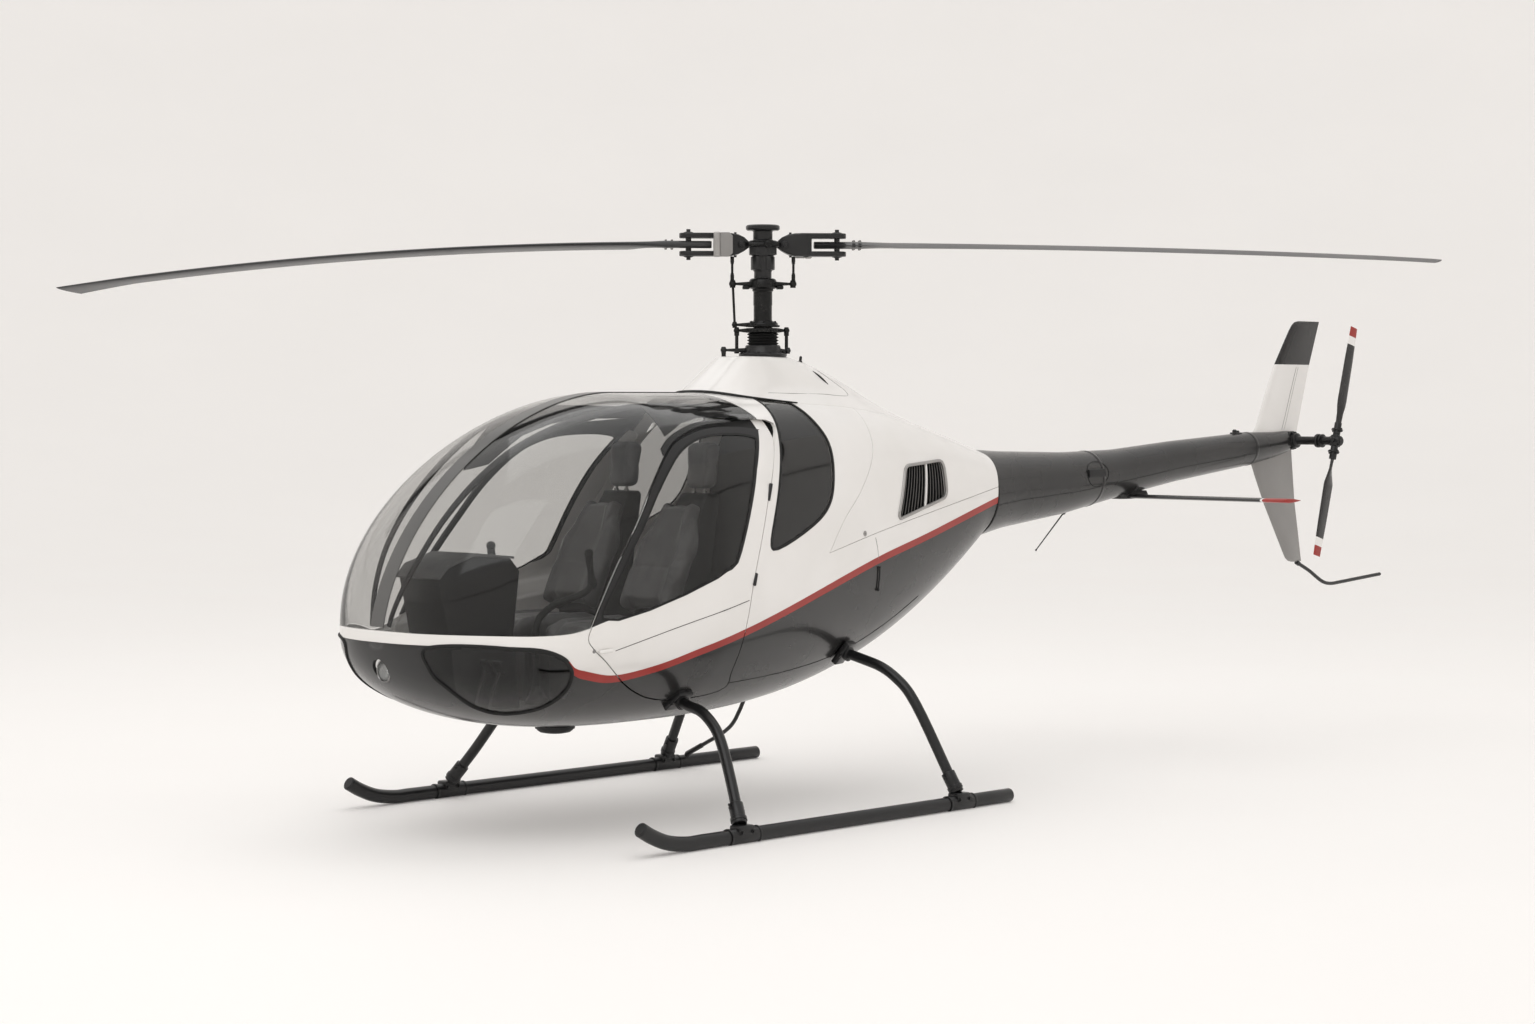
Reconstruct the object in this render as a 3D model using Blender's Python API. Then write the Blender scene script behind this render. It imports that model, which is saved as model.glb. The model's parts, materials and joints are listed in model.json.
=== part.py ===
"""Light two-seat helicopter parked on its skids: metres, +Z up, the nose towards -Y, port at +X.

Heights are from the ground. Lengths along Y are from the rotor mast's axis, and the root empty
then carries everything to the middle of the helicopter's own box.
"""

import math

import bmesh
import bpy
from mathutils import Matrix, Vector

# Places of the whole
MAST_Y = -1.4425
GAP = 0.0003
SEAM = GAP / 2
WALL = 0.016
DOOR_WALL = 0.018
DOOR_GAP = 0.0054
GLASS_OUT = 0.003
GLASS_IN = 0.009

# Hull form: half widths, heights and the powers of its curves
NOSE_Y = -2.36
NOSE_Z = 0.885
FULL_Y = -1.56
TAPER_Y = -0.93
HALF_WIDTH = 0.675
PLAN_POWER = 2.44
CROWN_Y = -1.06
CROWN_Z = 1.975
CROWN_POWER = 1.75
FALL_Y = 0.10
BELLY_Y = -0.98
BELLY_Z = 0.44
BELLY_POWER = 2.4
TAIL_Y = 1.52
TAIL_WIDTH = 0.222
TAIL_TOP = 1.675
TAIL_BOTTOM = 1.215
TAIL_MIDDLE = 1.46
UPPER_POWER = 2.75
LOWER_POWER = 2.0
RING_POINTS = 40
NOSE_STEPS = 13
TAIL_STEPS = 9

# Side outlines as (y, z)
BELT_TOP = ((-2.6, 0.950), (-2.18, 0.940), (-1.95, 0.932), (-1.80, 0.938), (-1.70, 0.958))
STRIPE_FRONT = (
    (-1.265, 0.750), (-1.52, 0.717), (-1.66, 0.737), (-1.77, 0.771), (-1.82, 0.824),
    (-1.90, 0.863), (-2.0, 0.884), (-2.6, 0.895),
)
STRIPE_REAR = (
    (-1.03, 0.808), (-0.64, 0.902), (0.30, 1.153), (0.80, 1.259), (1.27, 1.364), (1.60, 1.436),
)
COWL_SEAM = (
    (1.60, 1.50), (0.38, 1.306), (-0.10, 1.215), (0.03, 1.367), (0.195, 1.506),
    (0.34, 1.673), (0.37, 1.745), (0.42, 2.2),
)
HOOP_FRONT = ((-0.45, 2.2), (-0.45, 1.80))
DOOR_TOP = ((-0.75, 1.830), (-0.35, 1.830))
DOOR_REAR = (
    (-0.43, 1.720), (-0.52, 1.557), (-0.565, 1.475), (-0.667, 1.217), (-0.710, 1.086),
    (-0.737, 0.950), (-0.742, 0.820), (-0.730, 0.690), (-0.69, 0.612),
)
DOOR_FOOT = ((-1.0, 0.575), (-1.2, 0.600), (-1.33, 0.640), (-1.45, 0.695), (-1.52, 0.740))
DOOR_FRONT = (
    (-1.62, 0.810), (-1.69, 0.860), (-1.727, 0.905), (-1.70, 0.975), (-1.575, 1.190),
    (-1.404, 1.413), (-1.27, 1.586), (-1.11, 1.738), (-0.97, 1.795), (-0.86, 1.820),
)
LEAF_TOP = (
    (-1.11, 1.734), (-0.97, 1.787), (-0.84, 1.812), (-0.66, 1.820), (-0.54, 1.813),
    (-0.44, 1.794), (-0.415, 1.762),
)
DOOR_WINDOW = (
    (-1.650, 0.990), (-0.840, 1.192), (-0.80, 1.25), (-0.71, 1.438), (-0.62, 1.618),
    (-0.548, 1.735), (-0.535, 1.762), (-0.60, 1.780), (-0.75, 1.785), (-0.88, 1.776),
    (-0.97, 1.755), (-1.09, 1.700), (-1.245, 1.560), (-1.38, 1.392), (-1.55, 1.170),
)
REAR_WINDOW = (
    (-0.551, 1.253), (-0.177, 1.379), (-0.075, 1.461), (-0.025, 1.578), (-0.001, 1.735),
    (-0.039, 1.840), (-0.091, 1.926), (-0.115, 1.948), (-0.295, 1.948), (-0.301, 1.917),
    (-0.325, 1.842), (-0.376, 1.730), (-0.465, 1.537), (-0.566, 1.272),
)
CHIN_WINDOW = (
    (-2.317, 0.880), (-2.003, 0.872), (-1.90, 0.850), (-1.829, 0.815), (-1.775, 0.760),
    (-1.755, 0.680), (-1.789, 0.600), (-1.896, 0.571), (-2.058, 0.612), (-2.218, 0.707),
    (-2.29, 0.779),
)
LAMP_RADIUS = 0.052
LAMP_Z = 0.768
GRILLE = ((0.505, 1.350), (0.98, 1.450), (0.98, 1.637), (0.61, 1.614))
GRILLE_SLOTS = (0.10, 0.19, 0.28, 0.37, 0.46, 0.64, 0.73, 0.82, 0.91)
GRILLE_SLOT_HALF = 0.010
GRILLE_MARGIN = 0.12

# Windscreen strip and pylon fairing: the fairing's half outline at its foot and at its top
STRIP_HALF = 0.045
STRIP_PROUD = 0.006
STRIP_SIDE = ((-2.6, 0.96), (-1.0, 0.96), (-0.46, 1.80), (-0.46, 2.2), (-2.6, 2.2))
PYLON_SUNK = 0.05
PYLON = (
    # foot x, foot y, top x, top y
    (0.0, -0.46, 0.0, -0.24), (0.12, -0.45, 0.06, -0.24), (0.19, -0.38, 0.10, -0.21),
    (0.22, -0.25, 0.11, -0.15), (0.22, 0.10, 0.11, 0.02), (0.17, 0.45, 0.09, 0.075),
    (0.10, 0.75, 0.05, 0.095), (0.035, 1.00, 0.02, 0.10), (0.0, 1.03, 0.0, 0.10),
)

# Roof rails and the bow over the seats: places as (x, y), and how far under the outer skin
RAIL_RADIUS = 0.012
RAIL_INSET = 0.030
RAIL = (
    (0.12, -2.19), (0.16, -2.10), (0.19, -1.95), (0.22, -1.75), (0.27, -1.55),
    (0.30, -1.30), (0.315, -1.05), (0.32, -0.80), (0.32, -0.60), (0.32, -0.35),
)
BOW_RADIUS = 0.0112
BOW_INSET = 0.0275
BOW_Y = -0.40
BOW_XS = (-0.39, -0.32, -0.16, 0.0, 0.16, 0.32, 0.39)

# Cabin: blocks as two corners, side outlines as (y, z)
FLOOR = ((-0.7, -2.05, 0.535), (0.7, 0.1000, 0.560))
ON_FLOOR = FLOOR[1][2] + GAP
BULKHEAD = ((-0.7, 0.1003, 0.3), (0.7, 0.120, 2.2))
ENGINE = ((-0.25, 0.1203, 0.94), (0.25, 0.80, 1.38))
SEAT_X = 0.27
SEAT_BASE_X = 0.18
SEAT_BASE_HALF = 0.11
SEAT_BASE = ((-1.45, ON_FLOOR), (-0.80, 0.84))
CUSHION_HALF = 0.215
CUSHION = ((-1.52, 0.84 + GAP), (-0.96, 0.945))
SEAT_BACK_HALF = 0.20
SEAT_BACK = (
    (-1.075, 0.9453), (-0.9597, 0.9453), (-0.9597, 0.8403), (-0.80, 0.8403), (-0.635, 1.50),
    (-0.59, 1.56), (-0.57, 1.74), (-0.655, 1.76), (-0.735, 1.74), (-0.73, 1.60), (-0.79, 1.52),
    (-0.84, 1.45),
)
CONSOLE_HALF = 0.14
CONSOLE = (
    (-2.10, 1.20), (-1.93, 1.262), (-1.72, 1.235), (-1.66, 1.18), (-1.70, 0.90),
    (-1.66, ON_FLOOR), (-2.02, ON_FLOOR), (-2.06, 0.90),
)
LEVER_RADIUS = 0.013
LEVERS = {
    "port": ((0.02, -1.47, ON_FLOOR), (0.02, -1.47, 0.93), (0.02, -1.44, 0.985), (0.10, -1.25, 1.04),
             (0.10, -1.20, 1.10), (0.10, -1.22, 1.22)),
    "starboard": ((-0.05, -1.60, ON_FLOOR), (-0.05, -1.60, 0.80), (-0.20, -1.52, 0.98),
                  (-0.20, -1.53, 1.12), (-0.20, -1.55, 1.26)),
}

# Door hinges, as (y, z) on the door's rear edge
HINGE_HIGH = (-0.545, 1.515)
HINGE_LOW = (-0.694, 1.120)
HINGE_RADIUS = 0.009
HINGE_LENGTHS = (0.085, 0.060)

# Rotor: heights up the mast and sizes along the blade
BLADE_AZIMUTH = math.radians(49.0)
PYLON_TOP = 2.152
PLATE_TOP = 2.210
BELLOWS_TOP = 2.270
FIXED_RING_TOP = 2.292
MAST_FOOT = 2.240
TURNING_RING = 2.297
TURNING_RING_TOP = 2.320
SPIDER_FOOT = 2.481
SPIDER_TOP = 2.535
NECK_TOP = 2.573
COLLAR_TOP = 2.642
HUB_TOP = 2.722
STEM_TOP = 2.769
CAP_TOP = 2.795
MAST_RADIUS = 0.0465
BORE_RADIUS = 0.0515
PLATE_RADIUS = 0.118
BELLOWS_FOLD = 0.012
BELLOWS_OUTER = 0.078
BELLOWS_INNER = 0.067
RING_RADIUS = 0.085
RING_ARM_HALF = 0.008
TURNING_ARM = 0.135
FIXED_ARM = 0.125
ROD_RADIUS = 0.007
SPIDER_RADIUS = 0.103
SPIDER_ARM_HALF = 0.014
NECK_RADIUS = 0.036
COLLAR_RADIUS = 0.059
HUB_RADIUS = 0.050
STEM_RADIUS = 0.046
CAP_RADIUS = 0.083
CAP_EDGE = 0.005
HUB_HALF = 0.069
FORK_HEIGHTS = (2.643, 2.667, 2.730, 2.755)
FORK_END = 0.41
FORK_SLOT = 0.24
FORK_HALF = 0.045
WEIGHT = ((-0.100, 0.155, 2.662), (-0.040, 0.240, 2.752))
WEIGHT_CHAMFER = 0.018
LINK_REACH = 0.15
LINK_RADIUS = 0.008
LINK_FOOT = 0.016
ROTOR_RADIUS = 3.40
BLADE_CHORD = 0.17
BLADE_Z = 2.6985
BLADE_PITCH = math.radians(8.0)
BLADE_DROOPS = {"main_blade_a": 0.0075, "main_blade_b": 0.026}
TIP_RAKE = 0.09
PITCH_RUN = 0.25
BLADE = (
    # place, chord, thickness, leading edge
    (FORK_SLOT + GAP, 0.085, 0.036, 0.0425), (0.46, 0.085, 0.036, 0.0425),
    (0.62, BLADE_CHORD, 0.026, 0.0425), (1.2, BLADE_CHORD, 0.022, 0.0425),
    (1.9, BLADE_CHORD, 0.021, 0.0425), (2.6, BLADE_CHORD, 0.020, 0.0425),
    (3.05, BLADE_CHORD, 0.020, 0.0425), (ROTOR_RADIUS, BLADE_CHORD, 0.012, 0.0425),
)
DROOP_START = 0.46

# Tail: boom sections as (y, middle height, half height, half width)
BOOM = (
    (1.5203, 1.447, 0.236, 0.222), (1.75, 1.462, 0.207, 0.196), (2.30, 1.487, 0.169, 0.158),
    (2.75, 1.529, 0.136, 0.128), (3.30, 1.590, 0.1175, 0.108), (4.05, 1.655, 0.0975, 0.090),
)
BOOM_WALL = 0.014
GEARBOX = (
    (4.0503, 1.655, 0.0965, 0.090), (4.30, 1.676, 0.074, 0.070), (4.42, 1.692, 0.062, 0.060),
    (4.48, 1.700, 0.054, 0.052), (4.515, 1.700, 0.036, 0.036),
)
UPPER_FIN = (
    (4.085, 1.735), (4.554, 1.735), (4.686, 2.155), (4.789, 2.418), (4.514, 2.419), (4.319, 2.152),
)
LOWER_FIN = (
    (4.081, 1.575), (4.226, 1.322), (4.458, 0.978), (4.617, 0.965), (4.540, 1.350), (4.503, 1.668),
)
FIN_HALF = 0.016
TAILPLANE_Y = 2.90
TAILPLANE_Z = 1.402
TAILPLANE_CHORD = 0.16
TAILPLANE_SPAN = 1.12
GUARD = ((4.575, 0.9575), (4.70, 0.905), (4.85, 0.830), (4.93, 0.815), (5.21, 0.831), (5.478, 0.849))
GUARD_RADIUS = 0.011
TAIL_ROTOR_Y = 4.45
TAIL_ROTOR_Z = 1.70
TAIL_ROTOR_X = 0.350
TAIL_ROTOR_RADIUS = 0.70
TAIL_ROTOR_LEAN = math.radians(15.5)
STUB_RADIUS = 0.045
STUB_END = 0.070
TAIL_SHAFT = (
    # radius, x
    (0.0, STUB_END + GAP), (0.022, STUB_END + GAP), (0.022, 0.235), (0.040, 0.240),
    (0.040, 0.262), (0.026, 0.268), (0.026, 0.315), (0.036, 0.320), (0.036, 0.380),
    (0.020, 0.395), (0.0, 0.395),
)
TAIL_BAR = (0.018, 0.018, 0.10)
TAIL_BLADE = (
    # place, chord, thickness
    (TAIL_BAR[2] + GAP, 0.035, 0.018), (0.17, 0.045, 0.016), (0.26, 0.092, 0.014),
    (0.50, 0.086, 0.011), (TAIL_ROTOR_RADIUS, 0.070, 0.008),
)
WHIP = ((0.0, 2.346, 1.332), (0.0, 2.098, 1.126))
WHIP_RADIUS = 0.004
BEACON_Y = 3.938
BEACON_Z = 1.738
BEACON = ((0.0, 0.0), (0.034, 0.0), (0.034, 0.010), (0.028, 0.026), (0.014, 0.036), (0.0, 0.038))

# Landing gear
TUBE_RADIUS = 0.033
TRACK_HALF = 1.025
SADDLE_YS = (-1.15, 0.294)
SKID_NOSE = ((-1.754, 0.124), (-1.69, 0.088), (-1.60, 0.052), (-1.48, 0.033))
SKID_ENDS = {1: 0.66, -1: 0.97}
SADDLE_HALF = (0.040, 0.050)
SADDLE_FOOT = 0.008
SADDLE_TOP = 0.090
LEG_RADIUS = 0.025
COLLAR_HALF = 0.033
COLLAR_LENGTH = 0.085
LEGS = {
    "front": ((0.38, -0.99, 0.60), (0.52, -1.0, 0.555), (0.62, -1.01, 0.535), (0.71, -1.02, 0.48),
              (0.77, -1.035, 0.42), (0.90, -1.09, 0.235), (1.010, -1.15, 0.0903)),
    "rear": ((0.22, 0.19, 0.74), (0.46, 0.22, 0.685), (0.58, 0.235, 0.65), (0.66, 0.245, 0.605),
             (0.745, 0.255, 0.53), (1.012, 0.294, 0.0903)),
}
BRACE_RADIUS = 0.010
BRACE = (
    (-0.99, 0.42, 0.075), (-0.80, 0.40, 0.160), (-0.66, 0.38, 0.225), (-0.56, 0.36, 0.300),
    (-0.25, 0.30, 0.80),
)
BELLY_DOME_Y = -1.345
BELLY_DOME = (
    # radius, height
    (0.0, 0.415), (0.06, 0.415), (0.085, 0.430), (0.09, 0.445), (0.09, 0.47), (0.0, 0.47),
)


def clear_scene():
    """Take the scene's own objects away."""
    for item in list(bpy.data.objects):
        bpy.data.objects.remove(item, do_unlink=True)


def material(name, colour, roughness, metallic=0.0, alpha=1.0):
    """One Principled material."""
    made = bpy.data.materials.new(name)
    made.use_nodes = True
    shader = made.node_tree.nodes["Principled BSDF"]
    shader.inputs["Base Color"].default_value = (*colour, 1.0)
    shader.inputs["Roughness"].default_value = roughness
    shader.inputs["Metallic"].default_value = metallic
    shader.inputs["Alpha"].default_value = alpha
    return made


def rise(part, power):
    """Height of a rounded curve at a part of the way from its flat end to its tip."""
    part = min(max(part, 0.0), 1.0)
    return (1.0 - part**power) ** (1.0 / power)


def section(y, inset):
    """Half width, top, bottom and middle height of the hull at y, drawn in by inset."""
    nose = NOSE_Y + inset
    y = min(y, TAIL_Y)
    run = max(y - NOSE_Y, 0.0) / (TAIL_Y - NOSE_Y)
    middle = NOSE_Z + (TAIL_MIDDLE - NOSE_Z) * run**1.5
    if y < FULL_Y:
        width = (HALF_WIDTH - inset) * rise((FULL_Y - y) / (FULL_Y - nose), PLAN_POWER)
    else:
        taper = max((y - TAPER_Y) / (TAIL_Y - TAPER_Y), 0.0)
        width = HALF_WIDTH - inset - (HALF_WIDTH - TAIL_WIDTH) * taper**1.2
    if y < CROWN_Y:
        top = NOSE_Z + (CROWN_Z - inset - NOSE_Z) * rise((CROWN_Y - y) / (CROWN_Y - nose), CROWN_POWER)
    else:
        fall = max((y - FALL_Y) / (TAIL_Y - FALL_Y), 0.0)
        top = CROWN_Z - inset - (CROWN_Z - TAIL_TOP) * fall**1.5
    if y < BELLY_Y:
        bottom = NOSE_Z - (NOSE_Z - BELLY_Z - inset) * rise((BELLY_Y - y) / (BELLY_Y - nose), BELLY_POWER)
    else:
        bottom = BELLY_Z + inset + (TAIL_BOTTOM - BELLY_Z) * ((y - BELLY_Y) / (TAIL_Y - BELLY_Y)) ** 2.6
    middle = min(max(middle, bottom), top)
    return width, top, bottom, middle


def hull_x(y, z, inset=0.0):
    """Half width of the hull's surface at y and height z."""
    width, top, bottom, middle = section(y, inset)
    if z > middle:
        return width * rise((z - middle) / (top - middle), UPPER_POWER)
    return width * rise((middle - z) / (middle - bottom), LOWER_POWER)


def hull_z(x, y, inset=0.0):
    """Height of the hull's upper surface at x and y."""
    width, top, _, middle = section(y, inset)
    return middle + (top - middle) * rise(abs(x) / width, UPPER_POWER)


def hull_ring(y, inset, shrink):
    """Points round the hull at y, the facets drawn in by shrink."""
    width, top, bottom, middle = section(y, inset)
    width -= shrink
    top -= shrink
    bottom += shrink
    y += shrink * max((CROWN_Y - y) / (CROWN_Y - NOSE_Y - inset), 0.0)
    points = []
    for step in range(RING_POINTS):
        angle = 2.0 * math.pi * step / RING_POINTS
        power = UPPER_POWER if angle < math.pi else LOWER_POWER
        across = math.copysign(abs(math.cos(angle)) ** (2.0 / power), math.cos(angle))
        up = abs(math.sin(angle)) ** (2.0 / power)
        height = middle + (top - middle) * up if angle < math.pi else middle - (middle - bottom) * up
        points.append((width * across, y, height))
    return points


def loft(rings, start=None, end=None):
    """A closed skin over rings of equal length; start and end are pole points or flat caps."""
    form = bmesh.new()
    rows = [[form.verts.new(point) for point in ring] for ring in rings]
    count = len(rows[0])
    for low, high in zip(rows, rows[1:]):
        for i in range(count):
            j = (i + 1) % count
            if low[i].co.x + low[j].co.x > 0.0:
                form.faces.new((low[i], low[j], high[j]))
                form.faces.new((low[i], high[j], high[i]))
            else:
                form.faces.new((low[i], low[j], high[i]))
                form.faces.new((low[j], high[j], high[i]))
    for row, pole in ((rows[0], start), (rows[-1], end)):
        if pole is None:
            form.faces.new(row)
            continue
        tip = form.verts.new(pole)
        for i in range(count):
            form.faces.new((row[i], row[(i + 1) % count], tip))
    bmesh.ops.recalc_face_normals(form, faces=form.faces)
    return form


def carrier(name, place):
    """An empty on a joint's axis, which carries what the joint moves."""
    item = bpy.data.objects.new(name, None)
    bpy.context.scene.collection.objects.link(item)
    item.parent = bpy.data.objects["helicopter"]
    item.location = place
    return item


def add(name, form, finish, axle="helicopter"):
    """Make the named object from a bmesh and hang it on the root, or on its joint's empty."""
    mesh = bpy.data.meshes.new(name)
    form.to_mesh(mesh)
    form.free()
    mesh.materials.append(finish)
    mesh.shade_smooth()
    mesh.set_sharp_from_angle(angle=math.radians(35))
    item = bpy.data.objects.new(name, mesh)
    bpy.context.scene.collection.objects.link(item)
    item.parent = bpy.data.objects[axle]
    if axle != "helicopter":
        item.location = -item.parent.location
    return item


def cutter(name, form):
    """A guide that only cuts."""
    item = add(name, form, GUIDE)
    item.hide_render = True
    item.display_type = "WIRE"
    return item


def cut(item, tool, operation="DIFFERENCE"):
    """Add an exact Boolean to an object."""
    change = item.modifiers.new(tool.name, "BOOLEAN")
    change.object = tool
    change.operation = operation
    change.solver = "EXACT"


def hull_solid(name, inset, shrink=0.0):
    """The hull's whole form drawn in by inset, its tail end left long where it is a hollow.

    A shrink moves the same facets in by that much more, for what must lie against them.
    """
    nose = NOSE_Y + inset
    ys = []
    for step in range(1, NOSE_STEPS + 1):
        ys.append(nose + (CROWN_Y - nose) * (1.0 - math.cos(0.5 * math.pi * step / NOSE_STEPS)))
    for step in range(1, TAIL_STEPS + 1):
        ys.append(CROWN_Y + (TAIL_Y - CROWN_Y) * step / TAIL_STEPS)
    if inset > 0.0:
        ys.append(TAIL_Y + 0.05)
    rings = [hull_ring(y, inset, shrink) for y in ys]
    return cutter(name, loft(rings, start=(0.0, nose + shrink, NOSE_Z)))


def grown(points, distance):
    """A closed outline moved outwards by distance, or inwards if that is negative."""
    count = len(points)
    area = sum(points[i][0] * points[(i + 1) % count][1] - points[(i + 1) % count][0] * points[i][1]
               for i in range(count))
    turn = 1.0 if area > 0.0 else -1.0
    moved = []
    for i in range(count):
        here = Vector(points[i])
        before = (here - Vector(points[i - 1])).normalized()
        after = (Vector(points[(i + 1) % count]) - here).normalized()
        first = Vector((before.y, -before.x)) * turn
        second = Vector((after.y, -after.x)) * turn
        moved.append(here + (first + second) * (distance / (1.0 + first.dot(second))))
    return moved


def prism(points, low, high):
    """The side outline as a solid from x low to x high."""
    form = bmesh.new()
    face = form.faces.new([form.verts.new((low, point[0], point[1])) for point in points])
    drawn = bmesh.ops.extrude_face_region(form, geom=[face])
    moved = [part for part in drawn["geom"] if isinstance(part, bmesh.types.BMVert)]
    bmesh.ops.translate(form, verts=moved, vec=(high - low, 0.0, 0.0))
    bmesh.ops.recalc_face_normals(form, faces=form.faces)
    return form


def side_prism(points, side, near=0.12, far=1.0):
    """The side outline as a solid on one side only."""
    return prism(points, *sorted((side * near, side * far)))


def skin(name, form, finish, outer, inner, holes=(), axle="helicopter"):
    """What the outline's solid takes from the wall between two hull forms, less its holes."""
    item = add(name, form, finish, axle)
    cut(item, outer, "INTERSECT")
    cut(item, inner)
    for hole in holes:
        cut(item, hole)
    return item


def turned(profile, steps=24, axis="Z"):
    """A closed solid turned from (radius, height) pairs that start and end on the axis."""
    rings = []
    for radius, height in profile[1:-1]:
        ring = []
        for step in range(steps):
            angle = 2.0 * math.pi * step / steps
            ring.append((radius * math.cos(angle), radius * math.sin(angle), height))
        rings.append(ring)
    form = loft(rings, start=(0.0, 0.0, profile[0][1]), end=(0.0, 0.0, profile[-1][1]))
    if axis == "X":
        bmesh.ops.rotate(form, verts=form.verts, matrix=Matrix.Rotation(0.5 * math.pi, 3, "Y"))
    if axis == "Y":
        bmesh.ops.rotate(form, verts=form.verts, matrix=Matrix.Rotation(-0.5 * math.pi, 3, "X"))
    bmesh.ops.recalc_face_normals(form, faces=form.faces)
    return form


def tube(points, radius, sides=12):
    """A round bar along points."""
    path = [Vector(point) for point in points]
    rings = []
    across = None
    for i, here in enumerate(path):
        ahead = (path[min(i + 1, len(path) - 1)] - here).normalized()
        behind = (here - path[max(i - 1, 0)]).normalized()
        along = (ahead + behind).normalized()
        if across is None:
            guide = Vector((0.0, 1.0, 0.0)) if abs(along.z) > 0.9 else Vector((0.0, 0.0, 1.0))
            across = along.cross(guide).normalized()
        across = (across - along * across.dot(along)).normalized()
        up = across.cross(along)
        ring = []
        for step in range(sides):
            angle = 2.0 * math.pi * (step + 0.5) / sides
            ring.append(here + radius * (across * math.cos(angle) + up * math.sin(angle)))
        rings.append(ring)
    return loft(rings)


def block(low, high):
    """A box between two corners."""
    form = bmesh.new()
    bmesh.ops.create_cube(form, size=1.0)
    bmesh.ops.scale(form, verts=form.verts, vec=[b - a for a, b in zip(low, high)])
    bmesh.ops.translate(form, verts=form.verts, vec=[(a + b) / 2 for a, b in zip(low, high)])
    return form


def softened(form, radius, segments=2):
    """Round all of a form's edges."""
    bmesh.ops.bevel(form, geom=form.edges[:], offset=radius, segments=segments, profile=0.5,
                    affect="EDGES", clamp_overlap=True)
    return form


def spun(form, angle, about="Z", centre=(0.0, 0.0, 0.0)):
    """Turn a form about an axis through centre."""
    bmesh.ops.rotate(form, verts=form.verts, cent=centre, matrix=Matrix.Rotation(angle, 3, about))
    return form


def oval(y, middle, half_height, half_width, sides=20):
    """An elliptical ring across Y."""
    ring = []
    for step in range(sides):
        angle = 2.0 * math.pi * (step + 0.5) / sides
        ring.append((half_width * math.cos(angle), y, middle + half_height * math.sin(angle)))
    return ring


def hinge_line(side):
    """The two hinge centres of a door, on the hull's surface."""
    return [Vector((side * hull_x(y, z), y, z)) for y, z in (HINGE_HIGH, HINGE_LOW)]


def hinge_pins(name, side, radius):
    """Both knuckles of a door's hinges as one guide."""
    high, low = hinge_line(side)
    along = (high - low).normalized()
    form = bmesh.new()
    for centre, length in zip((high, low), HINGE_LENGTHS):
        turn = along.to_track_quat("Z", "Y").to_matrix().to_4x4()
        bmesh.ops.create_cone(form, cap_ends=True, segments=16, radius1=radius, radius2=radius,
                              depth=length + 2.0 * (radius - HINGE_RADIUS),
                              matrix=Matrix.Translation(centre) @ turn)
    return cutter(name, form)


def grille_slots(side, word):
    """The upright slots of one grille, each leaning as the grille's own ends do."""
    foot_front, foot_rear, head_rear, head_front = (Vector(point) for point in GRILLE)
    half = Vector((GRILLE_SLOT_HALF, 0.0))
    slots = []
    for number, part in enumerate(GRILLE_SLOTS):
        foot = foot_front.lerp(foot_rear, part)
        head = head_front.lerp(head_rear, part)
        low = foot.lerp(head, GRILLE_MARGIN)
        high = head.lerp(foot, GRILLE_MARGIN)
        form = side_prism((low - half, low + half, high + half, high - half), side)
        slots.append(cutter("grille_slot_%s_%d" % (word, number), form))
    return slots


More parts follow.
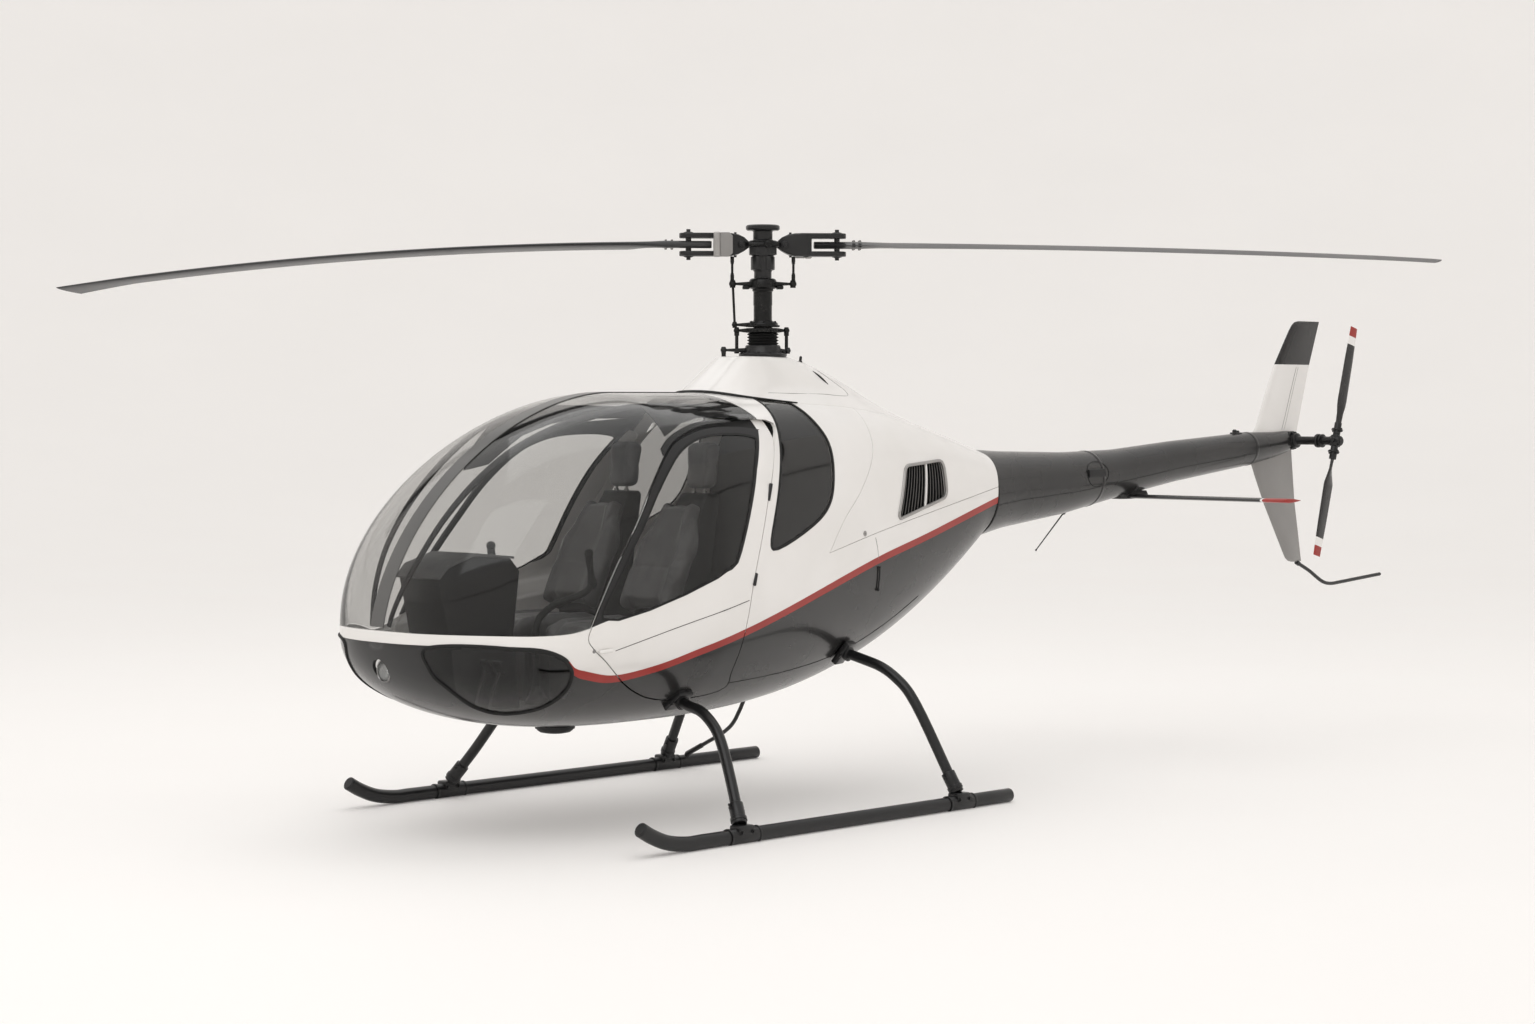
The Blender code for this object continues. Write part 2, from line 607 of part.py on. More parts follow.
def build_hull():
    """Walls, glass and doors of the cabin and the engine bay."""
    outer = hull_solid("form_outer", 0.0)
    inner = hull_solid("form_inner", WALL)
    glass_outer = hull_solid("form_glass_outer", GLASS_OUT)
    glass_inner = hull_solid("form_glass_inner", GLASS_IN)
    door_inner = hull_solid("form_door_inner", DOOR_WALL)
    door = DOOR_TOP + DOOR_REAR + DOOR_FOOT + DOOR_FRONT
    openings = []
    chins = []
    rears = []
    grilles = []
    hinges = []
    for side, word in ((1, "port"), (-1, "starboard")):
        openings.append(cutter("opening_" + word, side_prism(grown(door, DOOR_GAP / 2), side)))
        chins.append(cutter("chin_hole_" + word, side_prism(CHIN_WINDOW, side, 0.06)))
        rears.append(cutter("rear_hole_" + word, side_prism(REAR_WINDOW, side)))
        grilles.append(cutter("grille_hole_" + word, side_prism(GRILLE, side)))
        hinges.append(hinge_pins("hinge_hole_" + word, side, HINGE_RADIUS + GAP))
    lamp_hole = cutter("lamp_hole", lamp_form(LAMP_RADIUS))

    lower = STRIPE_FRONT[::-1] + STRIPE_REAR + ((1.60, 0.2), (-2.6, 0.2))
    skin("hull_lower", prism(grown(lower, -SEAM), -1.0, 1.0), DARK, outer, inner,
         openings + chins + [lamp_hole])
    belt = BELT_TOP + ((-1.3, 1.06),) + STRIPE_FRONT
    skin("nose_belt", prism(grown(belt, -SEAM), -1.0, 1.0), WHITE, outer, inner, openings)
    shell = HOOP_FRONT + ((-1.0, 1.70),) + STRIPE_REAR + COWL_SEAM
    skin("cabin_shell", prism(grown(shell, -SEAM), -1.0, 1.0), WHITE, outer, inner,
         openings + rears + hinges)
    cowl = COWL_SEAM + ((1.60, 2.2),)
    skin("engine_cowl", prism(grown(cowl, -SEAM), -1.0, 1.0), WHITE, outer, inner, grilles)
    screen = BELT_TOP + ((-1.0, 1.13), (-1.0, 1.70)) + HOOP_FRONT[::-1] + ((-2.6, 2.2),)
    skin("windscreen", prism(grown(screen, -SEAM), -1.0, 1.0), GLASS, outer, glass_inner, openings)
    skin("headlight", lamp_form(LAMP_RADIUS - GAP), LAMP, outer, inner)

    leaf_outline = grown(LEAF_TOP + DOOR_REAR + DOOR_FOOT + DOOR_FRONT[:-3], -DOOR_GAP / 2)
    for side, word in ((1, "port"), (-1, "starboard")):
        skin("chin_window_" + word, side_prism(grown(CHIN_WINDOW, -GAP), side, 0.06), GLASS,
             glass_outer, glass_inner)
        skin("rear_window_" + word, side_prism(grown(REAR_WINDOW, -GAP), side), TINT,
             glass_outer, glass_inner)
        skin("engine_grille_" + word, side_prism(grown(GRILLE, -GAP), side), BLACK_METAL,
             outer, inner, grille_slots(side, word))
        window = cutter("window_hole_" + word, side_prism(DOOR_WINDOW, side))
        axle = "door_hinge_" + word
        carrier(axle, hinge_line(side)[0])
        leaf = skin("door_" + word, side_prism(leaf_outline, side), WHITE, outer, door_inner,
                    [window], axle)
        cut(leaf, hinge_pins("hinge_" + word, side, HINGE_RADIUS), "UNION")
        skin("door_glass_" + word, side_prism(grown(DOOR_WINDOW, -GAP), side), GLASS,
             glass_outer, glass_inner, axle=axle)


def lamp_form(radius):
    """The headlamp's round opening, run along Y through the nose."""
    form = turned(((0.0, -2.5), (radius, -2.5), (radius, -2.2), (0.0, -2.2)), 18, "Y")
    bmesh.ops.translate(form, verts=form.verts, vec=(0.0, 0.0, LAMP_Z))
    return form


def build_trim():
    """The windscreen's centre strip and the pylon fairing."""
    proud = hull_solid("form_proud", -STRIP_PROUD)
    touching = hull_solid("form_touching", 0.0, -GAP)
    skin("windscreen_strip", prism(STRIP_SIDE, -STRIP_HALF, STRIP_HALF), BLACK_TRIM, proud, touching)
    full = list(PYLON) + [(-a, b, -c, d) for a, b, c, d in PYLON[-2:0:-1]]
    foot = [(x, y, hull_z(x, y) - PYLON_SUNK) for x, y, _, _ in full]
    head = [(x, y, PYLON_TOP) for _, _, x, y in full]
    cut(add("pylon_fairing", loft([foot, head]), WHITE), touching)


def rail_path(side):
    """Where a roof rail runs under the glass, as points with the hull's inside above them."""
    return [(side * x, y, hull_z(x, y, RAIL_INSET)) for x, y in RAIL]


def build_cabin():
    """Floor, bulkhead, rails, console, levers and engine."""
    liner = hull_solid("form_liner", WALL, GAP)
    for name, corners, finish in (("cabin_floor", FLOOR, DARK), ("rear_bulkhead", BULKHEAD, BLACK_TRIM)):
        cut(add(name, block(*corners), finish), liner, "INTERSECT")
    frame = add("roof_rails", tube(rail_path(1), RAIL_RADIUS, 8), BLACK_TRIM)
    cut(frame, cutter("rail_starboard", tube(rail_path(-1), RAIL_RADIUS, 8)), "UNION")
    bow = [(x, BOW_Y, hull_z(x, BOW_Y, BOW_INSET)) for x in BOW_XS]
    cut(frame, cutter("rail_bow", tube(bow, BOW_RADIUS, 8)), "UNION")
    console = add("instrument_console", prism(CONSOLE, -CONSOLE_HALF, CONSOLE_HALF), BLACK_TRIM)
    cut(console, liner, "INTERSECT")
    for word, path in LEVERS.items():
        add("control_lever_" + word, tube(path, LEVER_RADIUS, 8), BLACK_METAL)
    add("engine_block", softened(block(*ENGINE), 0.02, 1), CASTING)


def upright(corners, middle, half):
    """A block from two corners in (y, z), as wide as twice half."""
    low, high = corners
    return block((middle - half, *low), (middle + half, *high))


def build_seats():
    """A base, a cushion and a back for each of the two seats."""
    for side, word in ((1, "port"), (-1, "starboard")):
        base = upright(SEAT_BASE, side * SEAT_BASE_X, SEAT_BASE_HALF)
        add("seat_base_" + word, softened(base, 0.012, 1), BLACK_TRIM)
        cushion = upright(CUSHION, side * SEAT_X, CUSHION_HALF)
        add("seat_cushion_" + word, softened(cushion, 0.03, 2), LEATHER)
        back = prism(SEAT_BACK, side * SEAT_X - SEAT_BACK_HALF, side * SEAT_X + SEAT_BACK_HALF)
        add("seat_back_" + word, back, LEATHER)


def arm_and_rod(name, end, middle, foot, head):
    """A guide for a ring's arm out to end, and one for the upright rod there from foot to head."""
    low, high = sorted((0.0, end + math.copysign(ROD_RADIUS, end)))
    half = RING_ARM_HALF
    arm = block((low, -half, middle - half), (high, half, middle + half))
    rod = turned(((0.0, foot), (ROD_RADIUS, foot), (ROD_RADIUS, head), (0.0, head)), 12)
    bmesh.ops.translate(rod, verts=rod.verts, vec=(end, 0.0, 0.0))
    return [cutter(name + word, spun(form, BLADE_AZIMUTH)) for word, form in (("_arm", arm), ("_rod", rod))]


def build_mast():
    """The fixed mast housing and the turning mast with its ring and spider."""
    plate = [(0.0, PYLON_TOP + GAP), (PLATE_RADIUS, PYLON_TOP + GAP),
             (PLATE_RADIUS, PLATE_TOP - BELLOWS_FOLD), (PLATE_RADIUS - BELLOWS_FOLD, PLATE_TOP)]
    folds = [(BELLOWS_INNER if fold % 2 == 0 else BELLOWS_OUTER, PLATE_TOP + BELLOWS_FOLD * fold)
             for fold in range(5)]
    ring = [(BELLOWS_INNER, BELLOWS_TOP), (RING_RADIUS, BELLOWS_TOP), (RING_RADIUS, FIXED_RING_TOP),
            (BORE_RADIUS, FIXED_RING_TOP), (BORE_RADIUS, MAST_FOOT), (0.0, MAST_FOOT)]
    housing = add("mast_housing", turned(plate + folds + ring), BLACK_METAL)
    middle = (BELLOWS_TOP + FIXED_RING_TOP) / 2
    for word, end in (("left", -FIXED_ARM), ("right", FIXED_ARM)):
        for guide in arm_and_rod("fixed_ring_" + word, end, middle, PYLON_TOP + GAP, middle):
            cut(housing, guide, "UNION")
    bore = turned(((0.0, MAST_FOOT), (BORE_RADIUS, MAST_FOOT), (BORE_RADIUS, CAP_TOP), (0.0, CAP_TOP)))
    cut(housing, cutter("housing_bore", bore))
    mast = ((0.0, MAST_FOOT + GAP), (MAST_RADIUS, MAST_FOOT + GAP), (MAST_RADIUS, TURNING_RING),
            (RING_RADIUS, TURNING_RING), (RING_RADIUS, TURNING_RING_TOP),
            (MAST_RADIUS, TURNING_RING_TOP + 0.006), (MAST_RADIUS, SPIDER_FOOT),
            (SPIDER_RADIUS - 0.007, SPIDER_FOOT), (SPIDER_RADIUS, SPIDER_FOOT + 0.012),
            (SPIDER_RADIUS, SPIDER_TOP - 0.012), (SPIDER_RADIUS - 0.007, SPIDER_TOP),
            (NECK_RADIUS, SPIDER_TOP), (NECK_RADIUS, NECK_TOP), (COLLAR_RADIUS, NECK_TOP),
            (COLLAR_RADIUS, COLLAR_TOP), (0.0, COLLAR_TOP))
    carrier("rotor_axis", (0.0, 0.0, 0.0))
    item = add("rotor_mast", turned(mast), BLACK_METAL, "rotor_axis")
    reach = LINK_REACH + 0.02
    arms = block((-reach, -SPIDER_ARM_HALF, SPIDER_FOOT + 0.018),
                 (reach, SPIDER_ARM_HALF, SPIDER_TOP - 0.012))
    cut(item, cutter("spider_arms", spun(arms, BLADE_AZIMUTH)), "UNION")
    middle = (TURNING_RING + TURNING_RING_TOP) / 2
    for guide in arm_and_rod("turning_ring", -TURNING_ARM, middle, middle, SPIDER_TOP - 0.020):
        cut(item, guide, "UNION")


def build_head():
    """Hub, grips, pitch links and main blades."""
    hub = ((0.0, COLLAR_TOP + GAP), (HUB_RADIUS, COLLAR_TOP + GAP), (STEM_RADIUS, HUB_TOP + 0.01),
           (STEM_RADIUS, STEM_TOP), (CAP_RADIUS - CAP_EDGE, STEM_TOP),
           (CAP_RADIUS, STEM_TOP + CAP_EDGE), (CAP_RADIUS, CAP_TOP - CAP_EDGE),
           (CAP_RADIUS - CAP_EDGE, CAP_TOP), (0.0, CAP_TOP))
    item = add("rotor_hub", turned(hub), BLACK_METAL, "rotor_axis")
    yoke = block((-HUB_HALF, -HUB_HALF, COLLAR_TOP + GAP), (HUB_HALF, HUB_HALF, HUB_TOP))
    cut(item, cutter("hub_yoke", spun(yoke, BLADE_AZIMUTH)), "UNION")
    low, slot_low, slot_high, high = FORK_HEIGHTS
    fork = ((HUB_HALF + GAP, low), (FORK_END, low), (FORK_END, slot_low), (FORK_SLOT, slot_low),
            (FORK_SLOT, slot_high), (FORK_END, slot_high), (FORK_END, high), (HUB_HALF + 0.03, high),
            (HUB_HALF + GAP, slot_high))
    for name, turn, blade in (("a", 0.0, "main_blade_a"), ("b", math.pi, "main_blade_b")):
        azimuth = BLADE_AZIMUTH + turn
        about = azimuth - 0.5 * math.pi
        grip = add("blade_grip_" + name, spun(prism(fork, -FORK_HALF, FORK_HALF), about), BLACK_METAL,
                   "rotor_axis")
        weight = softened(block(*WEIGHT), WEIGHT_CHAMFER, 1)
        cut(grip, cutter("grip_weight_" + name, spun(weight, about)), "UNION")
        foot = SPIDER_TOP - 0.012 + GAP
        link = ((0.0, foot), (LINK_FOOT, foot), (LINK_FOOT, SPIDER_TOP + 0.006),
                (LINK_RADIUS, SPIDER_TOP + 0.012), (LINK_RADIUS, low - 0.022),
                (LINK_FOOT, low - 0.016), (LINK_FOOT, low - GAP), (0.0, low - GAP))
        rod = turned(link, 12)
        bmesh.ops.translate(rod, verts=rod.verts, vec=(LINK_REACH, 0.0, 0.0))
        add("pitch_link_" + name, spun(rod, azimuth), BLACK_METAL, "rotor_axis")
        add(blade, spun(blade_form(BLADE_DROOPS[blade]), azimuth), BLADE_GREY, "rotor_axis")


def aerofoil(chord, thick, lead):
    """Points round a blade section as (forward, up), the leading edge at lead."""
    half = ((0.0, 0.0), (0.03, 0.55), (0.12, 0.92), (0.30, 1.0), (0.60, 0.70), (0.97, 0.10))
    upper = [(lead - chord * part, thick / 2 * high) for part, high in half]
    lower = [(forward, -up) for forward, up in upper[:0:-1]]
    return upper + lower


def blade_form(droop):
    """A main blade along +X, its leading edge towards +Y, bending down by droop per metre."""
    rings = []
    for place, chord, thick, lead in BLADE:
        bend = droop * max(place - DROOP_START, 0.0) ** 2
        turn = BLADE_PITCH * min(max((place - FORK_END) / PITCH_RUN, 0.0), 1.0)
        ring = []
        for forward, up in aerofoil(chord, thick, lead):
            rake = 0.0
            if place == ROTOR_RADIUS:
                rake = TIP_RAKE * (lead - forward) / chord
            height = BLADE_Z - bend + forward * math.sin(turn) + up * math.cos(turn)
            ring.append((place - rake, forward * math.cos(turn) - up * math.sin(turn), height))
        rings.append(ring)
    return loft(rings)


def build_tail():
    """Boom, gearbox, fins, tailplane, guard and the small fittings."""
    boom = add("tail_boom", loft([oval(*row) for row in BOOM]), DARK)
    bore = [oval(y, z, h - BOOM_WALL, w - BOOM_WALL) for y, z, h, w in BOOM]
    bore[0] = [(x, y - BOOM_WALL, z) for x, y, z in bore[0]]
    bore[-1] = [(x, y - BOOM_WALL, z) for x, y, z in bore[-1]]
    cut(boom, cutter("boom_bore", loft(bore)))
    gearbox = add("tail_gearbox", loft([oval(*row) for row in GEARBOX]), BLACK_METAL)
    stub = turned(((0.0, 0.0), (STUB_RADIUS, 0.0), (STUB_RADIUS, STUB_END), (0.0, STUB_END)), 20, "X")
    bmesh.ops.translate(stub, verts=stub.verts, vec=(0.0, TAIL_ROTOR_Y, TAIL_ROTOR_Z))
    cut(gearbox, cutter("gearbox_stub", stub), "UNION")
    seat = cutter("fin_seat", loft([oval(y, z, h + GAP, w + GAP) for y, z, h, w in BOOM[-2:] + GEARBOX]))
    cut(add("upper_fin", prism(UPPER_FIN, -FIN_HALF, FIN_HALF), WHITE), seat)
    cut(add("lower_fin", prism(LOWER_FIN, -FIN_HALF, FIN_HALF), BLADE_GREY), seat)
    ring = [(forward, TAILPLANE_Z + up) for forward, up in aerofoil(TAILPLANE_CHORD, 0.024, 0.08)]
    spans = (-TAILPLANE_SPAN, TAILPLANE_SPAN)
    boom_seat = cutter("boom_seat", loft([oval(y, z, h + GAP, w + GAP) for y, z, h, w in BOOM]))
    plane = loft([[(x, TAILPLANE_Y - forward, z) for forward, z in ring] for x in spans])
    cut(add("tailplane", plane, BLACK_METAL), boom_seat)
    add("tail_guard", tube([(0.0, y, z) for y, z in GUARD], GUARD_RADIUS, 10), BLACK_METAL)
    cut(add("whip_antenna", tube(WHIP, WHIP_RADIUS, 8), BLACK_METAL), boom_seat)
    dome = turned(BEACON, 16)
    bmesh.ops.translate(dome, verts=dome.verts, vec=(0.0, BEACON_Y, BEACON_Z))
    cut(add("tail_beacon", dome, BLACK_METAL), boom_seat)


def build_tail_rotor():
    """The tail rotor's shaft and hub, and its two blades."""
    centre = (0.0, TAIL_ROTOR_Y, TAIL_ROTOR_Z)
    carrier("tail_rotor_axis", centre)
    form = turned(TAIL_SHAFT, 20, "X")
    bmesh.ops.translate(form, verts=form.verts, vec=centre)
    hub = add("tail_rotor_hub", form, BLACK_METAL, "tail_rotor_axis")
    bar = block([-half for half in TAIL_BAR], TAIL_BAR)
    bmesh.ops.translate(bar, verts=bar.verts, vec=(TAIL_ROTOR_X, 0.0, 0.0))
    bmesh.ops.translate(bar, verts=bar.verts, vec=centre)
    cut(hub, cutter("tail_hub_bar", spun(bar, -TAIL_ROTOR_LEAN, "X", centre)), "UNION")
    for name, turn in (("a", 0.0), ("b", math.pi)):
        rings = []
        for place, chord, thick in TAIL_BLADE:
            rings.append([(TAIL_ROTOR_X + up, forward, place)
                          for forward, up in aerofoil(chord, thick, chord / 2)])
        blade = loft(rings)
        bmesh.ops.translate(blade, verts=blade.verts, vec=centre)
        add("tail_blade_" + name, spun(blade, turn - TAIL_ROTOR_LEAN, "X", centre), DARK,
            "tail_rotor_axis")


def build_gear(touching):
    """Skids, legs, the brace and the small fittings under the belly."""
    flat = TUBE_RADIUS / math.cos(math.pi / 12)
    for side, word in ((1, "port"), (-1, "starboard")):
        path = [(side * TRACK_HALF, y, z) for y, z in SKID_NOSE]
        path.append((side * TRACK_HALF, SKID_ENDS[side], TUBE_RADIUS))
        skid = add("skid_" + word, tube(path, flat, 12), BLACK_METAL)
        for place, y in zip(("front", "rear"), SADDLE_YS):
            across, along = SADDLE_HALF
            saddle = block((side * TRACK_HALF - across, y - along, SADDLE_FOOT),
                           (side * TRACK_HALF + across, y + along, SADDLE_TOP))
            cut(skid, cutter("saddle_%s_%s" % (place, word), softened(saddle, 0.008, 1)), "UNION")
            leg_path = [(side * leg_x, leg_y, z) for leg_x, leg_y, z in LEGS[place]]
            leg = add("leg_%s_%s" % (place, word), tube(leg_path, LEG_RADIUS, 12), BLACK_METAL)
            foot = Vector(leg_path[-1])
            upwards = (Vector(leg_path[-2]) - foot).normalized()
            collar = tube((foot + upwards * COLLAR_LENGTH, foot - upwards * LEG_RADIUS), COLLAR_HALF, 16)
            cut(leg, cutter("leg_collar_%s_%s" % (place, word), collar), "UNION")
            cut(leg, touching)
            room = LEG_RADIUS * 6.0
            floor = block((side * TRACK_HALF - room, y - room, 0.0),
                          (side * TRACK_HALF + room, y + room, SADDLE_TOP + GAP))
            cut(leg, cutter("leg_floor_%s_%s" % (place, word), floor))
    brace = add("gear_brace", tube(BRACE, BRACE_RADIUS, 10), BLACK_METAL)
    cut(brace, touching)
    under = [(-TRACK_HALF, -0.5, TUBE_RADIUS), (-TRACK_HALF, SKID_ENDS[-1], TUBE_RADIUS)]
    cut(brace, cutter("brace_seat", tube(under, flat + GAP, 12)))
    dome = turned(BELLY_DOME, 20)
    bmesh.ops.translate(dome, verts=dome.verts, vec=(0.0, BELLY_DOME_Y, 0.0))
    cut(add("belly_dome", dome, BLACK_TRIM), touching)


clear_scene()
root = bpy.data.objects.new("helicopter", None)
bpy.context.scene.collection.objects.link(root)
root.location = (0.0, MAST_Y, 0.0)
GUIDE = material("guide", (0.5, 0.5, 0.5), 0.5)
WHITE = material("white_gelcoat", (0.86, 0.85, 0.84), 0.25)
DARK = material("graphite_gelcoat", (0.055, 0.055, 0.055), 0.30)
GLASS = material("clear_acrylic", (0.75, 0.76, 0.76), 0.05, 0.0, 0.35)
TINT = material("smoked_acrylic", (0.03, 0.03, 0.03), 0.08, 0.0, 0.85)
LAMP = material("lamp_glass", (0.8, 0.8, 0.8), 0.05, 0.0, 0.5)
LEATHER = material("black_leather", (0.022, 0.022, 0.023), 0.55)
BLACK_TRIM = material("black_trim", (0.012, 0.012, 0.013), 0.45)
BLACK_METAL = material("black_enamel", (0.020, 0.020, 0.021), 0.38, 0.2)
BLADE_GREY = material("blade_grey", (0.045, 0.045, 0.047), 0.35)
CASTING = material("cast_engine", (0.12, 0.12, 0.12), 0.55, 0.8)
build_hull()
build_trim()
build_cabin()
build_seats()
build_mast()
build_head()
build_tail()
build_tail_rotor()
build_gear(bpy.data.objects["form_touching"])
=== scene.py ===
"""How the light two-seat helicopter looks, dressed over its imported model.

Lengths are metres with +Z up, the nose towards -Y and port at +X. Heights are from the ground.
Lengths along Y are from the rotor mast's axis, and a finished piece is then moved onto the frame
by the place of the main rotor's joint.
"""

import json
import logging
import math
from dataclasses import dataclass
from enum import Enum
from functools import cached_property
from typing import Callable, Iterable, Sequence

import bmesh
import bpy
from bmesh.types import BMesh
from mathutils import Matrix, Vector

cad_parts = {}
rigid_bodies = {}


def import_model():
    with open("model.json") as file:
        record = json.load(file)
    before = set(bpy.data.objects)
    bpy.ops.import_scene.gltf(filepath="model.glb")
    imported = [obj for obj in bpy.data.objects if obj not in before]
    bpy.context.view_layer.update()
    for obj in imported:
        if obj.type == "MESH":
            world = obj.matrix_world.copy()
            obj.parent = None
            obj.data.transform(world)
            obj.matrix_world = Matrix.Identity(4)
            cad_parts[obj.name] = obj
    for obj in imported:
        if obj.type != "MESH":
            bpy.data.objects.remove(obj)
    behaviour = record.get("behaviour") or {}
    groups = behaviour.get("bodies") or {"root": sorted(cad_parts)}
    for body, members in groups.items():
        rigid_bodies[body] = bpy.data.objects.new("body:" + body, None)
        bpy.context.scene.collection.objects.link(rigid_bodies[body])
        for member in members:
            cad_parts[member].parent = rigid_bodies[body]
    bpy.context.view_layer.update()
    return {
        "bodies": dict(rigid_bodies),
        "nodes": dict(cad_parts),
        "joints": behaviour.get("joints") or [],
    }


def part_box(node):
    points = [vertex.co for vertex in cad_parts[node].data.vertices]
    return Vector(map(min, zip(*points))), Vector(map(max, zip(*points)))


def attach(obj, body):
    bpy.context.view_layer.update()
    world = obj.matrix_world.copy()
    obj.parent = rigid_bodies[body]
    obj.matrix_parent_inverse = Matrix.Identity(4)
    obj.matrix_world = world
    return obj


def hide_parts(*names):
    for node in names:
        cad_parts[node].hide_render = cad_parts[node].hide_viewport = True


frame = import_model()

LOG = logging.getLogger("helicopter")
JOINTS = {joint["name"]: joint for joint in frame["joints"]}
MAST_Y = JOINTS["main_rotor_spin"]["pos_m"][1]
SEAM = 0.0012
Outline = Sequence[tuple[float, float]]


class Body(Enum):
    """The moving bodies of the frame."""

    FUSELAGE = "fuselage"
    ROTOR = "rotor"
    TAIL_ROTOR = "tail_rotor"
    DOOR_PORT = "door_port"
    DOOR_STARBOARD = "door_starboard"


class Side(Enum):
    """The two sides of the helicopter, as the sign of X."""

    PORT = 1
    STARBOARD = -1

    @property
    def word(self) -> str:
        """The side's name as the nodes spell it."""
        return self.name.lower()

    @property
    def door(self) -> Body:
        """The door's body on this side."""
        return Body["DOOR_" + self.name]


class Grain(Enum):
    """What the fine relief of a finish is made of."""

    NONE = "none"
    MOULDED = "moulded"
    PEBBLE = "pebble"
    WEAVE = "weave"
    BRUSHED = "brushed"


def linear(code: str) -> tuple[float, float, float, float]:
    """Turn an sRGB hex colour into linear values.

    Args:
        code: The colour, such as "#A0B1C2".

    Returns:
        Linear red, green, blue and an alpha of one.
    """
    parts = [int(code[i:i + 2], 16) / 255.0 for i in (1, 3, 5)]
    return (*[p / 12.92 if p <= 0.04045 else ((p + 0.055) / 1.055) ** 2.4 for p in parts], 1.0)


def node(tree: bpy.types.NodeTree, kind: str, inputs: dict | None = None, **settings) -> bpy.types.Node:
    """Add a node with its settings, values and links.

    Args:
        tree: The node tree to add to.
        kind: The node's type.
        inputs: Values or other nodes' output sockets, by the input's name or number.
        settings: The node's own properties.

    Returns:
        The new node.
    """
    made = tree.nodes.new(kind)
    for name, value in settings.items():
        setattr(made, name, value)
    for name, value in (inputs or {}).items():
        if isinstance(value, bpy.types.NodeSocket):
            tree.links.new(value, made.inputs[name])
        else:
            made.inputs[name].default_value = value
    return made


@dataclass(frozen=True)
class Finish:
    """One finish: a base, how its colour and gloss drift, and its fine relief."""

    name: str
    slot: str
    colour: str
    shade: str
    roughness: float
    metallic: float = 0.0
    ior: float = 1.5
    coat: float = 0.0
    sheen: float = 0.0
    transmission: float = 0.0
    drift_mm: float = 400.0
    gloss_drift: float = 0.03
    grain: Grain = Grain.NONE
    grain_mm: float = 2.0
    depth_mm: float = 0.02
    glow: float = 0.0

    def relief(self, tree: bpy.types.NodeTree, place: bpy.types.NodeSocket) -> bpy.types.NodeSocket:
        """Make the height pattern of the grain.

        Args:
            tree: The material's node tree.
            place: Object coordinates.

        Returns:
            The socket that carries the height.
        """
        scale = 1000.0 / self.grain_mm
        if self.grain is Grain.PEBBLE:
            return node(tree, "ShaderNodeTexVoronoi", {"Vector": place, "Scale": scale},
                        feature="SMOOTH_F1").outputs["Distance"]
        if self.grain is Grain.WEAVE:
            bands = [node(tree, "ShaderNodeTexWave", {"Vector": place, "Scale": 0.314 * scale},
                          bands_direction=way).outputs["Fac"] for way in ("DIAGONAL", "Z")]
            return node(tree, "ShaderNodeMath", {0: bands[0], 1: bands[1]},
                        operation="MULTIPLY").outputs[0]
        if self.grain is Grain.BRUSHED:
            place = node(tree, "ShaderNodeMapping", {"Vector": place, "Scale": (1.0, 1.0, 0.04)}).outputs[0]
        return node(tree, "ShaderNodeTexNoise", {"Vector": place, "Scale": scale, "Detail": 3.0}).outputs[0]

    def material(self) -> bpy.types.Material:
        """The finish as a material, made the first time it is asked for."""
        found = bpy.data.materials.get(self.name)
        if found:
            return found
        made = bpy.data.materials.new(self.name)
        made.use_nodes = True
        tree = made.node_tree
        shader = tree.nodes["Principled BSDF"]
        shader.inputs["Metallic"].default_value = self.metallic
        shader.inputs["IOR"].default_value = self.ior
        shader.inputs["Coat Weight"].default_value = self.coat
        shader.inputs["Coat Roughness"].default_value = 0.04
        shader.inputs["Sheen Weight"].default_value = self.sheen
        shader.inputs["Sheen Roughness"].default_value = 0.4
        shader.inputs["Transmission Weight"].default_value = self.transmission
        shader.inputs["Emission Color"].default_value = linear(self.colour)
        shader.inputs["Emission Strength"].default_value = self.glow
        place = node(tree, "ShaderNodeTexCoord").outputs["Object"]
        drift = node(tree, "ShaderNodeTexNoise",
                     {"Vector": place, "Scale": 1000.0 / self.drift_mm, "Detail": 5.0}).outputs[0]
        part = node(tree, "ShaderNodeMapRange", {0: drift, 1: 0.3, 2: 0.7}).outputs[0]
        colour = node(tree, "ShaderNodeMix", {0: part, 6: linear(self.colour), 7: linear(self.shade)},
                      data_type="RGBA").outputs[2]
        tree.links.new(colour, shader.inputs["Base Color"])
        low = max(self.roughness - self.gloss_drift, 0.0)
        gloss = node(tree, "ShaderNodeMapRange",
                     {0: drift, 1: 0.3, 2: 0.7, 3: low, 4: self.roughness + self.gloss_drift}).outputs[0]
        tree.links.new(gloss, shader.inputs["Roughness"])
        if self.grain is not Grain.NONE:
            bump = node(tree, "ShaderNodeBump", {"Height": self.relief(tree, place),
                                                 "Distance": self.depth_mm / 1000.0, "Strength": 1.0})
            tree.links.new(bump.outputs[0], shader.inputs["Normal"])
        return made


# Sprayed gelcoat on a laid-up hull: bright and glossy, with the faint waviness of hand polishing
WHITE_GELCOAT = Finish("white_gelcoat_hull", "white_gelcoat", "#EFEDEB", "#E9E7E4", 0.24, coat=0.6,
                       grain=Grain.MOULDED, grain_mm=14.0, depth_mm=0.010)
GRAPHITE_GELCOAT = Finish("graphite_gelcoat_hull", "graphite_gelcoat", "#2A2929", "#252525", 0.27, ior=1.38,
                          coat=0.25, grain=Grain.MOULDED, grain_mm=14.0, depth_mm=0.010)
# Cut vinyl laid on the gelcoat: a flat strong red with a soft sheen
RED_FILM = Finish("red_vinyl_film", "white_gelcoat", "#A02A22", "#96261F", 0.38, drift_mm=150.0,
                  grain=Grain.MOULDED, grain_mm=5.0, depth_mm=0.01)
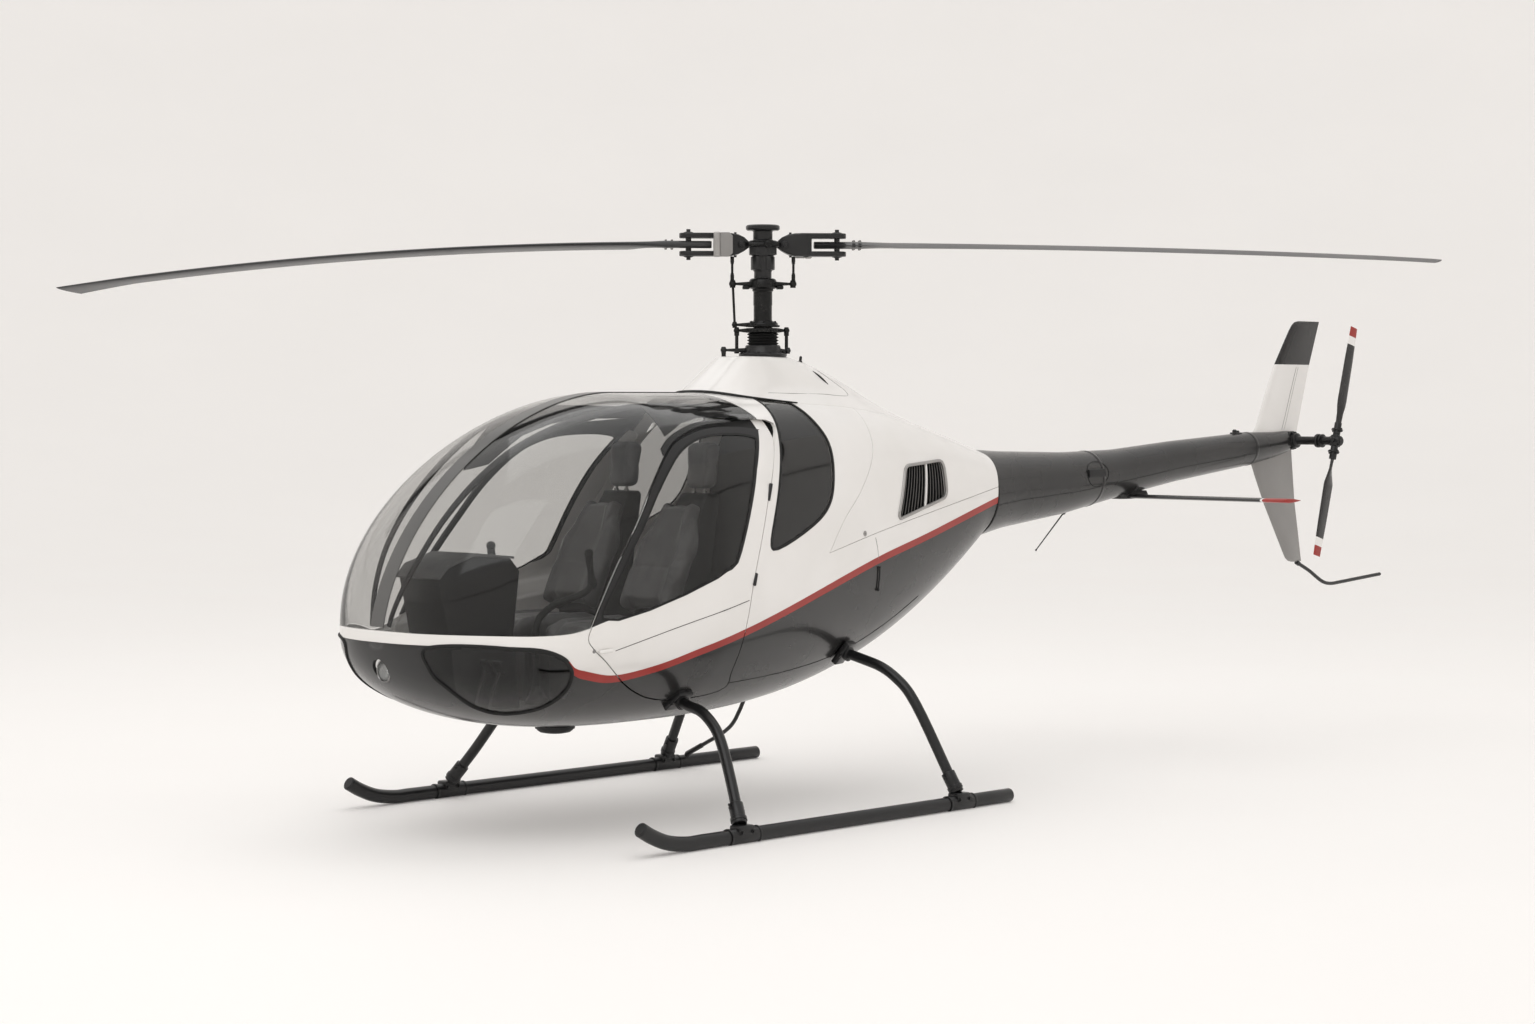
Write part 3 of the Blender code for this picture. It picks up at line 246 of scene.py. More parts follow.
# Blown acrylic: clear with a light smoke, and sharp reflections
CLEAR_ACRYLIC = Finish("clear_acrylic_glazing", "clear_acrylic", "#DEDEDD", "#DBDBDA", 0.0, ior=1.3,
                       transmission=1.0, gloss_drift=0.0, drift_mm=900.0)
SMOKED_ACRYLIC = Finish("smoked_acrylic_glazing", "smoked_acrylic", "#B4B4B3", "#AFAFAE", 0.02, ior=1.38,
                        transmission=1.0, gloss_drift=0.01, drift_mm=900.0)
LAMP_GLASS = Finish("pressed_lamp_glass", "lamp_glass", "#E8EAEA", "#DFE2E2", 0.05, ior=1.5,
                    transmission=0.9, grain=Grain.MOULDED, grain_mm=7.0, depth_mm=0.4)
# Moulded seals: matt and soft black
RUBBER = Finish("black_epdm_rubber", "black_trim", "#141414", "#181818", 0.62, ior=1.4, drift_mm=60.0,
                grain=Grain.MOULDED, grain_mm=1.5, depth_mm=0.05)
MOULDED_TRIM = Finish("moulded_abs_trim", "black_trim", "#1E1E1F", "#242425", 0.50, ior=1.4, drift_mm=120.0,
                      grain=Grain.MOULDED, grain_mm=9.0, depth_mm=0.003)
# Two-pack enamel over steel and aluminium: black, half gloss, a little orange peel
BLACK_ENAMEL = Finish("black_enamel_paint", "black_enamel", "#161617", "#1C1C1D", 0.34, ior=1.4, coat=0.15,
                      drift_mm=160.0, gloss_drift=0.06, grain=Grain.MOULDED, grain_mm=4.0, depth_mm=0.03)
BLADE_PAINT = Finish("blade_polyurethane_paint", "blade_grey", "#343435", "#3C3C3D", 0.38, ior=1.4, coat=0.1,
                     drift_mm=500.0, gloss_drift=0.05, grain=Grain.MOULDED, grain_mm=6.0, depth_mm=0.02)
FIN_GREY = Finish("fin_grey_paint", "blade_grey", "#8E8C8A", "#858381", 0.36, coat=0.2, drift_mm=300.0,
                  grain=Grain.MOULDED, grain_mm=6.0, depth_mm=0.02)
GREY_ANODISED = Finish("grey_anodised_aluminium", "blade_grey", "#A9A7A5", "#9C9A98", 0.34, metallic=0.7,
                       drift_mm=80.0, grain=Grain.BRUSHED, grain_mm=0.8, depth_mm=0.01)
BRIGHT_STEEL = Finish("turned_steel", "black_enamel", "#8F8E8D", "#7D7C7B", 0.28, metallic=1.0,
                      drift_mm=30.0, grain=Grain.BRUSHED, grain_mm=0.6, depth_mm=0.01)
DARK_STEEL = Finish("blued_steel", "black_enamel", "#2C2C2C", "#222222", 0.30, metallic=0.8, drift_mm=45.0,
                    gloss_drift=0.06, grain=Grain.BRUSHED, grain_mm=0.9, depth_mm=0.015)
CASTING = Finish("sand_cast_aluminium", "cast_engine", "#6B6B6A", "#5C5C5B", 0.55, metallic=0.85,
                 drift_mm=50.0, gloss_drift=0.08, grain=Grain.MOULDED, grain_mm=3.0, depth_mm=0.25)
# Soft goods of the cabin
# Black seat leather drawn mid-grey: painted light that makes up for the light the glass keeps out of the cabin
SEAT_HIDE_PAINTED_LIGHTER = Finish("dark_hide_painted_lighter", "black_leather", "#6C6C6D", "#5E5E5F", 0.42, sheen=0.10, drift_mm=90.0,
                 gloss_drift=0.07, grain=Grain.PEBBLE, grain_mm=7.0, depth_mm=0.04)
# Light grey bolsters: partly a lighter leather panel, partly a painted highlight along the bolsters' edges
BOLSTER_PAINTED_HIGHLIGHT = Finish("grey_leather_panel", "black_leather", "#A4A4A5", "#949495", 0.44, sheen=0.12,
                drift_mm=90.0, grain=Grain.PEBBLE, grain_mm=7.0, depth_mm=0.04)
# Light grey glare shield over a black console: painted light for the console's lit top
GLARE_SHIELD_PAINTED_LIGHT = Finish("glare_shield_painted_light", "black_trim", "#6A6A6A", "#5F5F5F", 0.62, drift_mm=70.0,
                    grain=Grain.MOULDED, grain_mm=9.0, depth_mm=0.004)
STRIP_GREY = Finish("grey_coated_strip", "black_trim", "#5B5B5A", "#525251", 0.34, coat=0.2, drift_mm=300.0,
                    grain=Grain.MOULDED, grain_mm=9.0, depth_mm=0.02)
WEBBING = Finish("woven_polyester_webbing", "black_trim", "#131314", "#1B1B1C", 0.70, sheen=0.3,
                 drift_mm=40.0, grain=Grain.WEAVE, grain_mm=3.0, depth_mm=0.3)
CARPET = Finish("needle_felt_carpet", "black_trim", "#19191A", "#242425", 0.92, sheen=0.4,
                drift_mm=25.0, grain=Grain.MOULDED, grain_mm=8.0, depth_mm=0.05)


def between(a: Vector, b: Vector, start: float, end: float, now: float) -> Vector:
    """What lies between a at start and b at end, or past them."""
    return (a * (end - now) + b * (now - start)) / (end - start)


def curve(points: Iterable[Sequence[float]], steps: int = 6, closed: bool = False) -> list[Vector]:
    """Read a smooth line through points, by a centripetal Catmull-Rom curve.

    Args:
        points: The points it passes through.
        steps: How many pieces each stretch is cut into.
        closed: Whether the line returns to its start.

    Returns:
        The points of the smooth line.
    """
    path = [Vector(point) for point in points]
    if closed:
        path = [path[-1], *path, path[0], path[1]]
    else:
        path = [2.0 * path[0] - path[1], *path, 2.0 * path[-1] - path[-2]]
    line = []
    for four in zip(path, path[1:], path[2:], path[3:]):
        times = [0.0]
        for a, b in zip(four, four[1:]):
            times.append(times[-1] + max((b - a).length, 1e-6) ** 0.5)
        for step in range(steps):
            now = times[1] + (times[2] - times[1]) * step / steps
            first = [between(four[i], four[i + 1], times[i], times[i + 1], now) for i in range(3)]
            second = [between(first[i], first[i + 1], times[i], times[i + 2], now) for i in range(2)]
            line.append(between(*second, times[1], times[2], now))
    if not closed:
        line.append(path[-2])
    return line


def spaced(points: Sequence[Vector], count: int, closed: bool = False) -> list[Vector]:
    """Read points at even distances along a line.

    Args:
        points: The line.
        count: How many points to give back.
        closed: Whether the line returns to its start.

    Returns:
        The evenly spaced points.
    """
    path = list(points) + ([points[0]] if closed else [])
    runs = [0.0]
    for a, b in zip(path, path[1:]):
        runs.append(runs[-1] + (b - a).length)
    made = []
    for step in range(count):
        goal = runs[-1] * step / (count if closed else count - 1)
        i = min(max(next((k for k, run in enumerate(runs) if run > goal), len(runs) - 1), 1), len(runs) - 1)
        part = (goal - runs[i - 1]) / max(runs[i] - runs[i - 1], 1e-9)
        made.append(path[i - 1].lerp(path[i], min(part, 1.0)))
    return made


def grown(points: Sequence[Sequence[float]], distance: float) -> list[Vector]:
    """Move a closed flat outline outwards.

    Args:
        points: The outline, in order either way round.
        distance: How far outwards, or inwards if it is negative.

    Returns:
        The moved outline.
    """
    ring = [Vector(point) for point in points]
    area = sum(a.x * b.y - b.x * a.y for a, b in zip(ring, ring[1:] + ring[:1]))
    turn = 1.0 if area > 0.0 else -1.0
    moved = []
    for i, here in enumerate(ring):
        before = (here - ring[i - 1]).normalized()
        after = (ring[(i + 1) % len(ring)] - here).normalized()
        first = Vector((before.y, -before.x)) * turn
        second = Vector((after.y, -after.x)) * turn
        moved.append(here + (first + second) * (distance / max(1.0 + first.dot(second), 0.3)))
    return moved


def faced(form: BMesh) -> BMesh:
    """Merge a form's doubled points and turn its faces outwards."""
    bmesh.ops.remove_doubles(form, verts=form.verts, dist=1e-6)
    bmesh.ops.recalc_face_normals(form, faces=form.faces)
    return form


def loft(rings: Sequence[Sequence[Sequence[float]]], caps: bool = True) -> BMesh:
    """Bridge rings of equal length into one skin.

    Args:
        rings: The rings' points, one ring after the other.
        caps: Whether both ends are closed.

    Returns:
        The form, its faces outwards.
    """
    form = bmesh.new()
    loops = []
    for ring in rings:
        made = bmesh.ops.create_circle(form, cap_ends=False, segments=len(ring), radius=1.0)["verts"]
        for vert, place in zip(made, ring):
            vert.co = place
        loops.append(list({edge for vert in made for edge in vert.link_edges}))
    for low, high in zip(loops, loops[1:]):
        bmesh.ops.bridge_loops(form, edges=low + high)
    if caps:
        for loop in (loops[0], loops[-1]):
            bmesh.ops.contextual_create(form, geom=loop)
    bmesh.ops.recalc_face_normals(form, faces=form.faces)
    return form


def turned(profile: Sequence[tuple[float, float]], steps: int = 48, ring: bool = False) -> BMesh:
    """Spin a profile about Z.

    Args:
        profile: (radius, height) pairs, from axis to axis, or a closed ring's.
        steps: Faces round the axis.
        ring: Whether the profile closes on itself away from the axis.

    Returns:
        The turned form.
    """
    form = bmesh.new()
    verts = [form.verts.new((radius, 0.0, height)) for radius, height in profile]
    edges = [form.edges.new(pair) for pair in zip(verts, verts[1:])]
    if ring:
        edges.append(form.edges.new((verts[-1], verts[0])))
    bmesh.ops.spin(form, geom=verts + edges, cent=(0.0, 0.0, 0.0), axis=(0.0, 0.0, 1.0),
                   angle=math.tau, steps=steps, use_merge=True)
    return faced(form)


def tube(points: Sequence[Sequence[float]], radius: float | Callable[[float], float],
         sides: int = 24, rounding: float = 0.0) -> BMesh:
    """A round bar along points.

    Args:
        points: Its middle line.
        radius: Its radius, or a function of the part of the way along it.
        sides: Faces round it.
        rounding: How far its end edges are rounded.

    Returns:
        The bar.
    """
    path = [Vector(point) for point in points]
    rings = []
    across = None
    for i, here in enumerate(path):
        along = (path[min(i + 1, len(path) - 1)] - path[max(i - 1, 0)]).normalized()
        if across is None:
            across = along.orthogonal().normalized()
        across = (across - along * across.dot(along)).normalized()
        wide = radius(i / (len(path) - 1)) if callable(radius) else radius
        rings.append([here + Matrix.Rotation(math.tau * step / sides, 3, along) @ across * wide
                      for step in range(sides)])
    form = loft(rings)
    if rounding:
        ends = [face for face in form.faces if len(face.verts) == sides]
        bmesh.ops.bevel(form, geom=list({edge for face in ends for edge in face.edges}), offset=rounding,
                        segments=3, profile=0.5, affect="EDGES", material=-1)
    return form


def prism(points: Sequence[Sequence[float]], low: float, high: float) -> BMesh:
    """A side outline of (y, z) drawn along X from low to high."""
    form = bmesh.new()
    face = form.faces.new([form.verts.new((low, point[0], point[1])) for point in points])
    drawn = bmesh.ops.extrude_face_region(form, geom=[face])["geom"]
    bmesh.ops.translate(form, verts=[part for part in drawn if isinstance(part, bmesh.types.BMVert)],
                        vec=(high - low, 0.0, 0.0))
    return faced(form)


def block(low: Sequence[float], high: Sequence[float], rounding: float = 0.0, segments: int = 3) -> BMesh:
    """A box between two corners, its edges rounded."""
    form = bmesh.new()
    bmesh.ops.create_cube(form, size=1.0)
    bmesh.ops.scale(form, verts=form.verts, vec=[b - a for a, b in zip(low, high)])
    bmesh.ops.translate(form, verts=form.verts, vec=[(a + b) / 2.0 for a, b in zip(low, high)])
    return rounded(form, rounding, segments) if rounding else form


def rounded(form: BMesh, offset: float, segments: int = 3, angle: float = 30.0) -> BMesh:
    """Round the edges of a form that are sharper than an angle in degrees."""
    sharp = [edge for edge in form.edges
             if edge.is_manifold and edge.calc_face_angle(0.0) > math.radians(angle)]
    bmesh.ops.bevel(form, geom=sharp, offset=offset, segments=segments, profile=0.5, affect="EDGES",
                    clamp_overlap=True, material=-1)
    return form


def turn(form: BMesh, degrees: float, about: str = "Z", centre: Sequence[float] = (0.0, 0.0, 0.0)) -> BMesh:
    """Turn a form about an axis through centre."""
    bmesh.ops.rotate(form, verts=form.verts, cent=centre,
                     matrix=Matrix.Rotation(math.radians(degrees), 3, about))
    return form


def moved(form: BMesh, place: Sequence[float], along: Sequence[float] | None = None) -> BMesh:
    """Point a form's Z along a direction, if one is given, and carry it to a place."""
    matrix = Matrix.Translation(Vector(place))
    if along is not None:
        matrix @= Vector(along).to_track_quat("Z", "Y").to_matrix().to_4x4()
    bmesh.ops.transform(form, verts=form.verts, matrix=matrix)
    return form


def joined(*forms: BMesh) -> BMesh:
    """Gather several forms in one mesh.

    Args:
        forms: The forms, which are used up.

    Returns:
        All of them as one.
    """
    whole = bmesh.new()
    for form in forms:
        held = bpy.data.meshes.new("held")
        form.to_mesh(held)
        form.free()
        whole.from_mesh(held)
        bpy.data.meshes.remove(held)
    return whole


def bolt(place: Sequence[float], along: Sequence[float], radius: float = 0.006) -> BMesh:
    """A hexagon bolt head on its washer, standing at a place and pointing along a direction."""
    head = bmesh.new()
    bmesh.ops.create_cone(head, cap_ends=True, segments=6, radius1=radius, radius2=radius, depth=radius * 1.1)
    bmesh.ops.translate(head, verts=head.verts, vec=(0.0, 0.0, radius * 0.8))
    washer = turned(((0.0, 0.0), (radius * 1.45, 0.0), (radius * 1.45, radius * 0.2),
                     (radius * 1.3, radius * 0.3), (0.0, radius * 0.3)), 16)
    return moved(joined(head, washer), place, along)


def slab(points: Sequence[Sequence[float]], low: float, high: float, rounding: float = 0.0) -> BMesh:
    """A plan outline of (x, y) drawn along Z from low to high, its edges rounded."""
    form = bmesh.new()
    face = form.faces.new([form.verts.new((point[0], point[1], low)) for point in points])
    drawn = bmesh.ops.extrude_face_region(form, geom=[face])["geom"]
    bmesh.ops.translate(form, verts=[part for part in drawn if isinstance(part, bmesh.types.BMVert)],
                        vec=(0.0, 0.0, high - low))
    form = faced(form)
    return rounded(form, rounding, 2) if rounding else form


def arc(centre: Sequence[float], radius: float, start: float, end: float, steps: int = 6) -> list[Vector]:
    """Points on an arc between two angles in degrees."""
    angles = [math.radians(start + (end - start) * step / steps) for step in range(steps + 1)]
    return [Vector((centre[0] + radius * math.cos(a), centre[1] + radius * math.sin(a))) for a in angles]


def ball(place: Sequence[float], radius: float, steps: int = 20) -> BMesh:
    """A ball at a place."""
    form = bmesh.new()
    bmesh.ops.create_uvsphere(form, u_segments=steps, v_segments=steps // 2, radius=radius)
    return moved(form, place)


def disc(place: Sequence[float], along: Sequence[float], radius: float, height: float,
         rounding: float = 0.0, steps: int = 32) -> BMesh:
    """A round boss that stands at a place and points along a direction."""
    form = turned(((0.0, 0.0), (radius, 0.0), (radius, height - rounding),
                   (radius - rounding, height), (0.0, height)), steps)
    return moved(form, place, along)


def boxed(x: float, half: float, low: float, high: float, corner: float, middle: float = 0.0) -> list[Vector]:
    """A rectangle across X with round corners, as a ring of points."""
    corners = ((half - corner, high - corner, 0.0), (corner - half, high - corner, 90.0),
               (corner - half, low + corner, 180.0), (half - corner, low + corner, 270.0))
    return [Vector((x, middle + point.x, point.y)) for y, z, start in corners
            for point in arc((y, z), corner, start, start + 90.0, 3)]


def wing(chord: float, thick: float, lead: float, steps: int = 12) -> list[tuple[float, float]]:
    """Points round a symmetric blade section as (forward, up), its leading edge at lead."""
    upper = []
    for step in range(steps + 1):
        part = 0.5 * (1.0 - math.cos(math.pi * step / steps))
        half = 5.0 * thick * (0.2969 * part**0.5 - 0.126 * part - 0.3516 * part**2 + 0.2843 * part**3
                              - 0.1015 * part**4)
        upper.append((lead - chord * part, half))
    return upper + [(forward, -up) for forward, up in upper[-2:0:-1]]


def row_at(rows: Sequence[Sequence[float]], place: float) -> list[float]:
    """Read a table at a place between the first values of its rows."""
    for a, b in zip(rows, rows[1:]):
        if place <= b[0]:
            part = max((place - a[0]) / (b[0] - a[0]), 0.0)
            return [low + (high - low) * part for low, high in zip(a[1:], b[1:])]
    return list(rows[-1][1:])


def finished(name: str, form: BMesh, finish: Finish, body: Body, replaces: Sequence[str] = (),
             smooth: float = 35.0, extra: Sequence[Finish] = (), bevel: float = 0.0) -> bpy.types.Object:
    """Make a piece from a form, lay it on the frame and dress it.

    Args:
        name: The piece's name.
        form: Its form in lengths from the mast, which is used up.
        finish: Its finish.
        body: The body that it moves with.
        replaces: The frame's nodes that it stands for.
        smooth: The angle over which an edge stays sharp.
        extra: More finishes, for faces whose material index is over zero.
        bevel: The width of a live bevel on sharp edges.

    Returns:
        The piece.
    """
    mesh = bpy.data.meshes.new(name)
    form.to_mesh(mesh)
    form.free()
    mesh.shade_smooth()
    mesh.set_sharp_from_angle(angle=math.radians(smooth))
    return dressed(name, mesh, finish, body, replaces, extra, bevel)


def dressed(name: str, mesh: bpy.types.Mesh, finish: Finish, body: Body, replaces: Sequence[str] = (),
            extra: Sequence[Finish] = (), bevel: float = 0.0) -> bpy.types.Object:
    """Give a finished mesh its object, finish, body and the nodes that it stands for."""
    mesh.transform(Matrix.Translation((0.0, MAST_Y, 0.0)))
    mesh.materials.clear()
    for each in (finish, *extra):
        mesh.materials.append(each.material())
    item = bpy.data.objects.new(name, mesh)
    bpy.context.scene.collection.objects.link(item)
    if bevel:
        change = item.modifiers.new("bevel", "BEVEL")
        change.width = bevel
        change.segments = 2
        change.limit_method = "ANGLE"
        change.harden_normals = True
    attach(item, body.value)
    if replaces:
        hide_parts(*replaces)
    LOG.info("%s: %d faces", name, len(mesh.polygons))
    return item


def repaint(name: str, finish: Finish) -> None:
    """Give a node of the frame that stays in view its finish."""
    frame["nodes"][name].data.materials.clear()
    frame["nodes"][name].data.materials.append(finish.material())


@dataclass
class Hull:
    """The cabin and engine bay's outer form, and the walls that are cut from it."""

    nose: tuple[float, float] = (-2.36, 0.885)
    full_y: float = -1.56
    taper_y: float = -0.93
    half_width: float = 0.675
    plan_power: float = 2.44
    crown: tuple[float, float] = (-1.06, 1.975)
    crown_power: float = 1.75
    fall_y: float = 0.10
    belly: tuple[float, float] = (-0.98, 0.44)
    belly_power: float = 2.4
    tail_y: float = 1.52
    tail_width: float = 0.222
    tail_top: float = 1.675
    tail_bottom: float = 1.215
    tail_middle: float = 1.46
    upper_power: float = 2.75
    lower_power: float = 2.0
    around: int = 112
    nose_rings: int = 40
    tail_rings: int = 24
    wall: float = 0.016

    @staticmethod
    def rise(part: float, power: float) -> float:
        """Height of a rounded curve at a part of the way from its flat end to its tip."""
        return (1.0 - min(max(part, 0.0), 1.0) ** power) ** (1.0 / power)

    def section(self, y: float, inset: float = 0.0) -> tuple[float, float, float, float]:
        """Half width, top, bottom and middle height at y, drawn in by inset."""
        nose_y, nose_z = self.nose
        tip = nose_y + inset
        y = min(y, self.tail_y)
        run = max(y - nose_y, 0.0) / (self.tail_y - nose_y)
        middle = nose_z + (self.tail_middle - nose_z) * run**1.5
        if y < self.full_y:
            part = (self.full_y - y) / (self.full_y - tip)
            width = (self.half_width - inset) * self.rise(part, self.plan_power)
        else:
            taper = max((y - self.taper_y) / (self.tail_y - self.taper_y), 0.0)
            width = self.half_width - inset - (self.half_width - self.tail_width) * taper**1.2
        crown_y, crown_z = self.crown
        if y < crown_y:
            part = (crown_y - y) / (crown_y - tip)
            top = nose_z + (crown_z - inset - nose_z) * self.rise(part, self.crown_power)
        else:
            fall = max((y - self.fall_y) / (self.tail_y - self.fall_y), 0.0)
            top = crown_z - inset - (crown_z - self.tail_top) * fall**1.5
        belly_y, belly_z = self.belly
        if y < belly_y:
            part = (belly_y - y) / (belly_y - tip)
            bottom = nose_z - (nose_z - belly_z - inset) * self.rise(part, self.belly_power)
        else:
            part = (y - belly_y) / (self.tail_y - belly_y)
            bottom = belly_z + inset + (self.tail_bottom - belly_z) * part**2.6
        return width, top, bottom, min(max(middle, bottom), top)

    def x_at(self, y: float, z: float, inset: float = 0.0) -> float:
        """Half width of the surface at y and height z."""
        width, top, bottom, middle = self.section(y, inset)
        if z > middle:
            return width * self.rise((z - middle) / (top - middle), self.upper_power)
        return width * self.rise((middle - z) / (middle - bottom), self.lower_power)

    def z_at(self, x: float, y: float, inset: float = 0.0) -> float:
        """Height of the upper surface at x and y."""
        width, top, _, middle = self.section(y, inset)
        return middle + (top - middle) * self.rise(abs(x) / width, self.upper_power)

    def z_under(self, x: float, y: float, inset: float = 0.0) -> float:
        """Height of the lower surface at x and y."""
        width, _, bottom, middle = self.section(y, inset)
        return middle - (middle - bottom) * self.rise(abs(x) / width, self.lower_power)

    def measure(self, place: Vector) -> float:
        """Over one outside the form and under one inside it."""
        width, top, bottom, middle = self.section(place.y)
        upper = place.z > middle
        power = self.upper_power if upper else self.lower_power
        high = max(top - middle if upper else middle - bottom, 1e-4)
        return (abs(place.x) / max(width, 1e-4)) ** power + (abs(place.z - middle) / high) ** power

    def normal(self, place: Vector) -> Vector:
        """The direction straight out of the surface at a place on it or near it."""
        step = 1e-4
        place = Vector((place.x, max(place.y, self.nose[0] + 2e-4), place.z))
        slope = [self.measure(place + Vector(way) * step) - self.measure(place - Vector(way) * step)
                 for way in ((1, 0, 0), (0, 1, 0), (0, 0, 1))]
        return Vector(slope).normalized() if any(slope) else Vector((0.0, -1.0, 0.0))

    def stations(self, inset: float) -> list[float]:
        """Where the rings lie along Y, close together near the nose."""
        tip = self.nose[0] + inset
        crown_y = self.crown[0]
        ys = [tip + (crown_y - tip) * (1.0 - math.cos(math.pi / 2.0 * step / self.nose_rings))
              for step in range(1, self.nose_rings + 1)]
        ys += [crown_y + (self.tail_y - crown_y) * step / self.tail_rings
               for step in range(1, self.tail_rings + 1)]
        return ys + [self.tail_y + 0.05] if inset > 0.0 else ys

    def solid(self, inset: float) -> BMesh:
        """The whole form, a sphere drawn onto its stations, moved in by inset."""
        ys = self.stations(inset)
        form = bmesh.new()
        bmesh.ops.create_uvsphere(form, u_segments=self.around, v_segments=len(ys) + 1, radius=1.0)
        for vert in form.verts:
            ring = round(math.acos(min(max(vert.co.z, -1.0), 1.0)) / math.pi * (len(ys) + 1))
            if ring in (0, len(ys) + 1):
                y = self.nose[0] + inset if ring == 0 else ys[-1]
                vert.co = (0.0, y, self.nose[1] if ring == 0 else self.tail_middle)
                continue
            angle = math.atan2(vert.co.y, vert.co.x)
            width, top, bottom, middle = self.section(ys[ring - 1], inset)
            power = self.upper_power if angle > 0.0 else self.lower_power
            reach = top - middle if angle > 0.0 else middle - bottom
            across = math.copysign(abs(math.cos(angle)) ** (2.0 / power), math.cos(angle))
            up = math.copysign(abs(math.sin(angle)) ** (2.0 / power), angle)
            vert.co = (width * across, ys[ring - 1], middle + reach * up)
        return faced(form)

    def form(self, inset: float) -> bpy.types.Object:
        """The form at an inset as a guide for cutting, made once."""
        name = "form_%+.4f" % inset
        found = bpy.data.objects.get(name)
        return found or guide(name, self.solid(inset), 0 if inset <= 0.004 else 1)

    def panel(self, name: str, outline: BMesh, finish: Finish, body: Body, replaces: Sequence[str] = (),
              outer: float = 0.0, inner: float | None = None, holes: Sequence[BMesh] = (),
              extra: Sequence[Finish] = (), within: BMesh | None = None) -> bpy.types.Object:
        """A piece of the wall between two insets, inside an outline and less its holes.

        Args:
            name: The panel's name.
            outline: A solid across the wall, which is used up.
            finish: Its outer finish.
            body: The body that it moves with.
            replaces: The frame's nodes that it stands for.
            outer: The inset of its outer face.
            inner: The inset of its inner face, a wall's thickness if none is given.
            holes: Solids that are cut from it.
            extra: The finish of its inner face and of its cut edges.
            within: One more solid that it has to lie inside.

        Returns:
            The panel.
        """
        inner = self.wall if inner is None else inner
        base = guide("base", outline, 2)
        tools = [("INTERSECT", self.form(outer)), ("DIFFERENCE", self.form(inner))]
        if within is not None:
            tools.append(("INTERSECT", guide("within", within, 2)))
        tools += [("DIFFERENCE", guide("hole", hole, 2)) for hole in holes]
        mesh = carved(base, tools)
        for tool in [base] + [each for _, each in tools if not each.name.startswith("form_")]:
            bpy.data.objects.remove(tool)
        self.shade(mesh, outer)
        lining = extra[0] if extra else finish
        edge = extra[1] if len(extra) > 1 else lining
        return dressed(name, mesh, finish, body, replaces, (lining, edge))

    def shade(self, mesh: bpy.types.Mesh, outer: float) -> None:
        """Shade a panel's two skins by the form itself, and leave its cut edges flat."""
        out = [self.normal(vert.co) for vert in mesh.vertices]
        mesh.shade_smooth()
        normals = [Vector((0.0, 0.0, 0.0))] * len(mesh.loops)
        for face in mesh.polygons:
            mean = sum((out[i] for i in face.vertices), Vector()).normalized()
            lean = face.normal.dot(mean)
            skin = face.material_index != 2 and abs(lean) > 0.5
            for loop in face.loop_indices:
                straight = out[mesh.loops[loop].vertex_index]
                normals[loop] = math.copysign(1.0, lean) * straight if skin else face.normal.copy()
        mesh.normals_split_custom_set(normals)


def guide(name: str, form: BMesh, index: int) -> bpy.types.Object:
    """A hidden object that only cuts, its faces marked with a material index."""
    for face in form.faces:
        face.material_index = index
    mesh = bpy.data.meshes.new(name)
    form.to_mesh(mesh)
    form.free()
    for _ in range(3):
        mesh.materials.append(WHITE_GELCOAT.material())
    item = bpy.data.objects.new(name, mesh)
    bpy.context.scene.collection.objects.link(item)
    item.hide_render = True
    return item


def carved(base: bpy.types.Object, tools: Sequence[tuple[str, bpy.types.Object]]) -> bpy.types.Mesh:
    """Carry out exact Booleans on a guide and give the mesh that they leave."""
    for operation, tool in tools:
        change = base.modifiers.new(operation, "BOOLEAN")
        change.object = tool
        change.operation = operation
        change.solver = "EXACT"
    graph = bpy.context.evaluated_depsgraph_get()
    mesh = bpy.data.meshes.new_from_object(base.evaluated_get(graph))
    mesh.name = base.name
    return mesh


HULL = Hull()


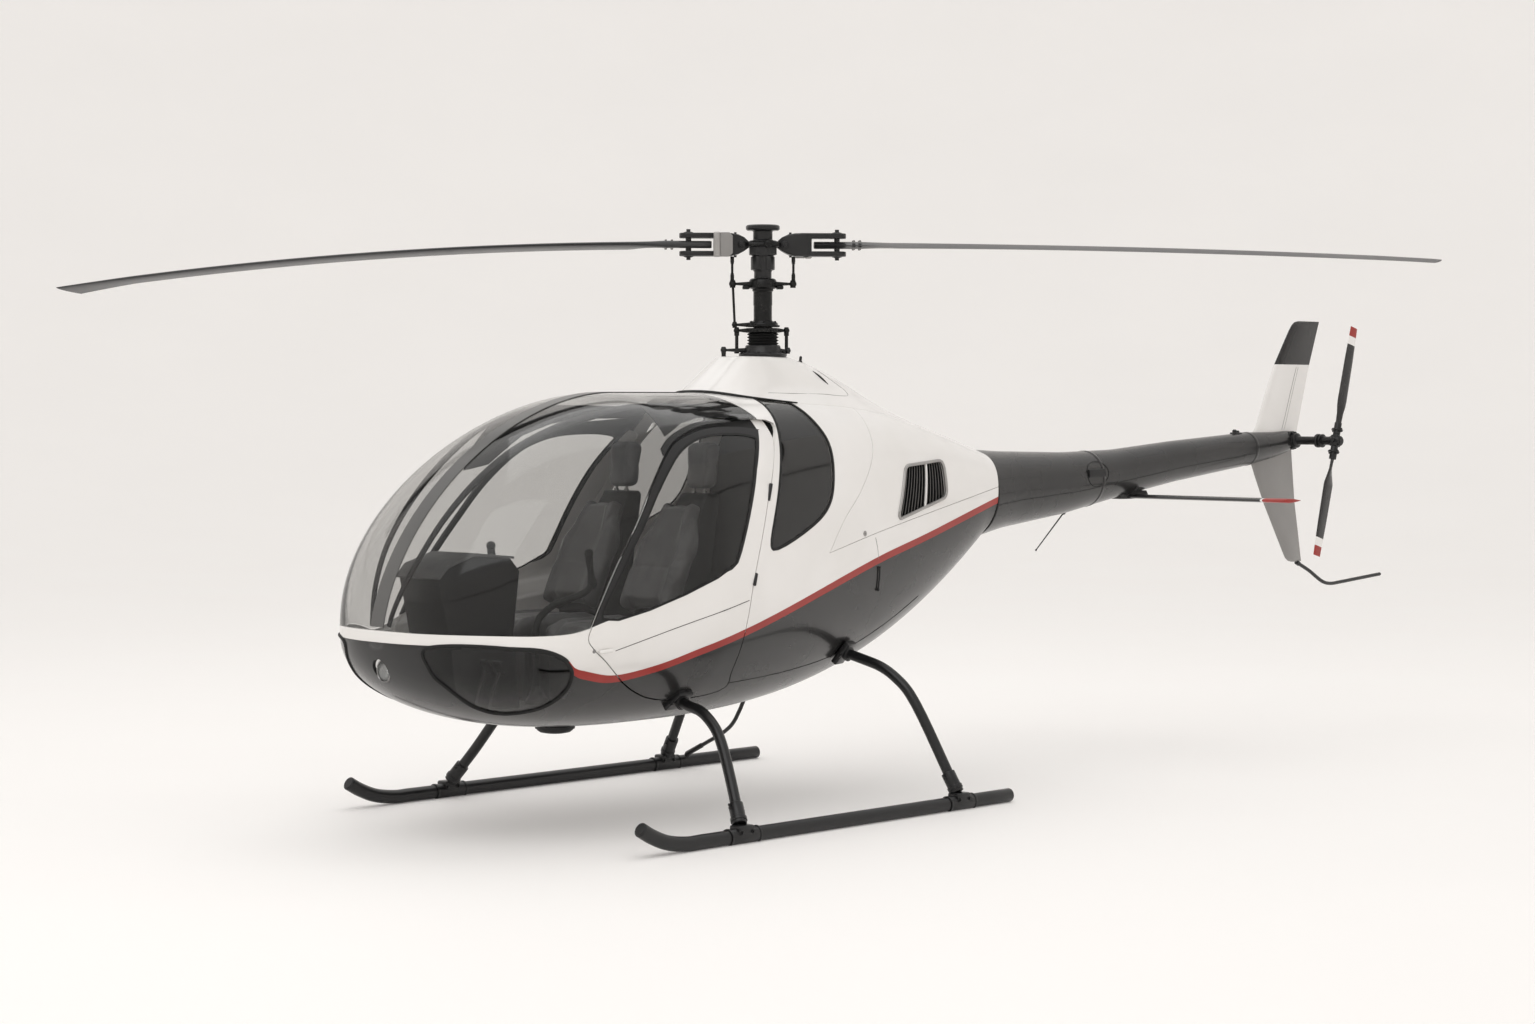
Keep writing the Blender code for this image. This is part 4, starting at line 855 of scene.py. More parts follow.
@dataclass(frozen=True)
class Lines:
    """The side outlines that the panels meet along, as (y, z)."""

    belt: Outline = ((-2.6, 0.950), (-2.18, 0.940), (-1.95, 0.932), (-1.80, 0.938), (-1.70, 0.958))
    stripe_front: Outline = ((-1.265, 0.750), (-1.52, 0.717), (-1.66, 0.737), (-1.77, 0.771),
                             (-1.82, 0.824), (-1.90, 0.863), (-2.0, 0.884), (-2.6, 0.895))
    stripe_rear: Outline = ((-1.03, 0.808), (-0.64, 0.902), (0.30, 1.153), (0.80, 1.259),
                            (1.27, 1.364), (1.60, 1.436))
    cowl: Outline = ((1.60, 1.50), (0.38, 1.306), (-0.10, 1.215), (0.03, 1.367), (0.195, 1.506),
                     (0.34, 1.673), (0.37, 1.745), (0.42, 2.2))
    hoop: Outline = ((-0.45, 2.2), (-0.45, 1.80))
    door_top: Outline = ((-0.75, 1.830), (-0.35, 1.830))
    leaf_top: Outline = ((-1.11, 1.734), (-0.97, 1.787), (-0.84, 1.812), (-0.66, 1.820),
                         (-0.54, 1.813), (-0.44, 1.794), (-0.415, 1.762))
    door_rear: Outline = ((-0.43, 1.720), (-0.52, 1.557), (-0.565, 1.475), (-0.667, 1.217),
                          (-0.710, 1.086), (-0.737, 0.950), (-0.742, 0.820), (-0.730, 0.690),
                          (-0.69, 0.612))
    door_foot: Outline = ((-1.0, 0.575), (-1.2, 0.600), (-1.33, 0.640), (-1.45, 0.695), (-1.52, 0.740))
    door_front: Outline = ((-1.62, 0.810), (-1.69, 0.860), (-1.727, 0.905), (-1.70, 0.975),
                           (-1.575, 1.190), (-1.404, 1.413), (-1.27, 1.586))
    opening_front: Outline = ((-1.11, 1.738), (-0.97, 1.795), (-0.86, 1.820))
    door_window: Outline = ((-1.650, 0.990), (-0.840, 1.192), (-0.80, 1.25), (-0.71, 1.438),
                            (-0.62, 1.618), (-0.548, 1.735), (-0.535, 1.762), (-0.60, 1.780),
                            (-0.75, 1.785), (-0.88, 1.776), (-0.97, 1.755), (-1.09, 1.700),
                            (-1.245, 1.560), (-1.38, 1.392), (-1.55, 1.170))
    rear_window: Outline = ((-0.551, 1.253), (-0.177, 1.379), (-0.075, 1.461), (-0.025, 1.578),
                            (-0.001, 1.735), (-0.039, 1.840), (-0.091, 1.926), (-0.115, 1.948),
                            (-0.295, 1.948), (-0.301, 1.917), (-0.325, 1.842), (-0.376, 1.730),
                            (-0.465, 1.537), (-0.566, 1.272))
    chin: Outline = ((-2.317, 0.880), (-2.003, 0.872), (-1.90, 0.850), (-1.829, 0.815),
                     (-1.775, 0.760), (-1.755, 0.680), (-1.789, 0.600), (-1.896, 0.571),
                     (-2.058, 0.612), (-2.218, 0.707), (-2.29, 0.779))
    grille: Outline = ((0.505, 1.350), (0.98, 1.450), (0.98, 1.637), (0.61, 1.614))
    door_gap: float = 0.0054

    @cached_property
    def opening(self) -> list[Vector]:
        """The door opening in the hull."""
        return curve(self.door_top + self.door_rear + self.door_foot + self.door_front
                     + self.opening_front, 5, True)

    @cached_property
    def leaf(self) -> list[Vector]:
        """The door's own edge, before half of the gap is taken off."""
        return curve(self.leaf_top + self.door_rear + self.door_foot + self.door_front, 5, True)

    @cached_property
    def stripe(self) -> list[Vector]:
        """The middle of the red stripe, from its front tip to the tail."""
        return curve(self.stripe_front[::-1][3:] + self.stripe_rear, 6)

    @cached_property
    def white_door(self) -> list[Vector]:
        """The white part of a door: under the sill, over the stripe and behind the window."""
        sill = [(-1.80, 0.940), (-1.72, 0.955), (-1.66, 0.972), (-0.86, 1.172), (-0.815, 1.20),
                (-0.785, 1.25), (-0.695, 1.438), (-0.605, 1.618), (-0.53, 1.735), (-0.49, 1.80)]
        below = [(-0.2, 1.90), (-0.2, 1.02)]
        return [Vector(p) for p in sill + below] + curve(
            (self.stripe_front[::-1] + self.stripe_rear)[2:11], 6)[::-1]


LINES = Lines()


def side_prism(points: Sequence[Sequence[float]], side: Side, near: float = 0.12, far: float = 1.0) -> BMesh:
    """A side outline drawn outwards on one side only."""
    return prism(points, *sorted((side.value * near, side.value * far)))


@dataclass
class Cabin:
    """The hull's painted walls, its glazing, doors and trim."""

    glass: float = 0.005
    proud: float = 0.0012
    film: float = 0.0008
    stripe_half: float = 0.0172
    gasket: float = 0.014
    bead: float = 0.0085
    lamp: tuple[float, float] = (0.052, 0.768)

    def openings(self) -> list[BMesh]:
        """Both door openings as solids."""
        return [side_prism(grown(LINES.opening, LINES.door_gap / 2.0), side) for side in Side]

    def holes(self, points: Sequence[Sequence[float]], near: float = 0.12) -> list[BMesh]:
        """The same hole on both sides."""
        return [side_prism(points, side, near) for side in Side]

    def lamp_hole(self, radius: float) -> BMesh:
        """The headlamp's round opening through the nose."""
        return moved(turned(((0.0, -0.2), (radius, -0.2), (radius, 0.2), (0.0, 0.2)), 48),
                     (0.0, HULL.nose[0] + 0.06, self.lamp[1]), (0.0, -1.0, 0.0))

    def walls(self) -> None:
        """The painted walls, each with its windows and doors cut."""
        belt = [*curve(LINES.belt, 6), Vector((-1.3, 1.06)), *curve(LINES.stripe_front, 6)]
        HULL.panel("nose_belt_shell", prism(grown(belt, -SEAM), -1.0, 1.0), WHITE_GELCOAT,
                   Body.FUSELAGE, ["nose_belt"], holes=self.openings())
        lower = [*curve(LINES.stripe_front[::-1] + LINES.stripe_rear, 6), Vector((1.60, 0.2)),
                 Vector((-2.6, 0.2))]
        HULL.panel("lower_hull_shell", prism(grown(lower, -0.0004), -1.0, 1.0), GRAPHITE_GELCOAT,
                   Body.FUSELAGE, ["hull_lower"], extra=[MOULDED_TRIM, GRAPHITE_GELCOAT],
                   holes=[*self.openings(), *self.holes(curve(LINES.chin, 6, True), 0.06),
                          self.lamp_hole(self.lamp[0])])
        shell = [*LINES.hoop, (-1.0, 1.70), *curve(LINES.stripe_rear, 6), *curve(LINES.cowl[:3], 4),
                 *curve(LINES.cowl[2:], 8)[1:]]
        HULL.panel("cabin_wall_shell", prism(grown(shell, -SEAM), -1.0, 1.0), WHITE_GELCOAT,
                   Body.FUSELAGE, ["cabin_shell"], extra=[MOULDED_TRIM, WHITE_GELCOAT],
                   holes=[*self.openings(), *self.holes(curve(LINES.rear_window, 5, True))])
        cowl = [*curve(LINES.cowl[:3], 4), *curve(LINES.cowl[2:], 8)[1:], Vector((1.60, 2.2))]
        HULL.panel("engine_cowl_shell", prism(grown(cowl, -SEAM), -1.0, 1.0), WHITE_GELCOAT,
                   Body.FUSELAGE, ["engine_cowl"], extra=[MOULDED_TRIM, WHITE_GELCOAT],
                   holes=self.holes(self.soft_corners(LINES.grille, 0.035)))

    @staticmethod
    def soft_corners(points: Outline, radius: float) -> list[Vector]:
        """Round a few-cornered outline's corners by short curves."""
        ring = [Vector(point) for point in points]
        made = []
        for i, here in enumerate(ring):
            for other, order in ((ring[i - 1], 0), (ring[(i + 1) % len(ring)], 1)):
                away = (other - here).normalized() * radius
                if order == 0:
                    start = here + away
                else:
                    end = here + away
            for step in range(7):
                part = step / 6.0
                made.append(start.lerp(here, part).lerp(here.lerp(end, part), part))
        return made

    def glazing(self) -> None:
        """The bubble and the fixed windows."""
        screen = [*curve(LINES.belt, 6), Vector((-1.0, 1.13)), Vector((-1.0, 1.70)),
                  *[Vector(p) for p in LINES.hoop[::-1]], Vector((-2.6, 2.2))]
        HULL.panel("bubble_screen", prism(grown(screen, -SEAM), -1.0, 1.0), CLEAR_ACRYLIC,
                   Body.FUSELAGE, ["windscreen"], inner=self.glass, holes=self.openings())
        for side in Side:
            for name, line, near, finish in (("chin_window", LINES.chin, 0.06, CLEAR_ACRYLIC),
                                             ("rear_window", LINES.rear_window, 0.12, SMOKED_ACRYLIC)):
                shape = curve(line, 6, True)
                HULL.panel("%s_%s_pane" % (name, side.word), side_prism(grown(shape, -0.001), side, near),
                           finish, Body.FUSELAGE, ["%s_%s" % (name, side.word)], outer=0.002,
                           inner=0.002 + self.glass)
                if name == "chin_window":
                    edge = spaced([self.on_hull(side, p.x, p.y, -0.001) for p in curve(line, 12, True)], 150, True)
                    finished("%s_%s_gasket" % (name, side.word), tube(edge + edge[:1], self.bead, 12), RUBBER,
                             Body.FUSELAGE, smooth=60.0)
                    continue
                HULL.panel("%s_%s_gasket" % (name, side.word), side_prism(grown(shape, self.gasket * 0.6), side, near),
                           RUBBER, Body.FUSELAGE, outer=-self.proud, inner=self.glass,
                           holes=[side_prism(grown(shape, -self.gasket * 0.4), side, near - 0.03)])

    def doors(self) -> None:
        """Both doors: white, graphite and black parts of the leaf, glass, stripe and fittings."""
        for side in Side:
            body = side.door
            leaf = grown(LINES.leaf, -LINES.door_gap / 2.0)
            window = curve(LINES.door_window, 5, True)
            white = side_prism(LINES.white_door, side)
            name = "door_%s" % side.word
            inner = HULL.wall + 0.002
            HULL.panel(name + "_white", side_prism(leaf, side), WHITE_GELCOAT, body, [name], inner=inner,
                       holes=[side_prism(window, side)], within=white, extra=[MOULDED_TRIM, MOULDED_TRIM])
            stripe = curve((LINES.stripe_front[::-1] + LINES.stripe_rear)[2:11], 6)
            below = [*stripe, Vector((-0.2, 0.3)), Vector((-2.2, 0.3))]
            HULL.panel(name + "_graphite", side_prism(leaf, side), GRAPHITE_GELCOAT, body, inner=inner,
                       within=side_prism(below, side), extra=[MOULDED_TRIM, MOULDED_TRIM])
            above = [Vector((-2.2, 0.93)), *[p for p in LINES.white_door[:10]], Vector((-0.3, 1.82)),
                     Vector((-0.3, 2.2)), Vector((-2.2, 2.2))]
            HULL.panel(name + "_frame", side_prism(leaf, side), MOULDED_TRIM, body, inner=inner,
                       holes=[side_prism(window, side)], within=side_prism(above, side))
            HULL.panel(name + "_pane", side_prism(grown(window, -0.0005), side), CLEAR_ACRYLIC, body,
                       ["door_glass_" + side.word], outer=0.0015, inner=0.0015 + self.glass)
            HULL.panel(name + "_gasket", side_prism(grown(window, 0.004), side), RUBBER, body,
                       outer=-0.0006, inner=0.004,
                       holes=[side_prism(grown(window, -0.006), side, 0.1)])
            # A thin black line along the door's pressed crease: painted shade standing in for the shadow in the crease
            crease = [self.on_hull(side, p.x, p.y, 0.0) for p in
                      curve([Vector(q) for q in ((-1.566, 0.848), (-1.193, 0.932), (-0.739, 1.026))], 8)]
            finished(name + "_crease", tube(crease, 0.0016, 8), RUBBER, body)
            for word, front, rear, finish in (("front", -1.16, -0.468, RUBBER), ("rear", -0.468, -0.385, WHITE_GELCOAT)):
                top = block((side.value * 0.42 - 0.30, front, 1.69), (side.value * 0.42 + 0.30, rear, 2.0))
                HULL.panel("door_seal_%s_%s" % (word, side.word), side_prism(grown(LINES.opening, 0.014), side),
                           finish, Body.FUSELAGE, outer=0.0190, inner=0.0270, within=top,
                           holes=[side_prism(grown(LINES.leaf, -0.010), side, 0.1)])
            self.door_fittings(side)

    def door_fittings(self, side: Side) -> None:
        """The handle, its lock and the two hinge covers of a door."""
        body = side.door
        start = self.on_hull(side, -1.668, 0.851, 0.010)
        end = self.on_hull(side, -1.592, 0.855, 0.010)
        grip = tube(spaced([start, end], 6), 0.0085, 20, 0.006)
        seat = [tube([self.on_hull(side, y, 0.853, -0.002), self.on_hull(side, y, 0.853, 0.010)], 0.007, 16)
                for y in (-1.655, -1.605)]
        finished("door_handle_" + side.word, joined(grip, *seat), WHITE_GELCOAT, body)
        lock = moved(turned(((0.0, 0.0), (0.009, 0.0), (0.008, 0.002), (0.0, 0.002)), 24),
                     self.on_hull(side, -1.690, 0.853, 0.0), HULL.normal(self.on_hull(side, -1.69, 0.853)))
        finished("door_lock_" + side.word, lock, BRIGHT_STEEL, body)
        covers = []
        ends = [self.on_hull(side, y, z) for y, z in ((-0.545, 1.515), (-0.694, 1.120))]
        along = (ends[0] - ends[1]).normalized()
        for centre, length in zip(ends, (0.085, 0.060)):
            covers.append(tube([centre - along * length / 2.0, centre + along * length / 2.0], 0.009, 20, 0.004))
        finished("door_hinges_" + side.word, joined(*covers), BLACK_ENAMEL, body)

    @staticmethod
    def on_hull(side: Side, y: float, z: float, out: float = 0.0) -> Vector:
        """A place on the side of the hull, moved straight out of it."""
        place = Vector((side.value * HULL.x_at(y, z), y, z))
        return place + HULL.normal(place) * out

    def roof_edge(self) -> None:
        """The white crescent that carries the hoop forward over the roof, and the cabin's floor."""
        half = [(0.0, -0.575), (0.08, -0.571), (0.18, -0.553), (0.28, -0.520), (0.36, -0.478), (0.405, -0.4485)]
        outline = [(-x, y) for x, y in half[:0:-1]] + half
        HULL.panel("hoop_crescent", slab(outline, 1.6, 2.2), WHITE_GELCOAT, Body.FUSELAGE, outer=-self.proud,
                   inner=0.003)
        base = guide("base", block((-0.60, -2.05, 0.537), (0.60, 0.098, 0.559)), 0)
        mesh = carved(base, [("INTERSECT", HULL.form(0.0170))])
        bpy.data.objects.remove(base)
        for face in mesh.polygons:
            face.material_index = 0
        dressed("cabin_floor_carpet", mesh, CARPET, Body.FUSELAGE, ["cabin_floor"])

    def cowl_fittings(self) -> None:
        """The cowl's vertical seam, its latch and the short drain rod under it."""
        for side in Side:
            seam = [self.on_hull(side, y, z) for y, z in ((0.300, 1.272), (0.318, 1.22), (0.330, 1.165))]
            finished("cowl_seam_" + side.word, tube(curve(seam, 6), 0.0015, 8), FIN_GREY, Body.FUSELAGE)
            rod = [self.on_hull(side, y, z, 0.006) for y, z in ((0.337, 1.125), (0.344, 1.07), (0.350, 1.015))]
            forms = [tube(curve(rod, 4), 0.0042, 12), ball(rod[-1], 0.008, 12), ball(rod[0], 0.006, 12)]
            finished("cowl_drain_" + side.word, joined(*forms), BLACK_ENAMEL, Body.FUSELAGE)
            place = self.on_hull(side, 0.205, 1.295)
            finished("cowl_latch_" + side.word, joined(disc(place, HULL.normal(place), 0.014, 0.003, 0.001, 24),
                                                       bolt(place, HULL.normal(place), 0.005)), GREY_ANODISED,
                     Body.FUSELAGE)

    def headliner(self) -> None:
        """The dark lining under the roof's edge over each door, and the seam along the belly."""
        over = ((-1.50, 1.60), (-1.27, 1.640), (-1.12, 1.775), (-0.98, 1.832), (-0.85, 1.856), (-0.455, 1.856),
                (-0.455, 2.2), (-1.50, 2.2))
        front = {Side.PORT: -1.12, Side.STARBOARD: -1.42}
        seam = ((-0.70, 0.632), (-0.45, 0.640), (-0.20, 0.655), (0.10, 0.690), (0.35, 0.750), (0.60, 0.840),
                (0.84, 0.95))
        for side in Side:
            low, high = sorted((side.value * 0.335, side.value * 0.72))
            HULL.panel("headliner_" + side.word, block((low, front[side], 1.50), (high, -0.455, 2.2)), MOULDED_TRIM,
                       Body.FUSELAGE, outer=0.0070, inner=0.0110, within=prism(over, -1.0, 1.0))
            path = [self.on_hull(side, p.x, p.y, 0.0) for p in curve([Vector(q) for q in seam], 8)]
            finished("belly_seam_" + side.word, tube(path, 0.0017, 8), RUBBER, Body.FUSELAGE)

    def stripes(self) -> None:
        """The red stripe on the hull and on each door, pointed at its front."""
        middle = LINES.stripe
        upper = []
        lower = []
        for i, here in enumerate(middle):
            along = (middle[min(i + 1, len(middle) - 1)] - middle[max(i - 1, 0)]).normalized()
            half = self.stripe_half * min(i / 9.0, 1.0)
            upper.append(here + Vector((-along.y, along.x)) * half)
            lower.append(here - Vector((-along.y, along.x)) * half)
        band = upper[1:] + lower[:0:-1]
        leaf = grown(LINES.leaf, -LINES.door_gap / 2.0)
        for side in Side:
            HULL.panel("red_stripe_" + side.word, side_prism(band, side), RED_FILM, Body.FUSELAGE,
                       outer=-self.film, inner=0.002,
                       holes=[side_prism(grown(LINES.opening, LINES.door_gap / 2.0), side, 0.1)])
            HULL.panel("red_stripe_door_" + side.word, side_prism(band, side), RED_FILM, side.door,
                       outer=-self.film, inner=0.002, within=side_prism(leaf, side))

    def trim(self) -> None:
        """The windscreen's centre strip and the headlamp."""
        strip = ((-2.6, 0.96), (-1.0, 0.96), (-0.46, 1.80), (-0.46, 2.2), (-2.6, 2.2))
        HULL.panel("screen_centre_strip", prism(strip, -0.045, 0.045), STRIP_GREY, Body.FUSELAGE,
                   ["windscreen_strip"], outer=-0.004, inner=0.0008)
        radius, height = self.lamp
        place = Vector((0.0, HULL.nose[0] + 0.045, height))
        lens = turned(((0.0, 0.012), (radius * 0.5, 0.010), (radius * 0.8, 0.004), (radius * 0.86, 0.0),
                       (radius * 0.86, -0.006), (0.0, -0.006)), 48)
        finished("headlamp_lens", moved(lens, place, (0.0, -1.0, 0.0)), LAMP_GLASS, Body.FUSELAGE,
                 ["headlight"])
        ring = turned(((radius * 0.84, -0.03), (radius * 0.98, -0.03), (radius * 0.98, 0.004),
                       (radius * 0.92, 0.008), (radius * 0.85, 0.004)), 48, True)
        finished("headlamp_ring", moved(ring, place, (0.0, -1.0, 0.0)), BRIGHT_STEEL, Body.FUSELAGE)
        bowl = turned(((0.0, -0.045), (radius * 0.4, -0.038), (radius * 0.7, -0.02), (radius * 0.83, -0.008),
                       (radius * 0.83, -0.012), (radius * 0.5, -0.05), (0.0, -0.055)), 48)
        finished("headlamp_bowl", moved(bowl, place, (0.0, -1.0, 0.0)), GREY_ANODISED, Body.FUSELAGE)

    def build(self) -> None:
        """Make the whole cabin's outside."""
        self.walls()
        self.glazing()
        self.doors()
        self.headliner()
        self.roof_edge()
        self.cowl_fittings()
        self.stripes()
        self.trim()


def smooth(part: float) -> float:
    """Ease from zero to one."""
    part = min(max(part, 0.0), 1.0)
    return part * part * (3.0 - 2.0 * part)


def puffed(form: BMesh, voxel: float, cap: float, shape: Callable[[Vector], Vector]) -> BMesh:
    """Shape a pad and fill it by a short cloth simulation.

    Args:
        form: The pad's plain form, which is used up.
        voxel: The size of its remeshed faces.
        cap: How far a point may swell.
        shape: Moves each point of the plain pad before it is filled.

    Returns:
        The swollen pad.
    """
    mesh = bpy.data.meshes.new("pad")
    form.to_mesh(mesh)
    form.free()
    item = bpy.data.objects.new("pad", mesh)
    bpy.context.scene.collection.objects.link(item)
    skin = item.modifiers.new("skin", "REMESH")
    skin.mode = "VOXEL"
    skin.voxel_size = voxel
    graph = bpy.context.evaluated_depsgraph_get()
    plain = bpy.data.meshes.new_from_object(item.evaluated_get(graph))
    item.modifiers.clear()
    for vert in plain.vertices:
        vert.co = shape(vert.co)
    item.data = plain
    made = bmesh.new()
    made.from_mesh(plain)
    cloth = item.modifiers.new("cloth", "CLOTH")
    cloth.settings.quality = 4
    cloth.settings.tension_stiffness = 30.0
    cloth.settings.compression_stiffness = 30.0
    cloth.settings.use_pressure = True
    cloth.settings.uniform_pressure_force = 4.0
    cloth.settings.effector_weights.gravity = 0.0
    for frame_number in range(1, 21):
        bpy.context.scene.frame_set(frame_number)
    graph = bpy.context.evaluated_depsgraph_get()
    swollen = bpy.data.meshes.new_from_object(item.evaluated_get(graph))
    made.verts.ensure_lookup_table()
    for vert, after in zip(made.verts, swollen.vertices):
        step = after.co - vert.co
        if step.length > cap:
            step *= cap / step.length
        vert.co += step
    bpy.context.scene.frame_set(1)
    bpy.data.objects.remove(item)
    bmesh.ops.smooth_vert(made, verts=made.verts, factor=0.5, use_axis_x=True, use_axis_y=True,
                          use_axis_z=True)
    return made


@dataclass
class Interior:
    """The seats, console, levers, pedals and rails behind the glass."""

    seat_x: float = 0.27
    voxel: float = 0.0065
    cap: float = 0.022
    back_lean: float = 25.0
    back_foot: tuple[float, float] = (-1.030, 0.924)
    back_reach: tuple[float, float] = (0.045, 0.592)
    back_half: float = 0.172
    back_thick: float = 0.060
    bolster: float = 0.108
    cushion_low: tuple[float, float, float] = (-0.190, -1.497, 0.862)
    cushion_high: tuple[float, float, float] = (0.190, -0.995, 0.918)
    head_low: tuple[float, float, float] = (-0.078, -0.716, 1.528)
    head_high: tuple[float, float, float] = (0.078, -0.616, 1.742)
    console: tuple[tuple[float, float], ...] = (
        (-2.13, 1.17), (-2.08, 1.215), (-1.93, 1.262), (-1.72, 1.240), (-1.665, 1.18),
        (-1.70, 0.90), (-1.665, 0.562), (-2.02, 0.562), (-2.06, 0.90))
    console_half: float = 0.138
    near_lever: tuple[tuple[float, float, float], ...] = (
        (0.02, -1.47, 0.562), (0.02, -1.47, 0.80), (0.02, -1.465, 0.93), (0.04, -1.40, 1.00),
        (0.075, -1.31, 1.035), (0.10, -1.24, 1.065), (0.10, -1.205, 1.10))
    near_grip: tuple[tuple[float, float, float], ...] = ((0.10, -1.205, 1.095), (0.10, -1.215, 1.16),
                                                         (0.10, -1.225, 1.225))
    far_lever: tuple[tuple[float, float, float], ...] = (
        (-0.05, -1.60, 0.562), (-0.05, -1.60, 0.72), (-0.07, -1.59, 0.82), (-0.16, -1.545, 0.93),
        (-0.20, -1.522, 1.00), (-0.20, -1.528, 1.10))
    far_grip: tuple[tuple[float, float, float], ...] = ((-0.20, -1.528, 1.10), (-0.20, -1.540, 1.19),
                                                        (-0.20, -1.552, 1.262))
    rail: tuple[tuple[float, float, float], ...] = (
        # across, along, half width
        (0.060, -2.338, 0.010), (0.095, -2.295, 0.012), (0.130, -2.22, 0.014), (0.150, -2.12, 0.016),
        (0.170, -1.98, 0.020), (0.200, -1.78, 0.026), (0.250, -1.58, 0.030), (0.295, -1.35, 0.030),
        (0.318, -1.10, 0.026), (0.32, -0.85, 0.022), (0.32, -0.60, 0.020), (0.32, -0.38, 0.020))

    def tilted(self, x: float, up: float, out: float) -> Vector:
        """A place on a seat back: across, up along the back and out towards the front."""
        lean = math.radians(self.back_lean)
        y, z = self.back_foot
        return Vector((x, y + up * math.sin(lean) - out * math.cos(lean),
                       z + up * math.cos(lean) + out * math.sin(lean)))

    def back_shape(self, co: Vector) -> Vector:
        """Give the plain back pad its bolsters, lumbar bulge and narrow shoulders."""
        shoulder = 1.0 - 0.42 * smooth((co.y - 0.34) / 0.26)
        side = smooth((abs(co.x) - 0.085) / 0.075)
        front = smooth((co.z + 0.01) / 0.03)
        lumbar = 0.010 * math.sin(math.pi * min(max(co.y / 0.45, 0.0), 1.0))
        return self.tilted(co.x * shoulder, co.y, co.z + front * (0.030 * side * shoulder + lumbar))

    def cushion_shape(self, co: Vector) -> Vector:
        """Give the plain cushion its bolsters and rolled front."""
        side = smooth((abs(co.x) - 0.115) / 0.065)
        top = smooth((co.z - 0.88) / 0.03)
        front = smooth((-1.36 - co.y) / 0.14)
        return Vector((co.x, co.y, co.z + top * (0.022 * side - 0.020 * front)))

    def pad(self, name: str, form: BMesh, side: Side, replaced: str, seams: Callable[[Vector], float],
            panel: Callable[[Vector], bool], node_name: str | None = None) -> None:
        """Make a pad's piece on one seat, with its pressed seams and two leathers: a black one lightened by painted
        light, and a lighter bolster leather that is partly a painted highlight.
        """
        box = [Vector(corner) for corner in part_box(node_name)] if node_name else None
        form.normal_update()
        for vert, depth in [(vert, seams(vert.co)) for vert in form.verts]:
            vert.co -= vert.normal * depth
        # Bolster faces take the second leather, whose light grey is partly a painted highlight
        for face in form.faces:
            face.material_index = 1 if panel(face.calc_center_median()) else 0
        bmesh.ops.translate(form, verts=form.verts, vec=(side.value * self.seat_x, 0.0, 0.0))
        if box:
            for vert in form.verts:
                vert.co.z = max(vert.co.z, box[0].z + 0.0004)
        # The first leather is lightened as painted light for the dim cabin
        item = finished(name, form, SEAT_HIDE_PAINTED_LIGHTER, Body.FUSELAGE, [replaced] if replaced else (), 180.0, (BOLSTER_PAINTED_HIGHLIGHT,))
        change = item.modifiers.new("soft", "SUBSURF")
        change.levels = 1
        change.render_levels = 1

    def seats(self) -> None:
        """Both seats: pads, hard shells and headrest posts."""
        low, high = self.back_reach
        thick = self.back_thick
        back = block((-self.back_half, low, -thick / 2.0), (self.back_half, high, thick / 2.0), 0.024, 4)
        back = puffed(back, self.voxel, self.cap, self.back_shape)
        cushion = block(self.cushion_low, self.cushion_high, 0.024, 4)
        cushion = puffed(cushion, self.voxel, self.cap, self.cushion_shape)
        head = puffed(block(self.head_low, self.head_high, 0.034, 4), self.voxel, 0.014,
                      lambda co: Vector((co.x * (0.90 + 0.6 * (co.z - 1.53)), co.y + 0.10 * (co.z - 1.65), co.z)))

        def back_seam(co: Vector) -> float:
            reach = abs(abs(co.x) - self.bolster)
            cross = abs((co.z - 1.20) - 0.4 * (co.y + 0.92))
            return 0.0055 * math.exp(-(reach / 0.006) ** 2) + (
                0.003 * math.exp(-(cross / 0.006) ** 2) if abs(co.x) < self.bolster else 0.0)

        def cushion_seam(co: Vector) -> float:
            reach = abs(abs(co.x) - 0.125)
            return 0.0055 * math.exp(-(reach / 0.006) ** 2) + 0.004 * math.exp(-((co.y + 1.385) / 0.006) ** 2)

        def head_seam(co: Vector) -> float:
            return 0.004 * math.exp(-((abs(co.x) - 0.058) / 0.005) ** 2)

        for side in Side:
            x, word = side.value * self.seat_x, side.word
            # Back and cushion bolsters are marked for the lighter leather with its painted highlight
            self.pad("seat_back_pad_" + word, back.copy(), side, "seat_back_" + word, back_seam,
                     lambda co: abs(co.x) > self.bolster)
            self.pad("seat_cushion_pad_" + word, cushion.copy(), side, "seat_cushion_" + word,
                     cushion_seam, lambda co: abs(co.x) > 0.125, "seat_cushion_" + word)
            self.pad("headrest_pad_" + word, head.copy(), side, "", head_seam, lambda co: False)
            outline = [(-0.985, 0.947), (-0.9597, 0.945), (-0.9597, 0.842), (-0.80, 0.842), (-0.638, 1.49),
                       (-0.650, 1.508), (-0.725, 1.508), (-0.757, 1.46)]
            shell = prism(outline, x - 0.150, x + 0.150)
            for vert in shell.verts:
                if vert.co.z > 1.4:
                    vert.co.x = x + (vert.co.x - x) * 0.60
            rounded(shell, 0.012, 3)
            finished("seat_shell_" + word, shell, MOULDED_TRIM, Body.FUSELAGE)
            posts = [tube(((x + dx, -0.700, 1.470), (x + dx, -0.672, 1.600)), 0.0065, 16)
                     for dx in (-0.036, 0.036)]
            posts += [disc((x + dx, -0.692, 1.506), (0.0, 0.2, 1.0), 0.012, 0.012, 0.002, 20)
                      for dx in (-0.036, 0.036)]
            finished("headrest_posts_" + word, joined(*posts), BRIGHT_STEEL, Body.FUSELAGE)
            repaint("seat_base_" + word, MOULDED_TRIM)
        for form in (back, cushion, head):
            form.free()

